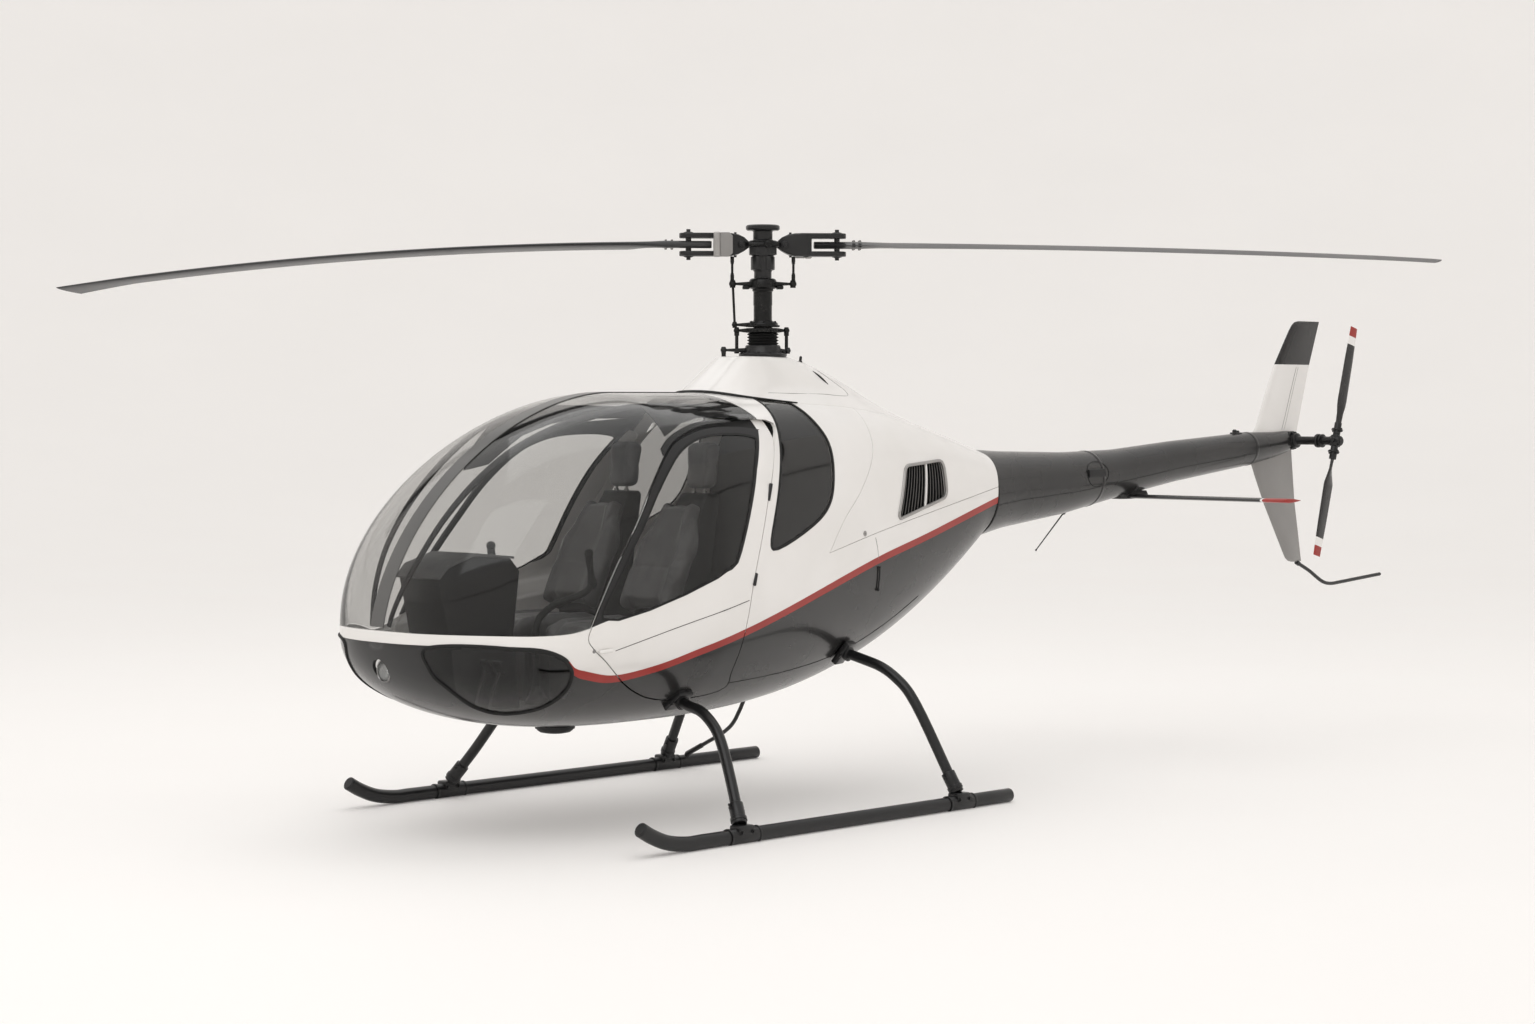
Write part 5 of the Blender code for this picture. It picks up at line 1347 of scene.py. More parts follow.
    def dash(self) -> None:
        """The instrument console with its glare shield and plain round dials."""
        half = self.console_half
        body = rounded(prism(self.console, -half, half), 0.007, 3, 50.0)
        finished("console_body", body, MOULDED_TRIM, Body.FUSELAGE, ["instrument_console"])
        # The shield's light grey is painted light on the console's top
        shield = [(-2.140, 1.165), (-2.085, 1.222), (-1.93, 1.269), (-1.71, 1.246), (-1.71, 1.236),
                  (-1.93, 1.256), (-2.078, 1.209), (-2.128, 1.160)]
        finished("console_shield", rounded(prism(shield, -half - 0.016, half + 0.016), 0.003, 2, 40.0),
                 GLARE_SHIELD_PAINTED_LIGHT, Body.FUSELAGE)
        bezels, faces = [], []
        for x, z, radius in ((-0.078, 1.125, 0.034), (0.0, 1.125, 0.034), (0.078, 1.125, 0.034),
                             (-0.078, 1.040, 0.028), (0.0, 1.040, 0.028), (0.078, 1.040, 0.028),
                             (-0.05, 0.968, 0.022), (0.05, 0.968, 0.022)):
            y = -1.662 - (1.18 - z) * 0.125
            place = Vector((x, y - 0.002, z))
            along = Vector((0.0, 1.0, -0.12))
            bezels.append(moved(turned(((radius * 0.80, 0.0), (radius, 0.0), (radius, 0.006),
                                        (radius * 0.93, 0.009), (radius * 0.80, 0.004)), 40, True), place, along))
            faces.append(disc(place, along, radius * 0.84, 0.0035, 0.0, 40))
        finished("dial_bezels", joined(*bezels), BLACK_ENAMEL, Body.FUSELAGE)
        finished("dial_faces", joined(*faces), GRAPHITE_GELCOAT, Body.FUSELAGE)

    def levers(self) -> None:
        """The two control levers with their boots and grips, and the pedals."""
        for word, lever, grip, radius in (("port", self.near_lever, self.near_grip, 0.0165),
                                          ("starboard", self.far_lever, self.far_grip, 0.0125)):
            path = curve([Vector(p) for p in lever], 6)
            top = Vector(grip[-1])
            forms = [tube(path, radius, 20),
                     tube(curve([Vector(p) for p in grip], 5), lambda part: 0.0165 + 0.002 * math.sin(9.0 * part),
                          20, 0.003),
                     ball(top + Vector((0.0, 0.0, 0.014)), 0.0215),
                     turned(((0.0, 0.562), (0.060, 0.562), (0.050, 0.580), (0.040, 0.590), (0.030, 0.615),
                             (0.018, 0.640), (0.0, 0.640)), 32)]
            moved(forms[-1], (path[0].x, path[0].y, 0.0))
            joint = path[-1] - Vector((0.0, 0.0, 0.004))
            forms.append(ball(joint, 0.024))
            forms.append(disc(joint + Vector((0.0, 0.0, 0.010)), (0.0, -0.1, 1.0), 0.023, 0.012, 0.003))
            finished("lever_" + word, joined(*forms), MOULDED_TRIM, Body.FUSELAGE, ["control_lever_" + word])
        pedals = []
        for side in Side:
            for x in (0.15, 0.245):
                x *= side.value
                pedals.append(tube(curve([Vector((x, -1.93, 0.590)), Vector((x, -1.91, 0.66)),
                                          Vector((x, -1.87, 0.745))], 5), 0.009, 14))
                plate = block((x - 0.034, -1.885, 0.735), (x + 0.034, -1.865, 0.800), 0.006)
                pedals.append(turn(plate, 28.0, "X", (x, -1.875, 0.767)))
                pedals.append(disc((x, -1.93, 0.578), (0.0, 0.0, 1.0), 0.020, 0.020, 0.004, 24))
        finished("foot_pedals", joined(*pedals), BLACK_ENAMEL, Body.FUSELAGE, bevel=0.0006)

    def rails(self) -> None:
        """The two black bands that arch inside the glass, and the bow over the seats."""
        bands = []
        for side in Side:
            path = curve([Vector(p) for p in self.rail], 6)
            rings = []
            for i, here in enumerate(path):
                def at(point: Vector, inset: float = 0.014) -> Vector:
                    return Vector((side.value * point.x, point.y, HULL.z_at(point.x, point.y, inset)))
                along = (at(path[min(i + 1, len(path) - 1)]) - at(path[max(i - 1, 0)])).normalized()
                place = at(here)
                normal = HULL.normal(place)
                across = along.cross(normal).normalized()
                rings.append([place + across * a * here.z - normal * b for a, b in
                              ((-1.0, 0.0), (-0.8, 0.010), (0.8, 0.010), (1.0, 0.0), (0.8, -0.003),
                               (-0.8, -0.003))])
            bands.append(loft(rings))
        xs = [-0.335 + 0.67 * step / 24 for step in range(25)]
        bow = [[Vector((x, -0.40 + dy, HULL.z_at(x, -0.40, inset))) for dy, inset in
                ((-0.028, 0.0185), (0.028, 0.0185), (0.024, 0.030), (-0.024, 0.030))] for x in xs]
        bands.append(loft(bow))
        finished("roof_bands", joined(*bands), MOULDED_TRIM, Body.FUSELAGE, ["roof_rails"], 50.0)

    def build(self) -> None:
        """Make the cabin's inside."""
        self.rails()
        self.dash()
        self.levers()
        self.seats()
        repaint("rear_bulkhead", MOULDED_TRIM)
        repaint("engine_block", CASTING)


@dataclass
class Pylon:
    """The white fairing under the mast, its gasket, seam and air slots."""

    top_z: float = 2.152
    sunk: float = 0.02
    swell: float = 0.040
    flare: float = 0.055
    edge: float = 0.012
    rings: int = 24
    half: tuple[tuple[float, float, float, float], ...] = (
        # foot x, foot y, top x, top y
        (0.0, -0.46, 0.0, -0.24), (0.12, -0.45, 0.06, -0.24), (0.19, -0.38, 0.10, -0.21),
        (0.22, -0.25, 0.11, -0.15), (0.22, 0.10, 0.11, 0.02), (0.17, 0.45, 0.09, 0.075),
        (0.10, 0.75, 0.05, 0.095), (0.035, 1.00, 0.02, 0.10), (0.0, 1.03, 0.0, 0.10))

    def outline(self, column: int) -> list[Vector]:
        """The fairing's outline at its foot (column 0) or its top (column 2)."""
        port = [(row[column], row[column + 1]) for row in self.half]
        return curve(port + [(-x, y) for x, y in port[-2:0:-1]], 5, True)

    @cached_property
    def feet(self) -> list[Vector]:
        """The smooth outline at the foot."""
        return self.outline(0)

    @cached_property
    def tops(self) -> list[Vector]:
        """The smooth outline at the top."""
        return self.outline(2)

    def place(self, i: int, part: float) -> Vector:
        """A place on upright line i, at a part of the way from its foot to its top."""
        i %= len(self.feet)
        foot = self.feet[i]
        rear = min(max((foot.y + 0.46) / 1.49, 0.0), 1.0)
        spread = self.flare * min(rear * 3.0, 1.0) * max(1.0 - part / 0.3, 0.0) ** 2
        across = Vector((math.copysign(spread, foot.x) if abs(foot.x) > 0.02 else 0.0, spread * rear * 0.4))
        here = foot.lerp(self.tops[i], part) + across
        low = HULL.z_at(foot.x + across.x, foot.y + across.y) + 0.0008
        lift = self.swell * rear * math.sin(math.pi * part**1.6)
        return Vector((here.x, here.y, low + (self.top_z - low) * part + lift))

    def shell(self) -> None:
        """The fairing itself, with a rounded upper edge."""
        count = len(self.feet)
        rows = [[self.place(i, 0.0) - Vector((0.0, 0.0, self.sunk)) for i in range(count)]]
        shoulder = 0.95
        for step in range(self.rings + 1):
            rows.append([self.place(i, shoulder * step / self.rings) for i in range(count)])
        for angle in (25.0, 50.0, 70.0, 90.0):
            ring = []
            for i in range(count):
                low = self.place(i, shoulder)
                high = Vector((*self.tops[i], self.top_z))
                inwards = Vector((-high.x, -0.07 - high.y, 0.0)).normalized()
                rise = math.sin(math.radians(angle))
                flat = 1.0 - math.cos(math.radians(angle))
                ring.append(Vector((low.x + (high.x - low.x) * rise, low.y + (high.y - low.y) * rise,
                                    low.z + (self.top_z - low.z) * rise)) + inwards * self.edge * flat)
            rows.append(ring)
        finished("pylon_fairing_shell", loft(rows), WHITE_GELCOAT, Body.FUSELAGE, ["pylon_fairing"], 40.0)

    def trim(self) -> None:
        """The black gasket round the front, the panel's seam and the dark air slots."""
        count = len(self.feet)
        reach = 18
        front = [self.place(i, 0.0) for i in range(reach, -reach - 1, -1)]
        outwards = [(Vector((p.x, p.y + 0.1, 0.0))).normalized() * 0.006 for p in front]
        finished("pylon_gasket", tube([p + o for p, o in zip(front, outwards)],
                                      lambda part: 0.003 + 0.010 * math.sin(math.pi * part), 12),
                 RUBBER, Body.FUSELAGE, smooth=50.0)
        for side in Side:
            line = [self.place(side.value * i, part) for i, part in
                    ((28, 0.80), (28, 0.60), (28, 0.42), (28, 0.30), (27, 0.22), (25, 0.17), (22, 0.15),
                     (19, 0.14), (16, 0.13))]
            finished("pylon_seam_" + side.word, tube(curve(line, 6), 0.0013, 6), FIN_GREY, Body.FUSELAGE)
            slot = [self.place(side.value * 25, 0.36 + 0.03 * step) for step in range(9)]
            finished("pylon_slot_" + side.word,
                     tube(slot, lambda part: 0.0015 + 0.005 * math.sin(math.pi * part), 12), RUBBER,
                     Body.FUSELAGE, smooth=50.0)
        ys = [1.095 + 0.012 * step for step in range(9)]
        vent = [boxed(0.0, 0.004 + 0.016 * math.sin(math.pi * (i + 0.5) / 9.0), -0.003, 0.003, 0.001)
                for i in range(9)]
        rings = [[Vector((point.y, y, HULL.z_at(point.y, y) + 0.001 + point.z)) for point in ring]
                 for y, ring in zip(ys, vent)]
        finished("spine_vent", loft(rings), RUBBER, Body.FUSELAGE)
        LOG.info("pylon outline of %d points", count)

    def build(self) -> None:
        """Make the fairing and its trim."""
        self.shell()
        self.trim()


@dataclass
class Grilles:
    """The two framed air inlets in the engine cowl."""

    slats: int = 15
    slat_depth: float = 0.020
    slat_turn: float = 38.0
    rim: float = 0.0085
    divider: float = 0.55
    corner: float = 0.04

    def edge(self, foot: bool, part: float) -> Vector:
        """A place on the lower or upper edge of the opening."""
        front_low, rear_low, rear_high, front_high = (Vector(point) for point in LINES.grille)
        return front_low.lerp(rear_low, part) if foot else front_high.lerp(rear_high, part)

    def upright(self, side: Side, part: float, depth: float, thick: float, degrees: float,
                sink: float) -> BMesh:
        """A slat or bar that follows the cowl from the lower to the upper edge."""
        low, high = self.edge(True, part), self.edge(False, part)
        rings = []
        for step in range(9):
            y, z = low.lerp(high, step / 8.0)
            place = Cabin.on_hull(side, y, z, -sink)
            normal = HULL.normal(place)
            along = Vector((0.0, high.x - low.x, high.y - low.y)).normalized()
            across = along.cross(normal).normalized() * side.value
            angle = math.radians(degrees)
            deep = across * math.cos(angle) - normal * math.sin(angle)
            flat = across * math.sin(angle) + normal * math.cos(angle)
            rings.append([place + deep * a * depth / 2.0 + flat * b * thick / 2.0
                          for a, b in ((-1, -1), (1, -1), (1, 1), (-1, 1))])
        return loft(rings)

    def build(self) -> None:
        """Make the rim, the slats, the white bar and the dark net behind them, on both sides."""
        opening = Cabin.soft_corners(LINES.grille, self.corner)
        for side in Side:
            rim = [Cabin.on_hull(side, p.x, p.y, 0.001) for p in spaced(opening, 72, True)]
            finished("grille_rim_" + side.word, tube(rim + rim[:1], self.rim, 14), GREY_ANODISED,
                     Body.FUSELAGE, smooth=60.0)
            parts = [0.02 + 0.96 * (i + 0.5) / self.slats for i in range(self.slats)]
            slats = [self.upright(side, part, self.slat_depth, 0.0016, self.slat_turn, 0.013)
                     for part in parts]
            finished("grille_slats_" + side.word, joined(*slats), FIN_GREY, Body.FUSELAGE,
                     ["engine_grille_" + side.word])
            finished("grille_bar_" + side.word, self.upright(side, self.divider, 0.011, 0.009, 0.0, 0.001),
                     WHITE_GELCOAT, Body.FUSELAGE, bevel=0.002)
            HULL.panel("grille_net_" + side.word, side_prism(grown(opening, 0.012), side), RUBBER,
                       Body.FUSELAGE, outer=0.024, inner=0.027)


@dataclass
class Mast:
    """The fixed base, bellows and lower swash ring, and the turning shaft with its spider."""

    azimuth: float = 49.0
    foot: float = 2.1523
    plate: float = 0.118
    plate_top: float = 2.210
    bellows: tuple[float, float] = (0.067, 0.078)
    bellows_top: float = 2.270
    folds: int = 4
    ring: float = 0.085
    bore: float = 0.0515
    fixed_top: float = 2.292
    turning: tuple[float, float] = (2.2975, 2.320)
    shaft: float = 0.0465
    spider: tuple[float, float] = (2.482, 2.535)
    spider_ball: float = 0.148
    neck: float = 0.043
    collar: tuple[float, float] = (2.573, 2.6415)

    def lever(self, start: float, end: float, height: float, swing: float = 0.0, ball_size: float = 0.0155,
              wide: float = 0.026) -> list[BMesh]:
        """A tapered arm from start to end along X with a ball joint on its end."""
        side = math.copysign(1.0, end)
        rings = []
        for part in (0.0, 0.35, 0.7, 1.0):
            half = wide + (0.0075 - wide) * part
            thick = 0.011 + (0.006 - 0.011) * part
            x = side * (start + (abs(end) - start - ball_size * 0.6) * part)
            rings.append(boxed(x, half, height - thick, height + thick, 0.004, swing * part))
        cup = disc((end, swing, height - ball_size * 1.05), (0.0, 0.0, 1.0), ball_size * 0.75,
                   ball_size * 2.1, 0.003, 20)
        return [loft(rings), ball((end, swing, height), ball_size), cup]

    def post(self, x: float, y: float, low: float, high: float, radius: float) -> list[BMesh]:
        """An upright rod with a thicker socket at each end."""
        return [tube(((x, y, low), (x, y, high)), radius, 16),
                tube(((x, y, low), (x, y, low + 0.022)), radius * 1.45, 16, 0.002),
                tube(((x, y, high - 0.022), (x, y, high)), radius * 1.45, 16, 0.002)]

    def fixed(self) -> None:
        """The base plate, bellows and lower ring, which stand still."""
        foot = self.foot
        profile = ((self.bore, foot), (self.plate - 0.004, foot), (self.plate, foot + 0.004),
                   (self.plate, foot + 0.013), (self.plate - 0.005, foot + 0.018), (0.096, foot + 0.020),
                   (0.090, foot + 0.034), (0.086, self.plate_top - 0.006), (0.080, self.plate_top),
                   (self.bore, self.plate_top))
        base = [turned(profile, 64, True)]
        base += [bolt((0.107 * math.cos(a), 0.107 * math.sin(a), foot + 0.0175), (0.0, 0.0, 1.0), 0.0062)
                 for a in (math.tau * (i + 0.5) / 12 for i in range(12))]
        base += self.lever(0.085, -0.195, foot + 0.032, -0.050)
        base += self.post(-0.195, -0.050, foot, foot + 0.032, 0.0075)
        base += self.lever(0.085, 0.122, foot + 0.030, -0.012, 0.0145)
        finished("mast_base_plate", turn(joined(*base), self.azimuth), BLACK_ENAMEL, Body.FUSELAGE,
                 ["mast_housing"], bevel=0.0008)
        inner, outer = self.bellows
        steps = 4 * self.folds
        height = self.bellows_top - self.plate_top
        folds = [(inner + (outer - inner) * 0.5 * (1.0 - math.cos(math.tau * step / 4.0)),
                  self.plate_top + height * step / steps) for step in range(steps + 1)]
        finished("mast_bellows", turned(((self.bore, self.plate_top), *folds, (self.bore, self.bellows_top)),
                                        64, True), RUBBER, Body.FUSELAGE, smooth=60.0)
        low, high = self.bellows_top, self.fixed_top
        ring = [turned(((self.bore, low), (self.ring - 0.003, low), (self.ring, low + 0.003),
                        (self.ring, high - 0.003), (self.ring - 0.003, high), (self.bore, high)), 64, True)]
        middle = (low + high) / 2.0
        for x in (-0.128, 0.116):
            ring += self.lever(0.076, x, middle)
            ring += self.post(x, 0.0, foot + 0.016, middle - 0.004, 0.0085)
        for degrees in (-65.0, -115.0, 65.0, 115.0):
            away = Vector((math.cos(math.radians(degrees)), math.sin(math.radians(degrees)), 0.0))
            ring.append(bolt(away * (self.ring - 0.001) + Vector((0.0, 0.0, middle)), away, 0.0055))
        finished("lower_swash_ring", turn(joined(*ring), self.azimuth), DARK_STEEL, Body.FUSELAGE)
        probe = [disc((0.075, 0.185, 2.128), (0.05, 0.12, 1.0), 0.007, 0.030, 0.005),
                 disc((0.075, 0.185, 2.124), (0.05, 0.12, 1.0), 0.010, 0.009, 0.001)]
        finished("pylon_probe", joined(*probe), BLACK_ENAMEL, Body.FUSELAGE)

    def moving(self) -> None:
        """The shaft, the upper swash ring with its rod, and the spider and collar."""
        r = self.shaft
        shaft = turned(((0.0, 2.2406), (r - 0.002, 2.2406), (r, 2.243), (r, 2.33), (r - 0.0015, 2.335),
                        (r - 0.0015, 2.40), (r, 2.405), (r, 2.470), (r + 0.005, 2.474), (r + 0.005, 2.484),
                        (0.0, 2.484)), 64)
        finished("rotor_shaft", shaft, DARK_STEEL, Body.ROTOR, ["rotor_mast"])
        low, high = self.turning
        middle = (low + high) / 2.0
        ring = [turned(((r + 0.001, low), (self.ring - 0.004, low), (self.ring - 0.001, low + 0.003),
                        (self.ring - 0.001, middle - 0.003), (self.ring - 0.010, middle),
                        (self.ring - 0.012, high - 0.003), (self.ring - 0.015, high), (0.058, high),
                        (0.055, high + 0.006), (r + 0.001, high + 0.006)), 64, True)]
        ring += self.lever(0.070, -0.138, middle, ball_size=0.0145)
        ring += [bolt((0.067 * math.cos(a), 0.067 * math.sin(a), high), (0.0, 0.0, 1.0), 0.005)
                 for a in (math.tau * (i + 0.5) / 6 for i in range(6))]
        finished("upper_swash_ring", turn(joined(*ring), self.azimuth), DARK_STEEL, Body.ROTOR)
        low, high = self.spider
        middle = (low + high) / 2.0
        rod = [tube(((-0.138, 0.0, self.turning[0] + 0.012), (-0.147, 0.0, middle)), 0.0062, 16)]
        spider = [turned(((r - 0.004, low + 0.004), (0.060, low + 0.002), (0.067, low + 0.008),
                          (0.067, high - 0.012), (0.062, high - 0.004), (0.054, high), (r - 0.004, high)),
                         64, True)]
        for x in (-self.spider_ball, self.spider_ball):
            spider += self.lever(0.050, x, middle, ball_size=0.018, wide=0.036)
            inner = math.copysign(0.066, x)
            outer = math.copysign(0.100, x)
            spider.append(block((min(inner, outer), -0.028, low), (max(inner, outer), 0.028, low + 0.017),
                                0.005))
            for y in (-0.016, 0.016):
                spider.append(bolt(((inner + outer) / 2.0, y, low + 0.017), (0.0, 0.0, 1.0), 0.006))
        finished("spider", turn(joined(*rod, *spider), self.azimuth), DARK_STEEL, Body.ROTOR)
        low, high = self.collar
        core = turned(((0.0, self.spider[1] - 0.002), (self.neck, self.spider[1] - 0.002),
                       (self.neck, low - 0.006), (self.neck + 0.004, low), (self.neck + 0.006, low + 0.004),
                       (self.neck + 0.006, high), (0.0, high)), 64)
        lugs = []
        for x in (-1, 1):
            for y in (-1, 1):
                outer = [(x * 0.014, y * 0.020), (x * 0.014, y * 0.050), (x * 0.034, y * 0.052),
                         (x * 0.050, y * 0.034), (x * 0.058, y * 0.014), (x * 0.058, y * 0.006),
                         (x * 0.040, y * 0.006)]
                lugs.append(slab(outer, low + 0.003, high, 0.003))
        finished("hub_collar", turn(joined(core, *lugs), self.azimuth), BLACK_ENAMEL, Body.ROTOR)

    def build(self) -> None:
        """Make the fixed and the turning pieces."""
        self.fixed()
        self.moving()


@dataclass
class Rotor:
    """The hub, the forked grips, the pitch links and the two main blades."""

    azimuth: float = 49.0
    hub_foot: float = 2.6423
    hub_top: float = 2.722
    hub_half: float = 0.066
    stem: float = 0.0475
    stem_top: float = 2.769
    cap: float = 0.083
    cap_top: float = 2.795
    fork: tuple[float, float, float, float] = (2.6425, 2.667, 2.730, 2.7555)
    fork_half: float = 0.045
    fork_start: float = 0.245
    pin_x: float = 0.364
    link_x: float = 0.150
    blade_z: float = 2.6985
    pitch: float = 8.0
    pitch_run: tuple[float, float] = (0.41, 0.66)
    droops: tuple[float, float] = (0.0075, 0.026)
    rake: float = 0.09
    radius: float = 3.40
    rows: tuple[tuple[float, float, float, float], ...] = (
        # place, chord, thickness, leading edge
        (0.252, 0.074, 0.034, 0.037), (0.262, 0.085, 0.036, 0.0425), (0.47, 0.085, 0.036, 0.0425),
        (0.50, 0.094, 0.034, 0.0425), (0.56, 0.135, 0.029, 0.0425), (0.63, 0.170, 0.026, 0.0425),
        (1.2, 0.170, 0.022, 0.0425), (1.9, 0.170, 0.021, 0.0425), (2.6, 0.170, 0.020, 0.0425),
        (3.05, 0.170, 0.020, 0.0425), (3.37, 0.170, 0.014, 0.0425), (3.40, 0.170, 0.009, 0.0425))

    def hub(self) -> None:
        """The yoke with its teeter pin and tie bar, the stem and the round cap."""
        top, cap, edge = self.cap_top, self.cap, 0.006
        form = [turned(((0.0, self.hub_foot), (0.052, self.hub_foot), (0.055, self.hub_foot + 0.004),
                        (0.055, self.hub_top - 0.006), (0.050, self.hub_top), (self.stem, self.hub_top + 0.004),
                        (self.stem, self.stem_top - 0.006), (self.stem + 0.006, self.stem_top),
                        (cap - edge, self.stem_top), (cap, self.stem_top + edge), (cap, top - edge),
                        (cap - edge, top), (cap - 0.014, top), (cap - 0.018, top - 0.003), (0.030, top - 0.003),
                        (0.027, top), (0.0, top)), 72)]
        yoke = [boxed(-self.hub_half, 0.032, self.hub_foot + 0.008, self.hub_top - 0.004, 0.006),
                boxed(-0.035, 0.050, self.hub_foot + 0.001, self.hub_top, 0.008),
                boxed(0.035, 0.050, self.hub_foot + 0.001, self.hub_top, 0.008),
                boxed(self.hub_half, 0.032, self.hub_foot + 0.008, self.hub_top - 0.004, 0.006)]
        form.append(loft(yoke))
        finished("hub_yoke_and_cap", turn(joined(*form), self.azimuth), BLACK_ENAMEL, Body.ROTOR,
                 ["rotor_hub"], bevel=0.0008)
        bar = []
        for y in (-1.0, 1.0):
            bar.append(tube(((-0.074, y * 0.050, self.blade_z + 0.002), (0.074, y * 0.050, self.blade_z + 0.002)),
                            0.0135, 24, 0.002))
            bar.append(disc((y * -0.022, y * 0.044, self.blade_z + 0.004), (0.0, y, 0.0), 0.021, 0.026, 0.003))
            bar.append(bolt((y * -0.022, y * 0.069, self.blade_z + 0.004), (0.0, y, 0.0), 0.009))
        finished("hub_tie_bar", turn(joined(*bar), self.azimuth), DARK_STEEL, Body.ROTOR)

    def grip(self, name: str, degrees: float) -> None:
        """A grip: a solid root that opens into two plates round the blade's cuff, and its weight."""
        low, slot_low, slot_high, high = self.fork
        root = [boxed(0.0705, 0.020, 2.684, 2.716, 0.006), boxed(0.092, 0.030, 2.668, 2.735, 0.008),
                boxed(0.120, 0.039, 2.653, 2.748, 0.009), boxed(0.155, 0.044, 2.644, 2.7545, 0.009),
                boxed(0.200, 0.046, low, high, 0.008), boxed(0.226, 0.046, low, high, 0.008),
                boxed(0.236, 0.043, low + 0.002, high - 0.002, 0.008)]
        forms = [loft(root)]
        half = self.fork_half
        plate = [(0.18, -half)] + [tuple(p) for p in arc((self.pin_x, 0.0), half, -90.0, 90.0, 10)]
        plate.append((0.18, half))
        for bottom, top in ((low, slot_low), (slot_high, high)):
            forms.append(slab(plate, bottom, top, 0.004))
        for up, z in ((1.0, high), (-1.0, low)):
            forms.append(disc((self.pin_x, 0.0, z - up * 0.001), (0.0, 0.0, up), 0.024, 0.005, 0.0015))
            forms.append(bolt((self.pin_x, 0.0, z + up * 0.003), (0.0, 0.0, up), 0.0115))
            forms.append(bolt((0.135, 0.0, z - up * 0.005), (0.0, 0.0, up), 0.007))
        forms.append(tube(((self.pin_x, 0.0, low + 0.002), (self.pin_x, 0.0, high - 0.002)), 0.014, 24))
        for y in (-1.0, 1.0):
            forms.append(disc((0.105, y * 0.030, self.blade_z), (0.0, y, 0.0), 0.018, 0.014, 0.002))
            forms.append(bolt((0.105, y * 0.043, self.blade_z), (0.0, y, 0.0), 0.010))
        finished("blade_grip_fork_" + name, turn(joined(*forms), self.azimuth + degrees), BLACK_ENAMEL,
                 Body.ROTOR, ["blade_grip_" + name], bevel=0.0008)
        face = [(0.152, 2.654), (0.168, 2.638), (0.214, 2.638), (0.214, 2.755), (0.168, 2.755), (0.152, 2.738)]
        weight = turn(prism([(x, z) for x, z in face], -0.094, -0.046), -90.0)
        finished("grip_weight_" + name, turn(rounded(weight, 0.004), self.azimuth + degrees), FIN_GREY,
                 Body.ROTOR)
        cheek = block((0.214, 0.045, 2.636), (0.245, 0.098, 2.757), 0.006)
        finished("grip_weight_cheek_" + name, turn(cheek, self.azimuth + degrees), GREY_ANODISED, Body.ROTOR)

    def link(self, name: str, degrees: float) -> None:
        """A pitch link from the spider's ball to the grip."""
        x = self.link_x
        parts = [tube(((x, 0.0, 2.5235), (x, 0.0, 2.642)), 0.0062, 16),
                 tube(((x, 0.0, 2.5235), (x, 0.0, 2.553)), 0.0095, 16, 0.002),
                 tube(((x, 0.0, 2.553), (x, 0.0, 2.560)), 0.0085, 6),
                 tube(((x, 0.0, 2.606), (x, 0.0, 2.613)), 0.0085, 6),
                 tube(((x, 0.0, 2.613), (x, 0.0, 2.642)), 0.0095, 16, 0.002)]
        finished("pitch_link_rod_" + name, turn(joined(*parts), self.azimuth + degrees), DARK_STEEL,
                 Body.ROTOR, ["pitch_link_" + name])

    def blade(self, name: str, degrees: float, droop: float) -> None:
        """A main blade: a thick cuff that flattens into a tapered, twisted and raked plank."""
        places = sorted({row[0] for row in self.rows} | {0.66 + 0.137 * step for step in range(21)})
        rings = []
        start, end = self.pitch_run
        for place in places:
            if place > self.radius:
                continue
            chord, thick, lead = row_at(self.rows, place)
            bend = droop * max(place - 0.46, 0.0) ** 2
            angle = math.radians(self.pitch) * min(max((place - start) / (end - start), 0.0), 1.0)
            outer = max(place - 3.05, 0.0) / (self.radius - 3.05)
            ring = []
            for forward, up in wing(chord, thick, lead):
                rake = self.rake * outer * (lead - forward) / chord
                ring.append((place - rake, forward * math.cos(angle) - up * math.sin(angle),
                             self.blade_z - bend + forward * math.sin(angle) + up * math.cos(angle)))
            rings.append(ring)
        form = turn(loft(rings), self.azimuth + degrees)
        finished("rotor_blade_" + name, form, BLADE_PAINT, Body.ROTOR, ["main_blade_" + name], 40.0)
        pads = []
        for x in (0.445, 0.475):
            for y in (-0.022, 0.022):
                for up in (1.0, -1.0):
                    pads.append(bolt((x, y, self.blade_z + up * 0.0155), (0.0, 0.0, up), 0.006))
        finished("blade_root_bolts_" + name, turn(joined(*pads), self.azimuth + degrees), BRIGHT_STEEL,
                 Body.ROTOR)

    def build(self) -> None:
        """Make the hub, then each blade with its grip and link."""
        self.hub()
        for name, degrees, droop in zip("ab", (0.0, 180.0), self.droops):
            self.grip(name, degrees)
            self.link(name, degrees)
            self.blade(name, degrees, droop)


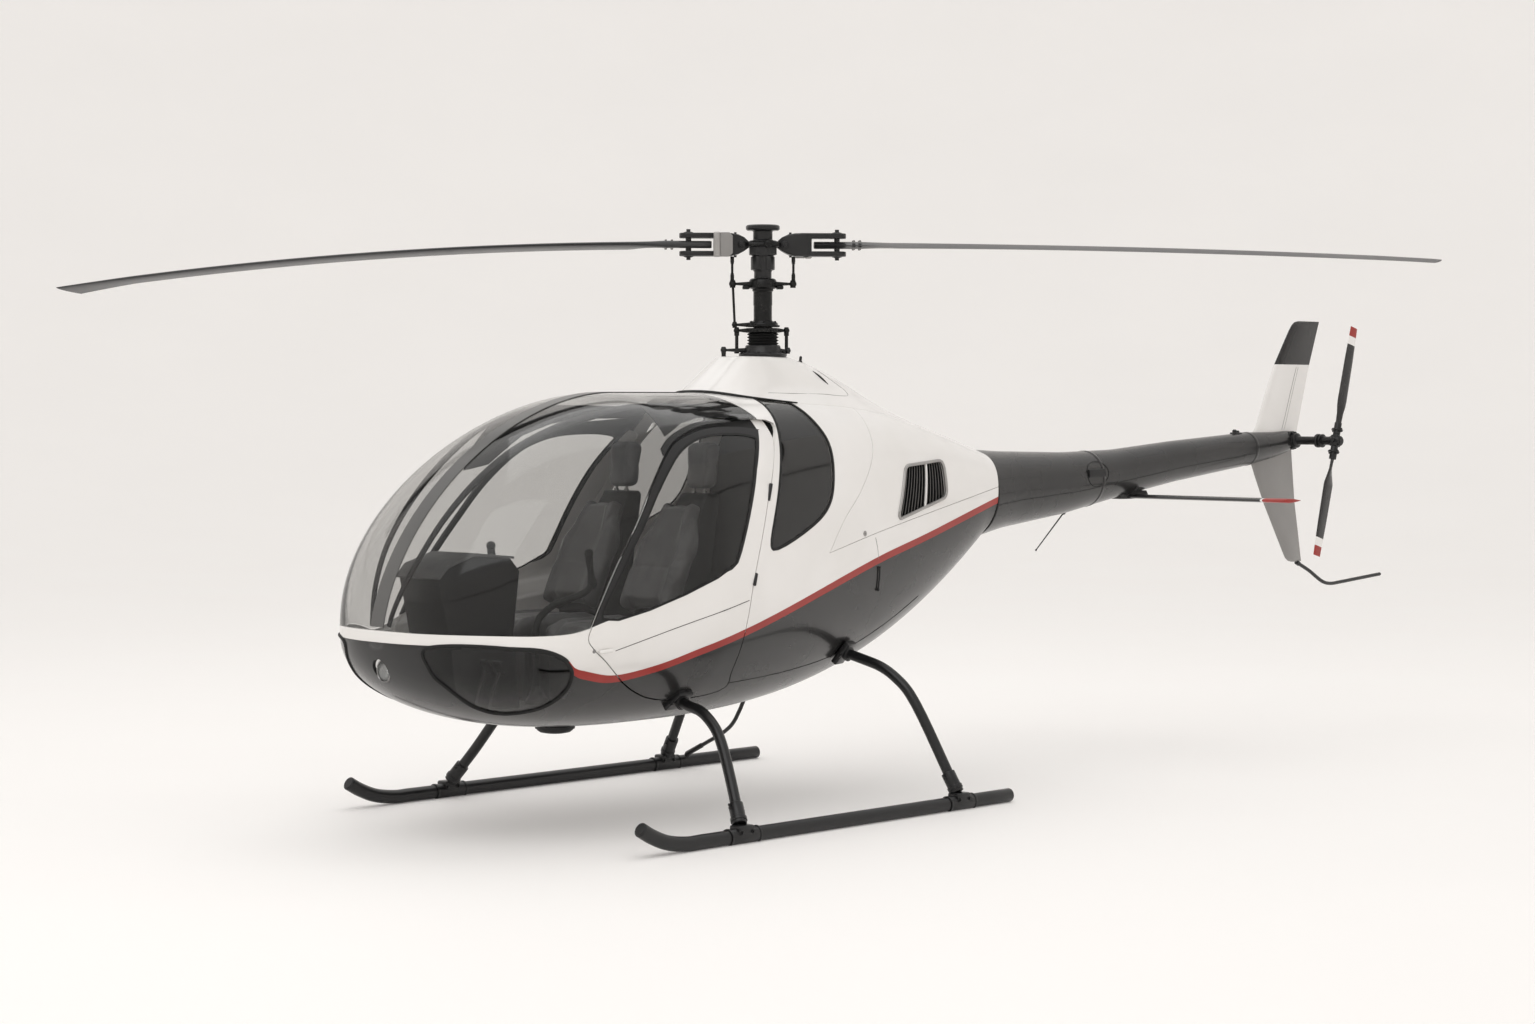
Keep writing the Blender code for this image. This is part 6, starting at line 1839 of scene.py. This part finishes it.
@dataclass
class Tail:
    """The boom, tail gearbox, fins, tailplane, guard, beacon and antenna."""

    around: int = 64
    boom: tuple[tuple[float, float, float, float], ...] = (
        # y, middle height, half height, half width
        (1.5203, 1.447, 0.236, 0.222), (1.75, 1.462, 0.207, 0.196), (2.30, 1.487, 0.169, 0.158),
        (2.75, 1.529, 0.136, 0.128), (3.30, 1.590, 0.1175, 0.108), (4.05, 1.655, 0.0975, 0.090))
    gearbox: tuple[tuple[float, float, float, float], ...] = (
        (4.0503, 1.655, 0.0965, 0.090), (4.30, 1.676, 0.078, 0.073), (4.42, 1.692, 0.066, 0.063),
        (4.47, 1.699, 0.058, 0.055), (4.495, 1.700, 0.049, 0.047), (4.510, 1.700, 0.038, 0.037),
        (4.515, 1.700, 0.028, 0.028))
    joint_y: float = 2.51
    seam_angle: float = -14.0
    upper_fin: tuple[tuple[float, float, float], ...] = (
        # height, leading edge, trailing edge
        (1.700, 4.060, 4.540), (1.735, 4.085, 4.554), (1.765, 4.118, 4.563), (1.810, 4.148, 4.577),
        (1.980, 4.228, 4.631), (2.150, 4.318, 4.684), (2.280, 4.412, 4.735), (2.360, 4.471, 4.766),
        (2.395, 4.502, 4.780), (2.412, 4.528, 4.787), (2.419, 4.562, 4.789))
    band_z: float = 2.150
    lower_fin: tuple[tuple[float, float, float], ...] = (
        (0.965, 4.510, 4.617), (0.972, 4.478, 4.616), (0.990, 4.452, 4.612), (1.030, 4.423, 4.604),
        (1.150, 4.342, 4.580), (1.322, 4.226, 4.543), (1.500, 4.124, 4.521), (1.575, 4.085, 4.512),
        (1.600, 4.100, 4.509), (1.660, 4.200, 4.503))
    fin_thick: float = 0.032
    plane: tuple[float, float, float, float] = (2.90, 1.402, 0.16, 0.024)
    plane_span: float = 1.12
    tip_red: float = 0.150
    tip_white: float = 0.014
    guard: tuple[tuple[float, float], ...] = (
        (4.575, 0.9575), (4.70, 0.905), (4.85, 0.830), (4.93, 0.815), (5.05, 0.820), (5.21, 0.831),
        (5.478, 0.849))
    guard_radius: float = 0.011
    whip: tuple[tuple[float, float], tuple[float, float]] = ((2.346, 1.332), (2.098, 1.126))
    beacon: tuple[float, float] = (3.938, 1.738)
    stub: tuple[float, float, float] = (4.45, 1.70, 0.070)

    def ring(self, rows: Sequence[Sequence[float]], y: float, out: float = 0.0) -> list[Vector]:
        """The oval section of a table's skin at y, moved outwards."""
        middle, high, wide = row_at(rows, y)
        return [Vector(((wide + out) * math.cos(a), y, middle + (high + out) * math.sin(a)))
                for a in (math.tau * step / self.around for step in range(self.around))]

    def on_boom(self, y: float, degrees: float, out: float = 0.0) -> Vector:
        """A place on the boom's skin at an angle over its port side."""
        middle, high, wide = row_at(self.boom, y)
        angle = math.radians(degrees)
        return Vector(((wide + out) * math.cos(angle), y, middle + (high + out) * math.sin(angle)))

    def band(self, y: float, half: float, out: float) -> BMesh:
        """A shallow raised band round the boom."""
        steps = ((-half, -0.002), (-half, out * 0.5), (0.002 - half, out), (half - 0.002, out),
                 (half, out * 0.5), (half, -0.002))
        return loft([self.ring(self.boom, y + dy, more) for dy, more in steps])

    def tube_boom(self) -> None:
        """Both lengths of the boom with their bands, seam, hatch and antenna."""
        front, rear = self.boom[0][0], self.boom[-1][0]
        ys = [front, front + 0.004] + [front + (rear - front) * step / 40 for step in range(1, 40)] + [rear]
        rings = [self.ring(self.boom, y, -0.003 if i == 0 else 0.0) for i, y in enumerate(ys)]
        finished("tail_boom_skin", loft(rings), GRAPHITE_GELCOAT, Body.FUSELAGE, ["tail_boom"], 30.0)
        bands = [self.band(self.joint_y, 0.012, 0.0022), self.band(rear - 0.016, 0.014, 0.0018)]
        finished("boom_joint_bands", joined(*bands), GRAPHITE_GELCOAT, Body.FUSELAGE)
        finished("boom_front_seal", self.band(front + 0.006, 0.006, 0.0012), RUBBER, Body.FUSELAGE)
        for side in Side:
            line = [self.on_boom(front + 0.012 + (rear - 0.04 - front) * step / 24, self.seam_angle, 0.0002)
                    for step in range(25)]
            for point in line:
                point.x *= side.value
            finished("boom_seam_" + side.word, tube(line, 0.0018, 8), RUBBER, Body.FUSELAGE)
        edge = []
        for step in range(40):
            angle = math.tau * step / 40
            edge.append(self.on_boom(2.455 + 0.100 * math.cos(angle), 14.0 + 26.0 * math.sin(angle), 0.0006))
        finished("hatch_edge", tube(edge + edge[:1], 0.0022, 8), RUBBER, Body.FUSELAGE, smooth=60.0)
        latch = []
        for y, degrees in ((2.365, 17.0), (2.440, 15.5), (2.515, 14.0)):
            middle = self.on_boom(y, degrees)
            latch.append([middle + Vector((dx, 0.0, dz)) for dx, dz in
                          ((-0.006, -0.021), (0.010, -0.021), (0.013, -0.017), (0.009, 0.017), (0.005, 0.021),
                           (-0.010, 0.021))])
        finished("hatch_latch", loft(latch), MOULDED_TRIM, Body.FUSELAGE, bevel=0.001)
        (y0, z0), (y1, z1) = self.whip
        antenna = [tube(((0.0, y0, z0), (0.0, y1, z1)), lambda part: 0.0042 - 0.0012 * part, 12, 0.001),
                   ball((0.0, y1, z1), 0.0055, 12),
                   disc((0.0, y0 + 0.006, z0 + 0.004), (0.0, y1 - y0, z1 - z0), 0.010, 0.030, 0.004, 20)]
        finished("whip_antenna_rod", joined(*antenna), BLACK_ENAMEL, Body.FUSELAGE, ["whip_antenna"])

    def gearbox_case(self) -> None:
        """The tail gearbox's case with its output flange and bolts, and the beacon on the boom."""
        front, rear = self.gearbox[0][0], self.gearbox[-1][0]
        ys = sorted({row[0] for row in self.gearbox} | {front + 0.002}
                    | {front + (rear - 0.05 - front) * step / 12 for step in range(12)})
        case = loft([self.ring(self.gearbox, y) for y in ys])
        finished("tail_gearbox_case", case, GRAPHITE_GELCOAT, Body.FUSELAGE, ["tail_gearbox"], 40.0)
        y, z, reach = self.stub
        boss = [disc((0.020, y, z), (1.0, 0.0, 0.0), 0.056, reach - 0.036, 0.004, 48),
                disc((reach - 0.018, y, z), (1.0, 0.0, 0.0), 0.044, 0.018, 0.002, 48)]
        boss += [bolt((reach - 0.017, y + 0.049 * math.cos(a), z + 0.049 * math.sin(a)), (1.0, 0.0, 0.0), 0.0055)
                 for a in (math.tau * (i + 0.5) / 8 for i in range(8))]
        finished("tail_output_flange", joined(*boss), BLACK_ENAMEL, Body.FUSELAGE, bevel=0.0008)
        y, z = self.beacon
        lamp = [block((-0.022, y - 0.033, z - 0.004), (0.022, y + 0.033, z + 0.014), 0.004),
                disc((0.0, y - 0.015, z + 0.012), (0.0, 0.0, 1.0), 0.0135, 0.019, 0.006, 24),
                disc((0.0, y + 0.016, z + 0.012), (0.0, 0.0, 1.0), 0.0105, 0.013, 0.004, 24)]
        finished("tail_beacon_lamp", joined(*lamp), BLACK_ENAMEL, Body.FUSELAGE, ["tail_beacon"])

    def fin_form(self, rows: Sequence[Sequence[float]], low: float, high: float, steps: int) -> BMesh:
        """A fin's skin between two heights, thin at both edges and at its tip."""
        heights = sorted({row[0] for row in rows if low <= row[0] <= high}
                         | {low + (high - low) * step / steps for step in range(steps + 1)})
        tip = rows[-1][0] if rows is self.upper_fin else rows[0][0]
        rings = []
        for z in heights:
            lead, trail = row_at(rows, z)
            soft = min(abs(tip - z) / 0.03, 1.0)
            thick = self.fin_thick * (0.35 + 0.65 * math.sqrt(soft))
            chord = trail - lead
            rings.append([(up, trail - chord / 2.0 - forward, z)
                          for forward, up in wing(chord, min(thick / chord, 0.5) * chord, chord / 2.0)])
        return loft(rings)

    def fins(self) -> None:
        """The white upper fin with its dark head, its rudder line, and the grey lower fin."""
        low, top = self.upper_fin[0][0], self.upper_fin[-1][0]
        finished("upper_fin_skin", self.fin_form(self.upper_fin, low, self.band_z, 10), WHITE_GELCOAT,
                 Body.FUSELAGE, ["upper_fin"], 40.0)
        finished("upper_fin_line", self.fin_form(self.upper_fin, self.band_z, self.band_z + 0.006, 1),
                 WHITE_GELCOAT, Body.FUSELAGE, smooth=40.0)
        finished("upper_fin_head", self.fin_form(self.upper_fin, self.band_z + 0.006, top, 8),
                 GRAPHITE_GELCOAT, Body.FUSELAGE, smooth=40.0)
        for side in Side:
            lines = []
            for part, radius in ((0.60, 0.0012), (0.66, 0.0008)):
                points = []
                for step in range(13):
                    z = 1.765 + (self.band_z - 1.775) * step / 12
                    lead, trail = row_at(self.upper_fin, z)
                    y = lead + (trail - lead) * part
                    half = 0.5 * self.fin_thick * (0.79 if part < 0.62 else 0.70)
                    points.append((side.value * half, y, z))
                lines.append(tube(points, radius, 6))
            finished("rudder_line_" + side.word, joined(*lines), FIN_GREY, Body.FUSELAGE)
        finished("lower_fin_skin", self.fin_form(self.lower_fin, self.lower_fin[0][0],
                                                 self.lower_fin[-1][0], 12),
                 FIN_GREY, Body.FUSELAGE, ["lower_fin"], 40.0)
        path = [Vector((0.0, y, z)) for y, z in curve([Vector(p) for p in self.guard], 6)]
        guard = [tube(path, self.guard_radius, 20), ball(path[-1], self.guard_radius, 20),
                 disc(path[0] + Vector((0.0, -0.006, 0.003)), (0.0, 0.9, -0.4), 0.0145, 0.030, 0.003, 24)]
        finished("tail_guard_tube", joined(*guard), BLACK_ENAMEL, Body.FUSELAGE, ["tail_guard"])

    def tailplane(self) -> None:
        """The straight tailplane under the boom, its tips red behind a white ring."""
        y, z, chord, thick = self.plane
        span = self.plane_span
        section = [(y - forward, z + up) for forward, up in wing(chord, thick, chord / 2.0, 14)]

        def length(start: float, end: float, tip: float = 0.0) -> BMesh:
            steps = [(start, 1.0), (end, 1.0)]
            if tip:
                steps = [(start, 1.0), (end - tip * 0.010, 1.0), (end - tip * 0.003, 0.90), (end, 0.70)]
            return loft([[(x, y + (py - y) * size, z + (pz - z) * size) for py, pz in section]
                         for x, size in steps])

        inner = span - self.tip_red - self.tip_white
        finished("tailplane_blade", length(-inner, inner), GRAPHITE_GELCOAT, Body.FUSELAGE, ["tailplane"])
        for side in Side:
            word, way = side.word, side.value
            finished("tailplane_ring_" + word, length(way * inner, way * (span - self.tip_red)),
                     WHITE_GELCOAT, Body.FUSELAGE)
            finished("tailplane_tip_" + word, length(way * (span - self.tip_red), way * span, way),
                     RED_FILM, Body.FUSELAGE)
        bottom = row_at(self.boom, y)
        saddle = [boxed(-0.075, 0.10, z - 0.013, z + 0.004, 0.004), boxed(-0.045, 0.12, z - 0.014, z + 0.030, 0.004),
                  boxed(0.045, 0.12, z - 0.014, z + 0.030, 0.004), boxed(0.075, 0.10, z - 0.013, z + 0.004, 0.004)]
        form = moved(loft(saddle), (0.0, y, 0.0))
        finished("tailplane_saddle", form, GRAPHITE_GELCOAT, Body.FUSELAGE, bevel=0.001)
        LOG.info("boom over the tailplane: %.3f m high", 2.0 * bottom[1])

    def build(self) -> None:
        """Make the whole tail but its rotor."""
        self.tube_boom()
        self.gearbox_case()
        self.fins()
        self.tailplane()


@dataclass
class TailRotor:
    """The tail rotor's shaft, hub and banded blades."""

    centre: tuple[float, float] = (4.45, 1.70)
    hub_x: float = 0.350
    lean: float = -15.5
    shaft: tuple[tuple[float, float], ...] = (
        # radius, distance from the tail's middle
        (0.024, 0.0703), (0.043, 0.0706), (0.044, 0.074), (0.044, 0.082), (0.040, 0.086), (0.027, 0.090),
        (0.025, 0.100), (0.025, 0.205), (0.028, 0.214), (0.039, 0.220), (0.041, 0.224), (0.041, 0.236),
        (0.039, 0.240), (0.030, 0.242), (0.030, 0.250), (0.040, 0.253), (0.040, 0.262), (0.026, 0.266),
        (0.026, 0.310), (0.030, 0.318), (0.030, 0.384), (0.026, 0.389), (0.020, 0.390), (0.020, 0.394))
    rows: tuple[tuple[float, float, float], ...] = (
        # place, chord, thickness
        (0.085, 0.034, 0.022), (0.120, 0.036, 0.020), (0.170, 0.046, 0.016), (0.215, 0.072, 0.015),
        (0.260, 0.092, 0.014), (0.500, 0.086, 0.011), (0.640, 0.074, 0.009), (0.700, 0.070, 0.007))
    root_twist: float = 38.0
    white_start: float = 0.592
    red_start: float = 0.642

    def blade(self, name: str, degrees: float) -> None:
        """One blade with its cuff and coloured tip."""
        def length(start: float, end: float, out: float = 0.0) -> BMesh:
            places = sorted({row[0] for row in self.rows if start < row[0] < end} | {start, end}
                            | {start + (end - start) * step / 8 for step in range(9)})
            rings = []
            for place in places:
                chord, thick = row_at(self.rows, place)
                twist = math.radians(self.root_twist) * max(1.0 - (place - 0.10) / 0.17, 0.0) ** 1.3
                ring = []
                for forward, up in wing(chord, thick + out, chord / 2.0, 10):
                    ring.append((self.hub_x + up * math.cos(twist) + forward * math.sin(twist),
                                 forward * math.cos(twist) - up * math.sin(twist), place))
                rings.append(ring)
            return loft(rings)

        def placed(form: BMesh) -> BMesh:
            return moved(turn(form, degrees + self.lean, "X"), (0.0, *self.centre))

        finished("tail_blade_skin_" + name, placed(length(self.rows[0][0], self.white_start)),
                 GRAPHITE_GELCOAT, Body.TAIL_ROTOR, ["tail_blade_" + name], 40.0)
        finished("tail_blade_white_" + name, placed(length(self.white_start, self.red_start)),
                 WHITE_GELCOAT, Body.TAIL_ROTOR, smooth=40.0)
        finished("tail_blade_red_" + name, placed(length(self.red_start, self.rows[-1][0])),
                 RED_FILM, Body.TAIL_ROTOR, smooth=40.0)
        cuff = [tube(((self.hub_x, 0.0, 0.020), (self.hub_x, 0.0, 0.112)), 0.0215, 24, 0.003),
                tube(((self.hub_x, 0.0, 0.062), (self.hub_x, 0.0, 0.072)), 0.034, 24, 0.002)]
        for x in (-0.026, 0.026):
            for up in (1.0, -1.0):
                cuff.append(bolt((self.hub_x + x, 0.0, 0.067 + up * 0.004), (0.0, 0.0, up), 0.0065))
        finished("tail_blade_cuff_" + name, placed(joined(*cuff)), BLACK_ENAMEL, Body.TAIL_ROTOR)

    def build(self) -> None:
        """Make the shaft, the hub and both blades."""
        place = (0.0, *self.centre)
        profile = [(0.0, self.shaft[0][1]), *self.shaft, (0.0, self.shaft[-1][1])]
        shaft = [moved(turned(profile, 48), place, (1.0, 0.0, 0.0))]
        y, z = self.centre
        for x in (0.229, 0.257):
            shaft += [bolt((x, y + 0.034 * math.cos(a), z + 0.034 * math.sin(a)), (1.0, 0.0, 0.0), 0.0045)
                      for a in (math.tau * (i + 0.5) / 6 for i in range(6))]
        shaft.append(bolt((0.384, y, z), (1.0, 0.0, 0.0), 0.0085))
        core = rounded(block((self.hub_x - 0.024, -0.026, -0.034), (self.hub_x + 0.026, 0.026, 0.034)), 0.008)
        shaft.append(moved(turn(core, self.lean, "X"), place))
        for way in (1.0, -1.0):
            lug = disc((self.hub_x, way * 0.022, 0.0), (0.0, way, 0.0), 0.016, 0.018, 0.003, 24)
            shaft.append(moved(turn(lug, self.lean, "X"), place))
        finished("tail_rotor_shaft", joined(*shaft), BLACK_ENAMEL, Body.TAIL_ROTOR, ["tail_rotor_hub"],
                 bevel=0.0006)
        for name, degrees in (("a", 0.0), ("b", 180.0)):
            self.blade(name, degrees)


@dataclass
class Gear:
    """Skids with clamps, legs with brackets, the starboard brace and the belly dome."""

    track: float = 1.025
    tube_radius: float = 0.033
    nose: tuple[tuple[float, float], ...] = ((-1.754, 0.124), (-1.69, 0.088), (-1.60, 0.052), (-1.48, 0.033))
    ends: tuple[float, float] = (0.66, 0.97)
    saddles: tuple[float, float] = (-1.15, 0.294)
    leg_radius: float = 0.025
    front: tuple[tuple[float, float, float], ...] = (
        (0.38, -0.99, 0.60), (0.52, -1.0, 0.555), (0.62, -1.01, 0.535), (0.71, -1.02, 0.48),
        (0.77, -1.035, 0.42), (0.90, -1.09, 0.235), (1.010, -1.15, 0.080))
    rear: tuple[tuple[float, float, float], ...] = (
        (0.22, 0.19, 0.74), (0.46, 0.22, 0.685), (0.58, 0.235, 0.65), (0.66, 0.245, 0.605),
        (0.745, 0.255, 0.53), (1.012, 0.294, 0.080))
    brace: tuple[tuple[float, float, float], ...] = (
        (-0.99, 0.42, 0.075), (-0.80, 0.40, 0.160), (-0.66, 0.38, 0.225), (-0.56, 0.36, 0.300),
        (-0.25, 0.30, 0.80))
    dome: tuple[float, float] = (-1.345, 0.415)

    def skid(self, side: Side) -> None:
        """A skid tube with its upturned nose, end caps and two clamps."""
        x = side.value * self.track
        end = self.ends[0 if side is Side.PORT else 1]
        bend = curve([Vector(p) for p in self.nose] + [Vector((-1.40, self.tube_radius))], 8)
        path = [Vector((x, p.x, p.y)) for p in bend]
        path += [Vector((x, -1.40 + (end + 1.40) * step / 12, self.tube_radius)) for step in range(1, 13)]
        forms = [tube(path, self.tube_radius, 32, 0.004)]
        slope = (path[0] - path[1]).normalized()
        forms.append(disc(path[0] - slope * 0.001, slope, 0.027, 0.004, 0.002))
        forms.append(disc(path[-1] - Vector((0.0, 0.001, 0.0)), (0.0, 1.0, 0.0), 0.027, 0.004, 0.002))
        finished("skid_tube_" + side.word, joined(*forms), BLACK_ENAMEL, Body.FUSELAGE,
                 ["skid_" + side.word])
        clamps = []
        for y in self.saddles:
            for start, stop, radius in ((-0.092, 0.092, 0.0362), (-0.092, -0.080, 0.0385), (0.080, 0.092, 0.0385)):
                clamps.append(self.sleeve(x, y + start, y + stop, radius))
            clamps.append(block((x - 0.036, y - 0.046, 0.034), (x + 0.036, y + 0.046, 0.0815), 0.010))
            for dy in (-0.034, 0.034):
                for way in (-1.0, 1.0):
                    clamps.append(bolt((x + way * 0.0355, y + dy, 0.052), (way, 0.0, 0.0), 0.0075))
        finished("skid_clamps_" + side.word, joined(*clamps), BLACK_ENAMEL, Body.FUSELAGE, bevel=0.0008)

    def sleeve(self, x: float, start: float, stop: float, radius: float) -> BMesh:
        """A round sleeve over the skid whose underside is flattened to the ground."""
        form = tube(((x, start, self.tube_radius), (x, stop, self.tube_radius)), radius, 32, 0.0015)
        for vert in form.verts:
            vert.co.z = max(vert.co.z, 0.0004)
        return form

    def leg(self, side: Side, place: str, points: Sequence[Sequence[float]]) -> None:
        """A leg tube with its collar at the skid and its bracket under the hull."""
        path = curve([Vector((side.value * x, y, z)) for x, y, z in points], 7)
        forms = [tube(path, self.leg_radius, 28)]
        foot = path[-1]
        up = (path[-8] - foot).normalized()
        forms.append(tube((foot, foot + up * 0.104), 0.0335, 28, 0.003))
        forms.append(tube((foot + up * 0.014, foot + up * 0.034), 0.0375, 28, 0.002))
        across = up.cross(Vector((0.0, 1.0, 0.0))).normalized()
        for out in (0.078, 0.094):
            for way in (-1.0, 1.0):
                along = up.cross(across).normalized() * way
                forms.append(bolt(foot + up * out + along * 0.0325, along, 0.0062))
        finished("leg_tube_%s_%s" % (place, side.word), joined(*forms), BLACK_ENAMEL, Body.FUSELAGE,
                 ["leg_%s_%s" % (place, side.word)])
        outside = [p for p in path if HULL.measure(p) > 1.0 and p.z > 0.45]
        near = min(outside, key=lambda p: HULL.measure(p))
        i = path.index(near)
        along = (path[i + 1] - path[i - 1]).normalized()
        cuff = [tube((near - along * 0.045, near + along * 0.028), 0.0315, 28, 0.003),
                tube((near + along * 0.010, near + along * 0.026), 0.0365, 28, 0.002)]
        plate = block((-0.046, -0.064, -0.016), (0.046, 0.064, 0.016), 0.007)
        normal = HULL.normal(near)
        cuff.append(moved(plate, near + normal * 0.002 - along * 0.012, normal))
        for dy in (-0.052, 0.052):
            cuff.append(bolt(near + normal * 0.017 - along * 0.012 + Vector((0.0, dy, 0.0)), normal, 0.008))
        finished("leg_bracket_%s_%s" % (place, side.word), joined(*cuff), BLACK_ENAMEL, Body.FUSELAGE,
                 bevel=0.0008)

    def small_parts(self) -> None:
        """The brace strut with its end fitting and the dome under the belly."""
        path = curve([Vector(p) for p in self.brace], 6)
        foot = [tube(path, 0.0105, 20), tube((path[0], path[4]), 0.0135, 20, 0.003),
                ball(path[0] + Vector((0.004, 0.0, -0.004)), 0.016)]
        finished("brace_strut", joined(*foot), BLACK_ENAMEL, Body.FUSELAGE, ["gear_brace"])
        y, low = self.dome
        dome = [turned(((0.0, low + 0.001), (0.045, low + 0.001), (0.070, low + 0.006), (0.083, low + 0.016),
                        (0.088, low + 0.028), (0.088, low + 0.050), (0.0, low + 0.050)), 48),
                turned(((0.080, low + 0.022), (0.091, low + 0.022), (0.092, low + 0.026), (0.092, low + 0.034),
                        (0.080, low + 0.036)), 48, True)]
        finished("belly_dome_shell", moved(joined(*dome), (0.0, y, 0.0)), MOULDED_TRIM, Body.FUSELAGE,
                 ["belly_dome"])

    def build(self) -> None:
        """Make both skids and all four legs, then the small parts."""
        for side in Side:
            self.skid(side)
            self.leg(side, "front", self.front)
            self.leg(side, "rear", self.rear)
        self.small_parts()


@dataclass
class Stage:
    """The pale floor, the lights and the camera."""

    eye: tuple[float, float, float] = (9.7632, -11.1733, 1.9332)
    tilt: float = 87.75
    heading: float = 45.0
    lens: float = 65.90
    sensor: float = 36.0
    floor_radius: float = 16.0
    bend: float = 34.0

    def floor(self) -> None:
        """A pale floor that curves up into its backdrop far away."""
        profile = [(0.0, 0.0), (4.0, 0.0), (9.0, 0.0), (self.floor_radius, 0.0)]
        profile += [(self.floor_radius + self.bend * math.sin(a), self.bend * (1.0 - math.cos(a)))
                    for a in (math.pi / 2.0 * step / 24 for step in range(1, 25))]
        form = turned(profile, 64)
        bmesh.ops.reverse_faces(form, faces=[face for face in form.faces if face.normal.z < -0.5])
        mesh = bpy.data.meshes.new("studio_floor")
        form.to_mesh(mesh)
        form.free()
        mesh.shade_smooth()
        paper = Finish("seamless_studio_paper", "white_gelcoat", "#F1EFED", "#EFEDEB", 0.65, drift_mm=2500.0,
                       glow=0.13)
        mesh.materials.append(paper.material())
        item = bpy.data.objects.new("studio_floor", mesh)
        bpy.context.scene.collection.objects.link(item)

    def light(self, name: str, place: Sequence[float], size: tuple[float, float], watts: float) -> None:
        """A soft box that looks at the cabin."""
        lamp = bpy.data.lights.new(name, "AREA")
        lamp.shape = "RECTANGLE"
        lamp.size, lamp.size_y = size
        lamp.energy = watts
        item = bpy.data.objects.new(name, lamp)
        item.location = place
        item.rotation_euler = (Vector((0.0, MAST_Y, 1.2)) - Vector(place)).to_track_quat("-Z", "Y").to_euler()
        bpy.context.scene.collection.objects.link(item)

    def build(self) -> None:
        """Make the floor, world, lights and camera."""
        self.floor()
        world = bpy.data.worlds.new("studio")
        world.use_nodes = True
        world.node_tree.nodes["Background"].inputs["Color"].default_value = linear("#F4F2F0")
        world.node_tree.nodes["Background"].inputs["Strength"].default_value = 0.92
        bpy.context.scene.world = world
        bpy.context.scene.view_settings.view_transform = "Standard"
        self.light("key_soft_box", (3.0, -7.5, 9.0), (8.0, 6.0), 200.0)
        self.light("top_soft_box", (-2.0, 0.5, 9.5), (9.0, 7.0), 140.0)
        camera = bpy.data.cameras.new("camera")
        camera.lens = self.lens
        camera.sensor_width = self.sensor
        camera.clip_end = 300.0
        item = bpy.data.objects.new("camera", camera)
        item.location = self.eye
        item.rotation_euler = (math.radians(self.tilt), 0.0, math.radians(self.heading))
        bpy.context.scene.collection.objects.link(item)
        bpy.context.scene.camera = item


def clear_stage() -> None:
    """Take away what a new file holds beside the frame."""
    kept = set(frame["nodes"].values()) | set(frame["bodies"].values())
    for item in list(bpy.data.objects):
        if item not in kept:
            bpy.data.objects.remove(item, do_unlink=True)


def main() -> None:
    """Build every sub-assembly in order, then the stage."""
    logging.basicConfig(level=logging.INFO, format="%(message)s")
    clear_stage()
    for assembly in (Cabin(), Interior(), Pylon(), Grilles(), Mast(), Rotor(), Tail(), TailRotor(), Gear(),
                     Stage()):
        assembly.build()
        LOG.info("%s is built", type(assembly).__name__)
    for item in list(bpy.data.objects):
        if item.name.startswith("form_"):
            bpy.data.objects.remove(item)


if __name__ == "__main__":
    main()
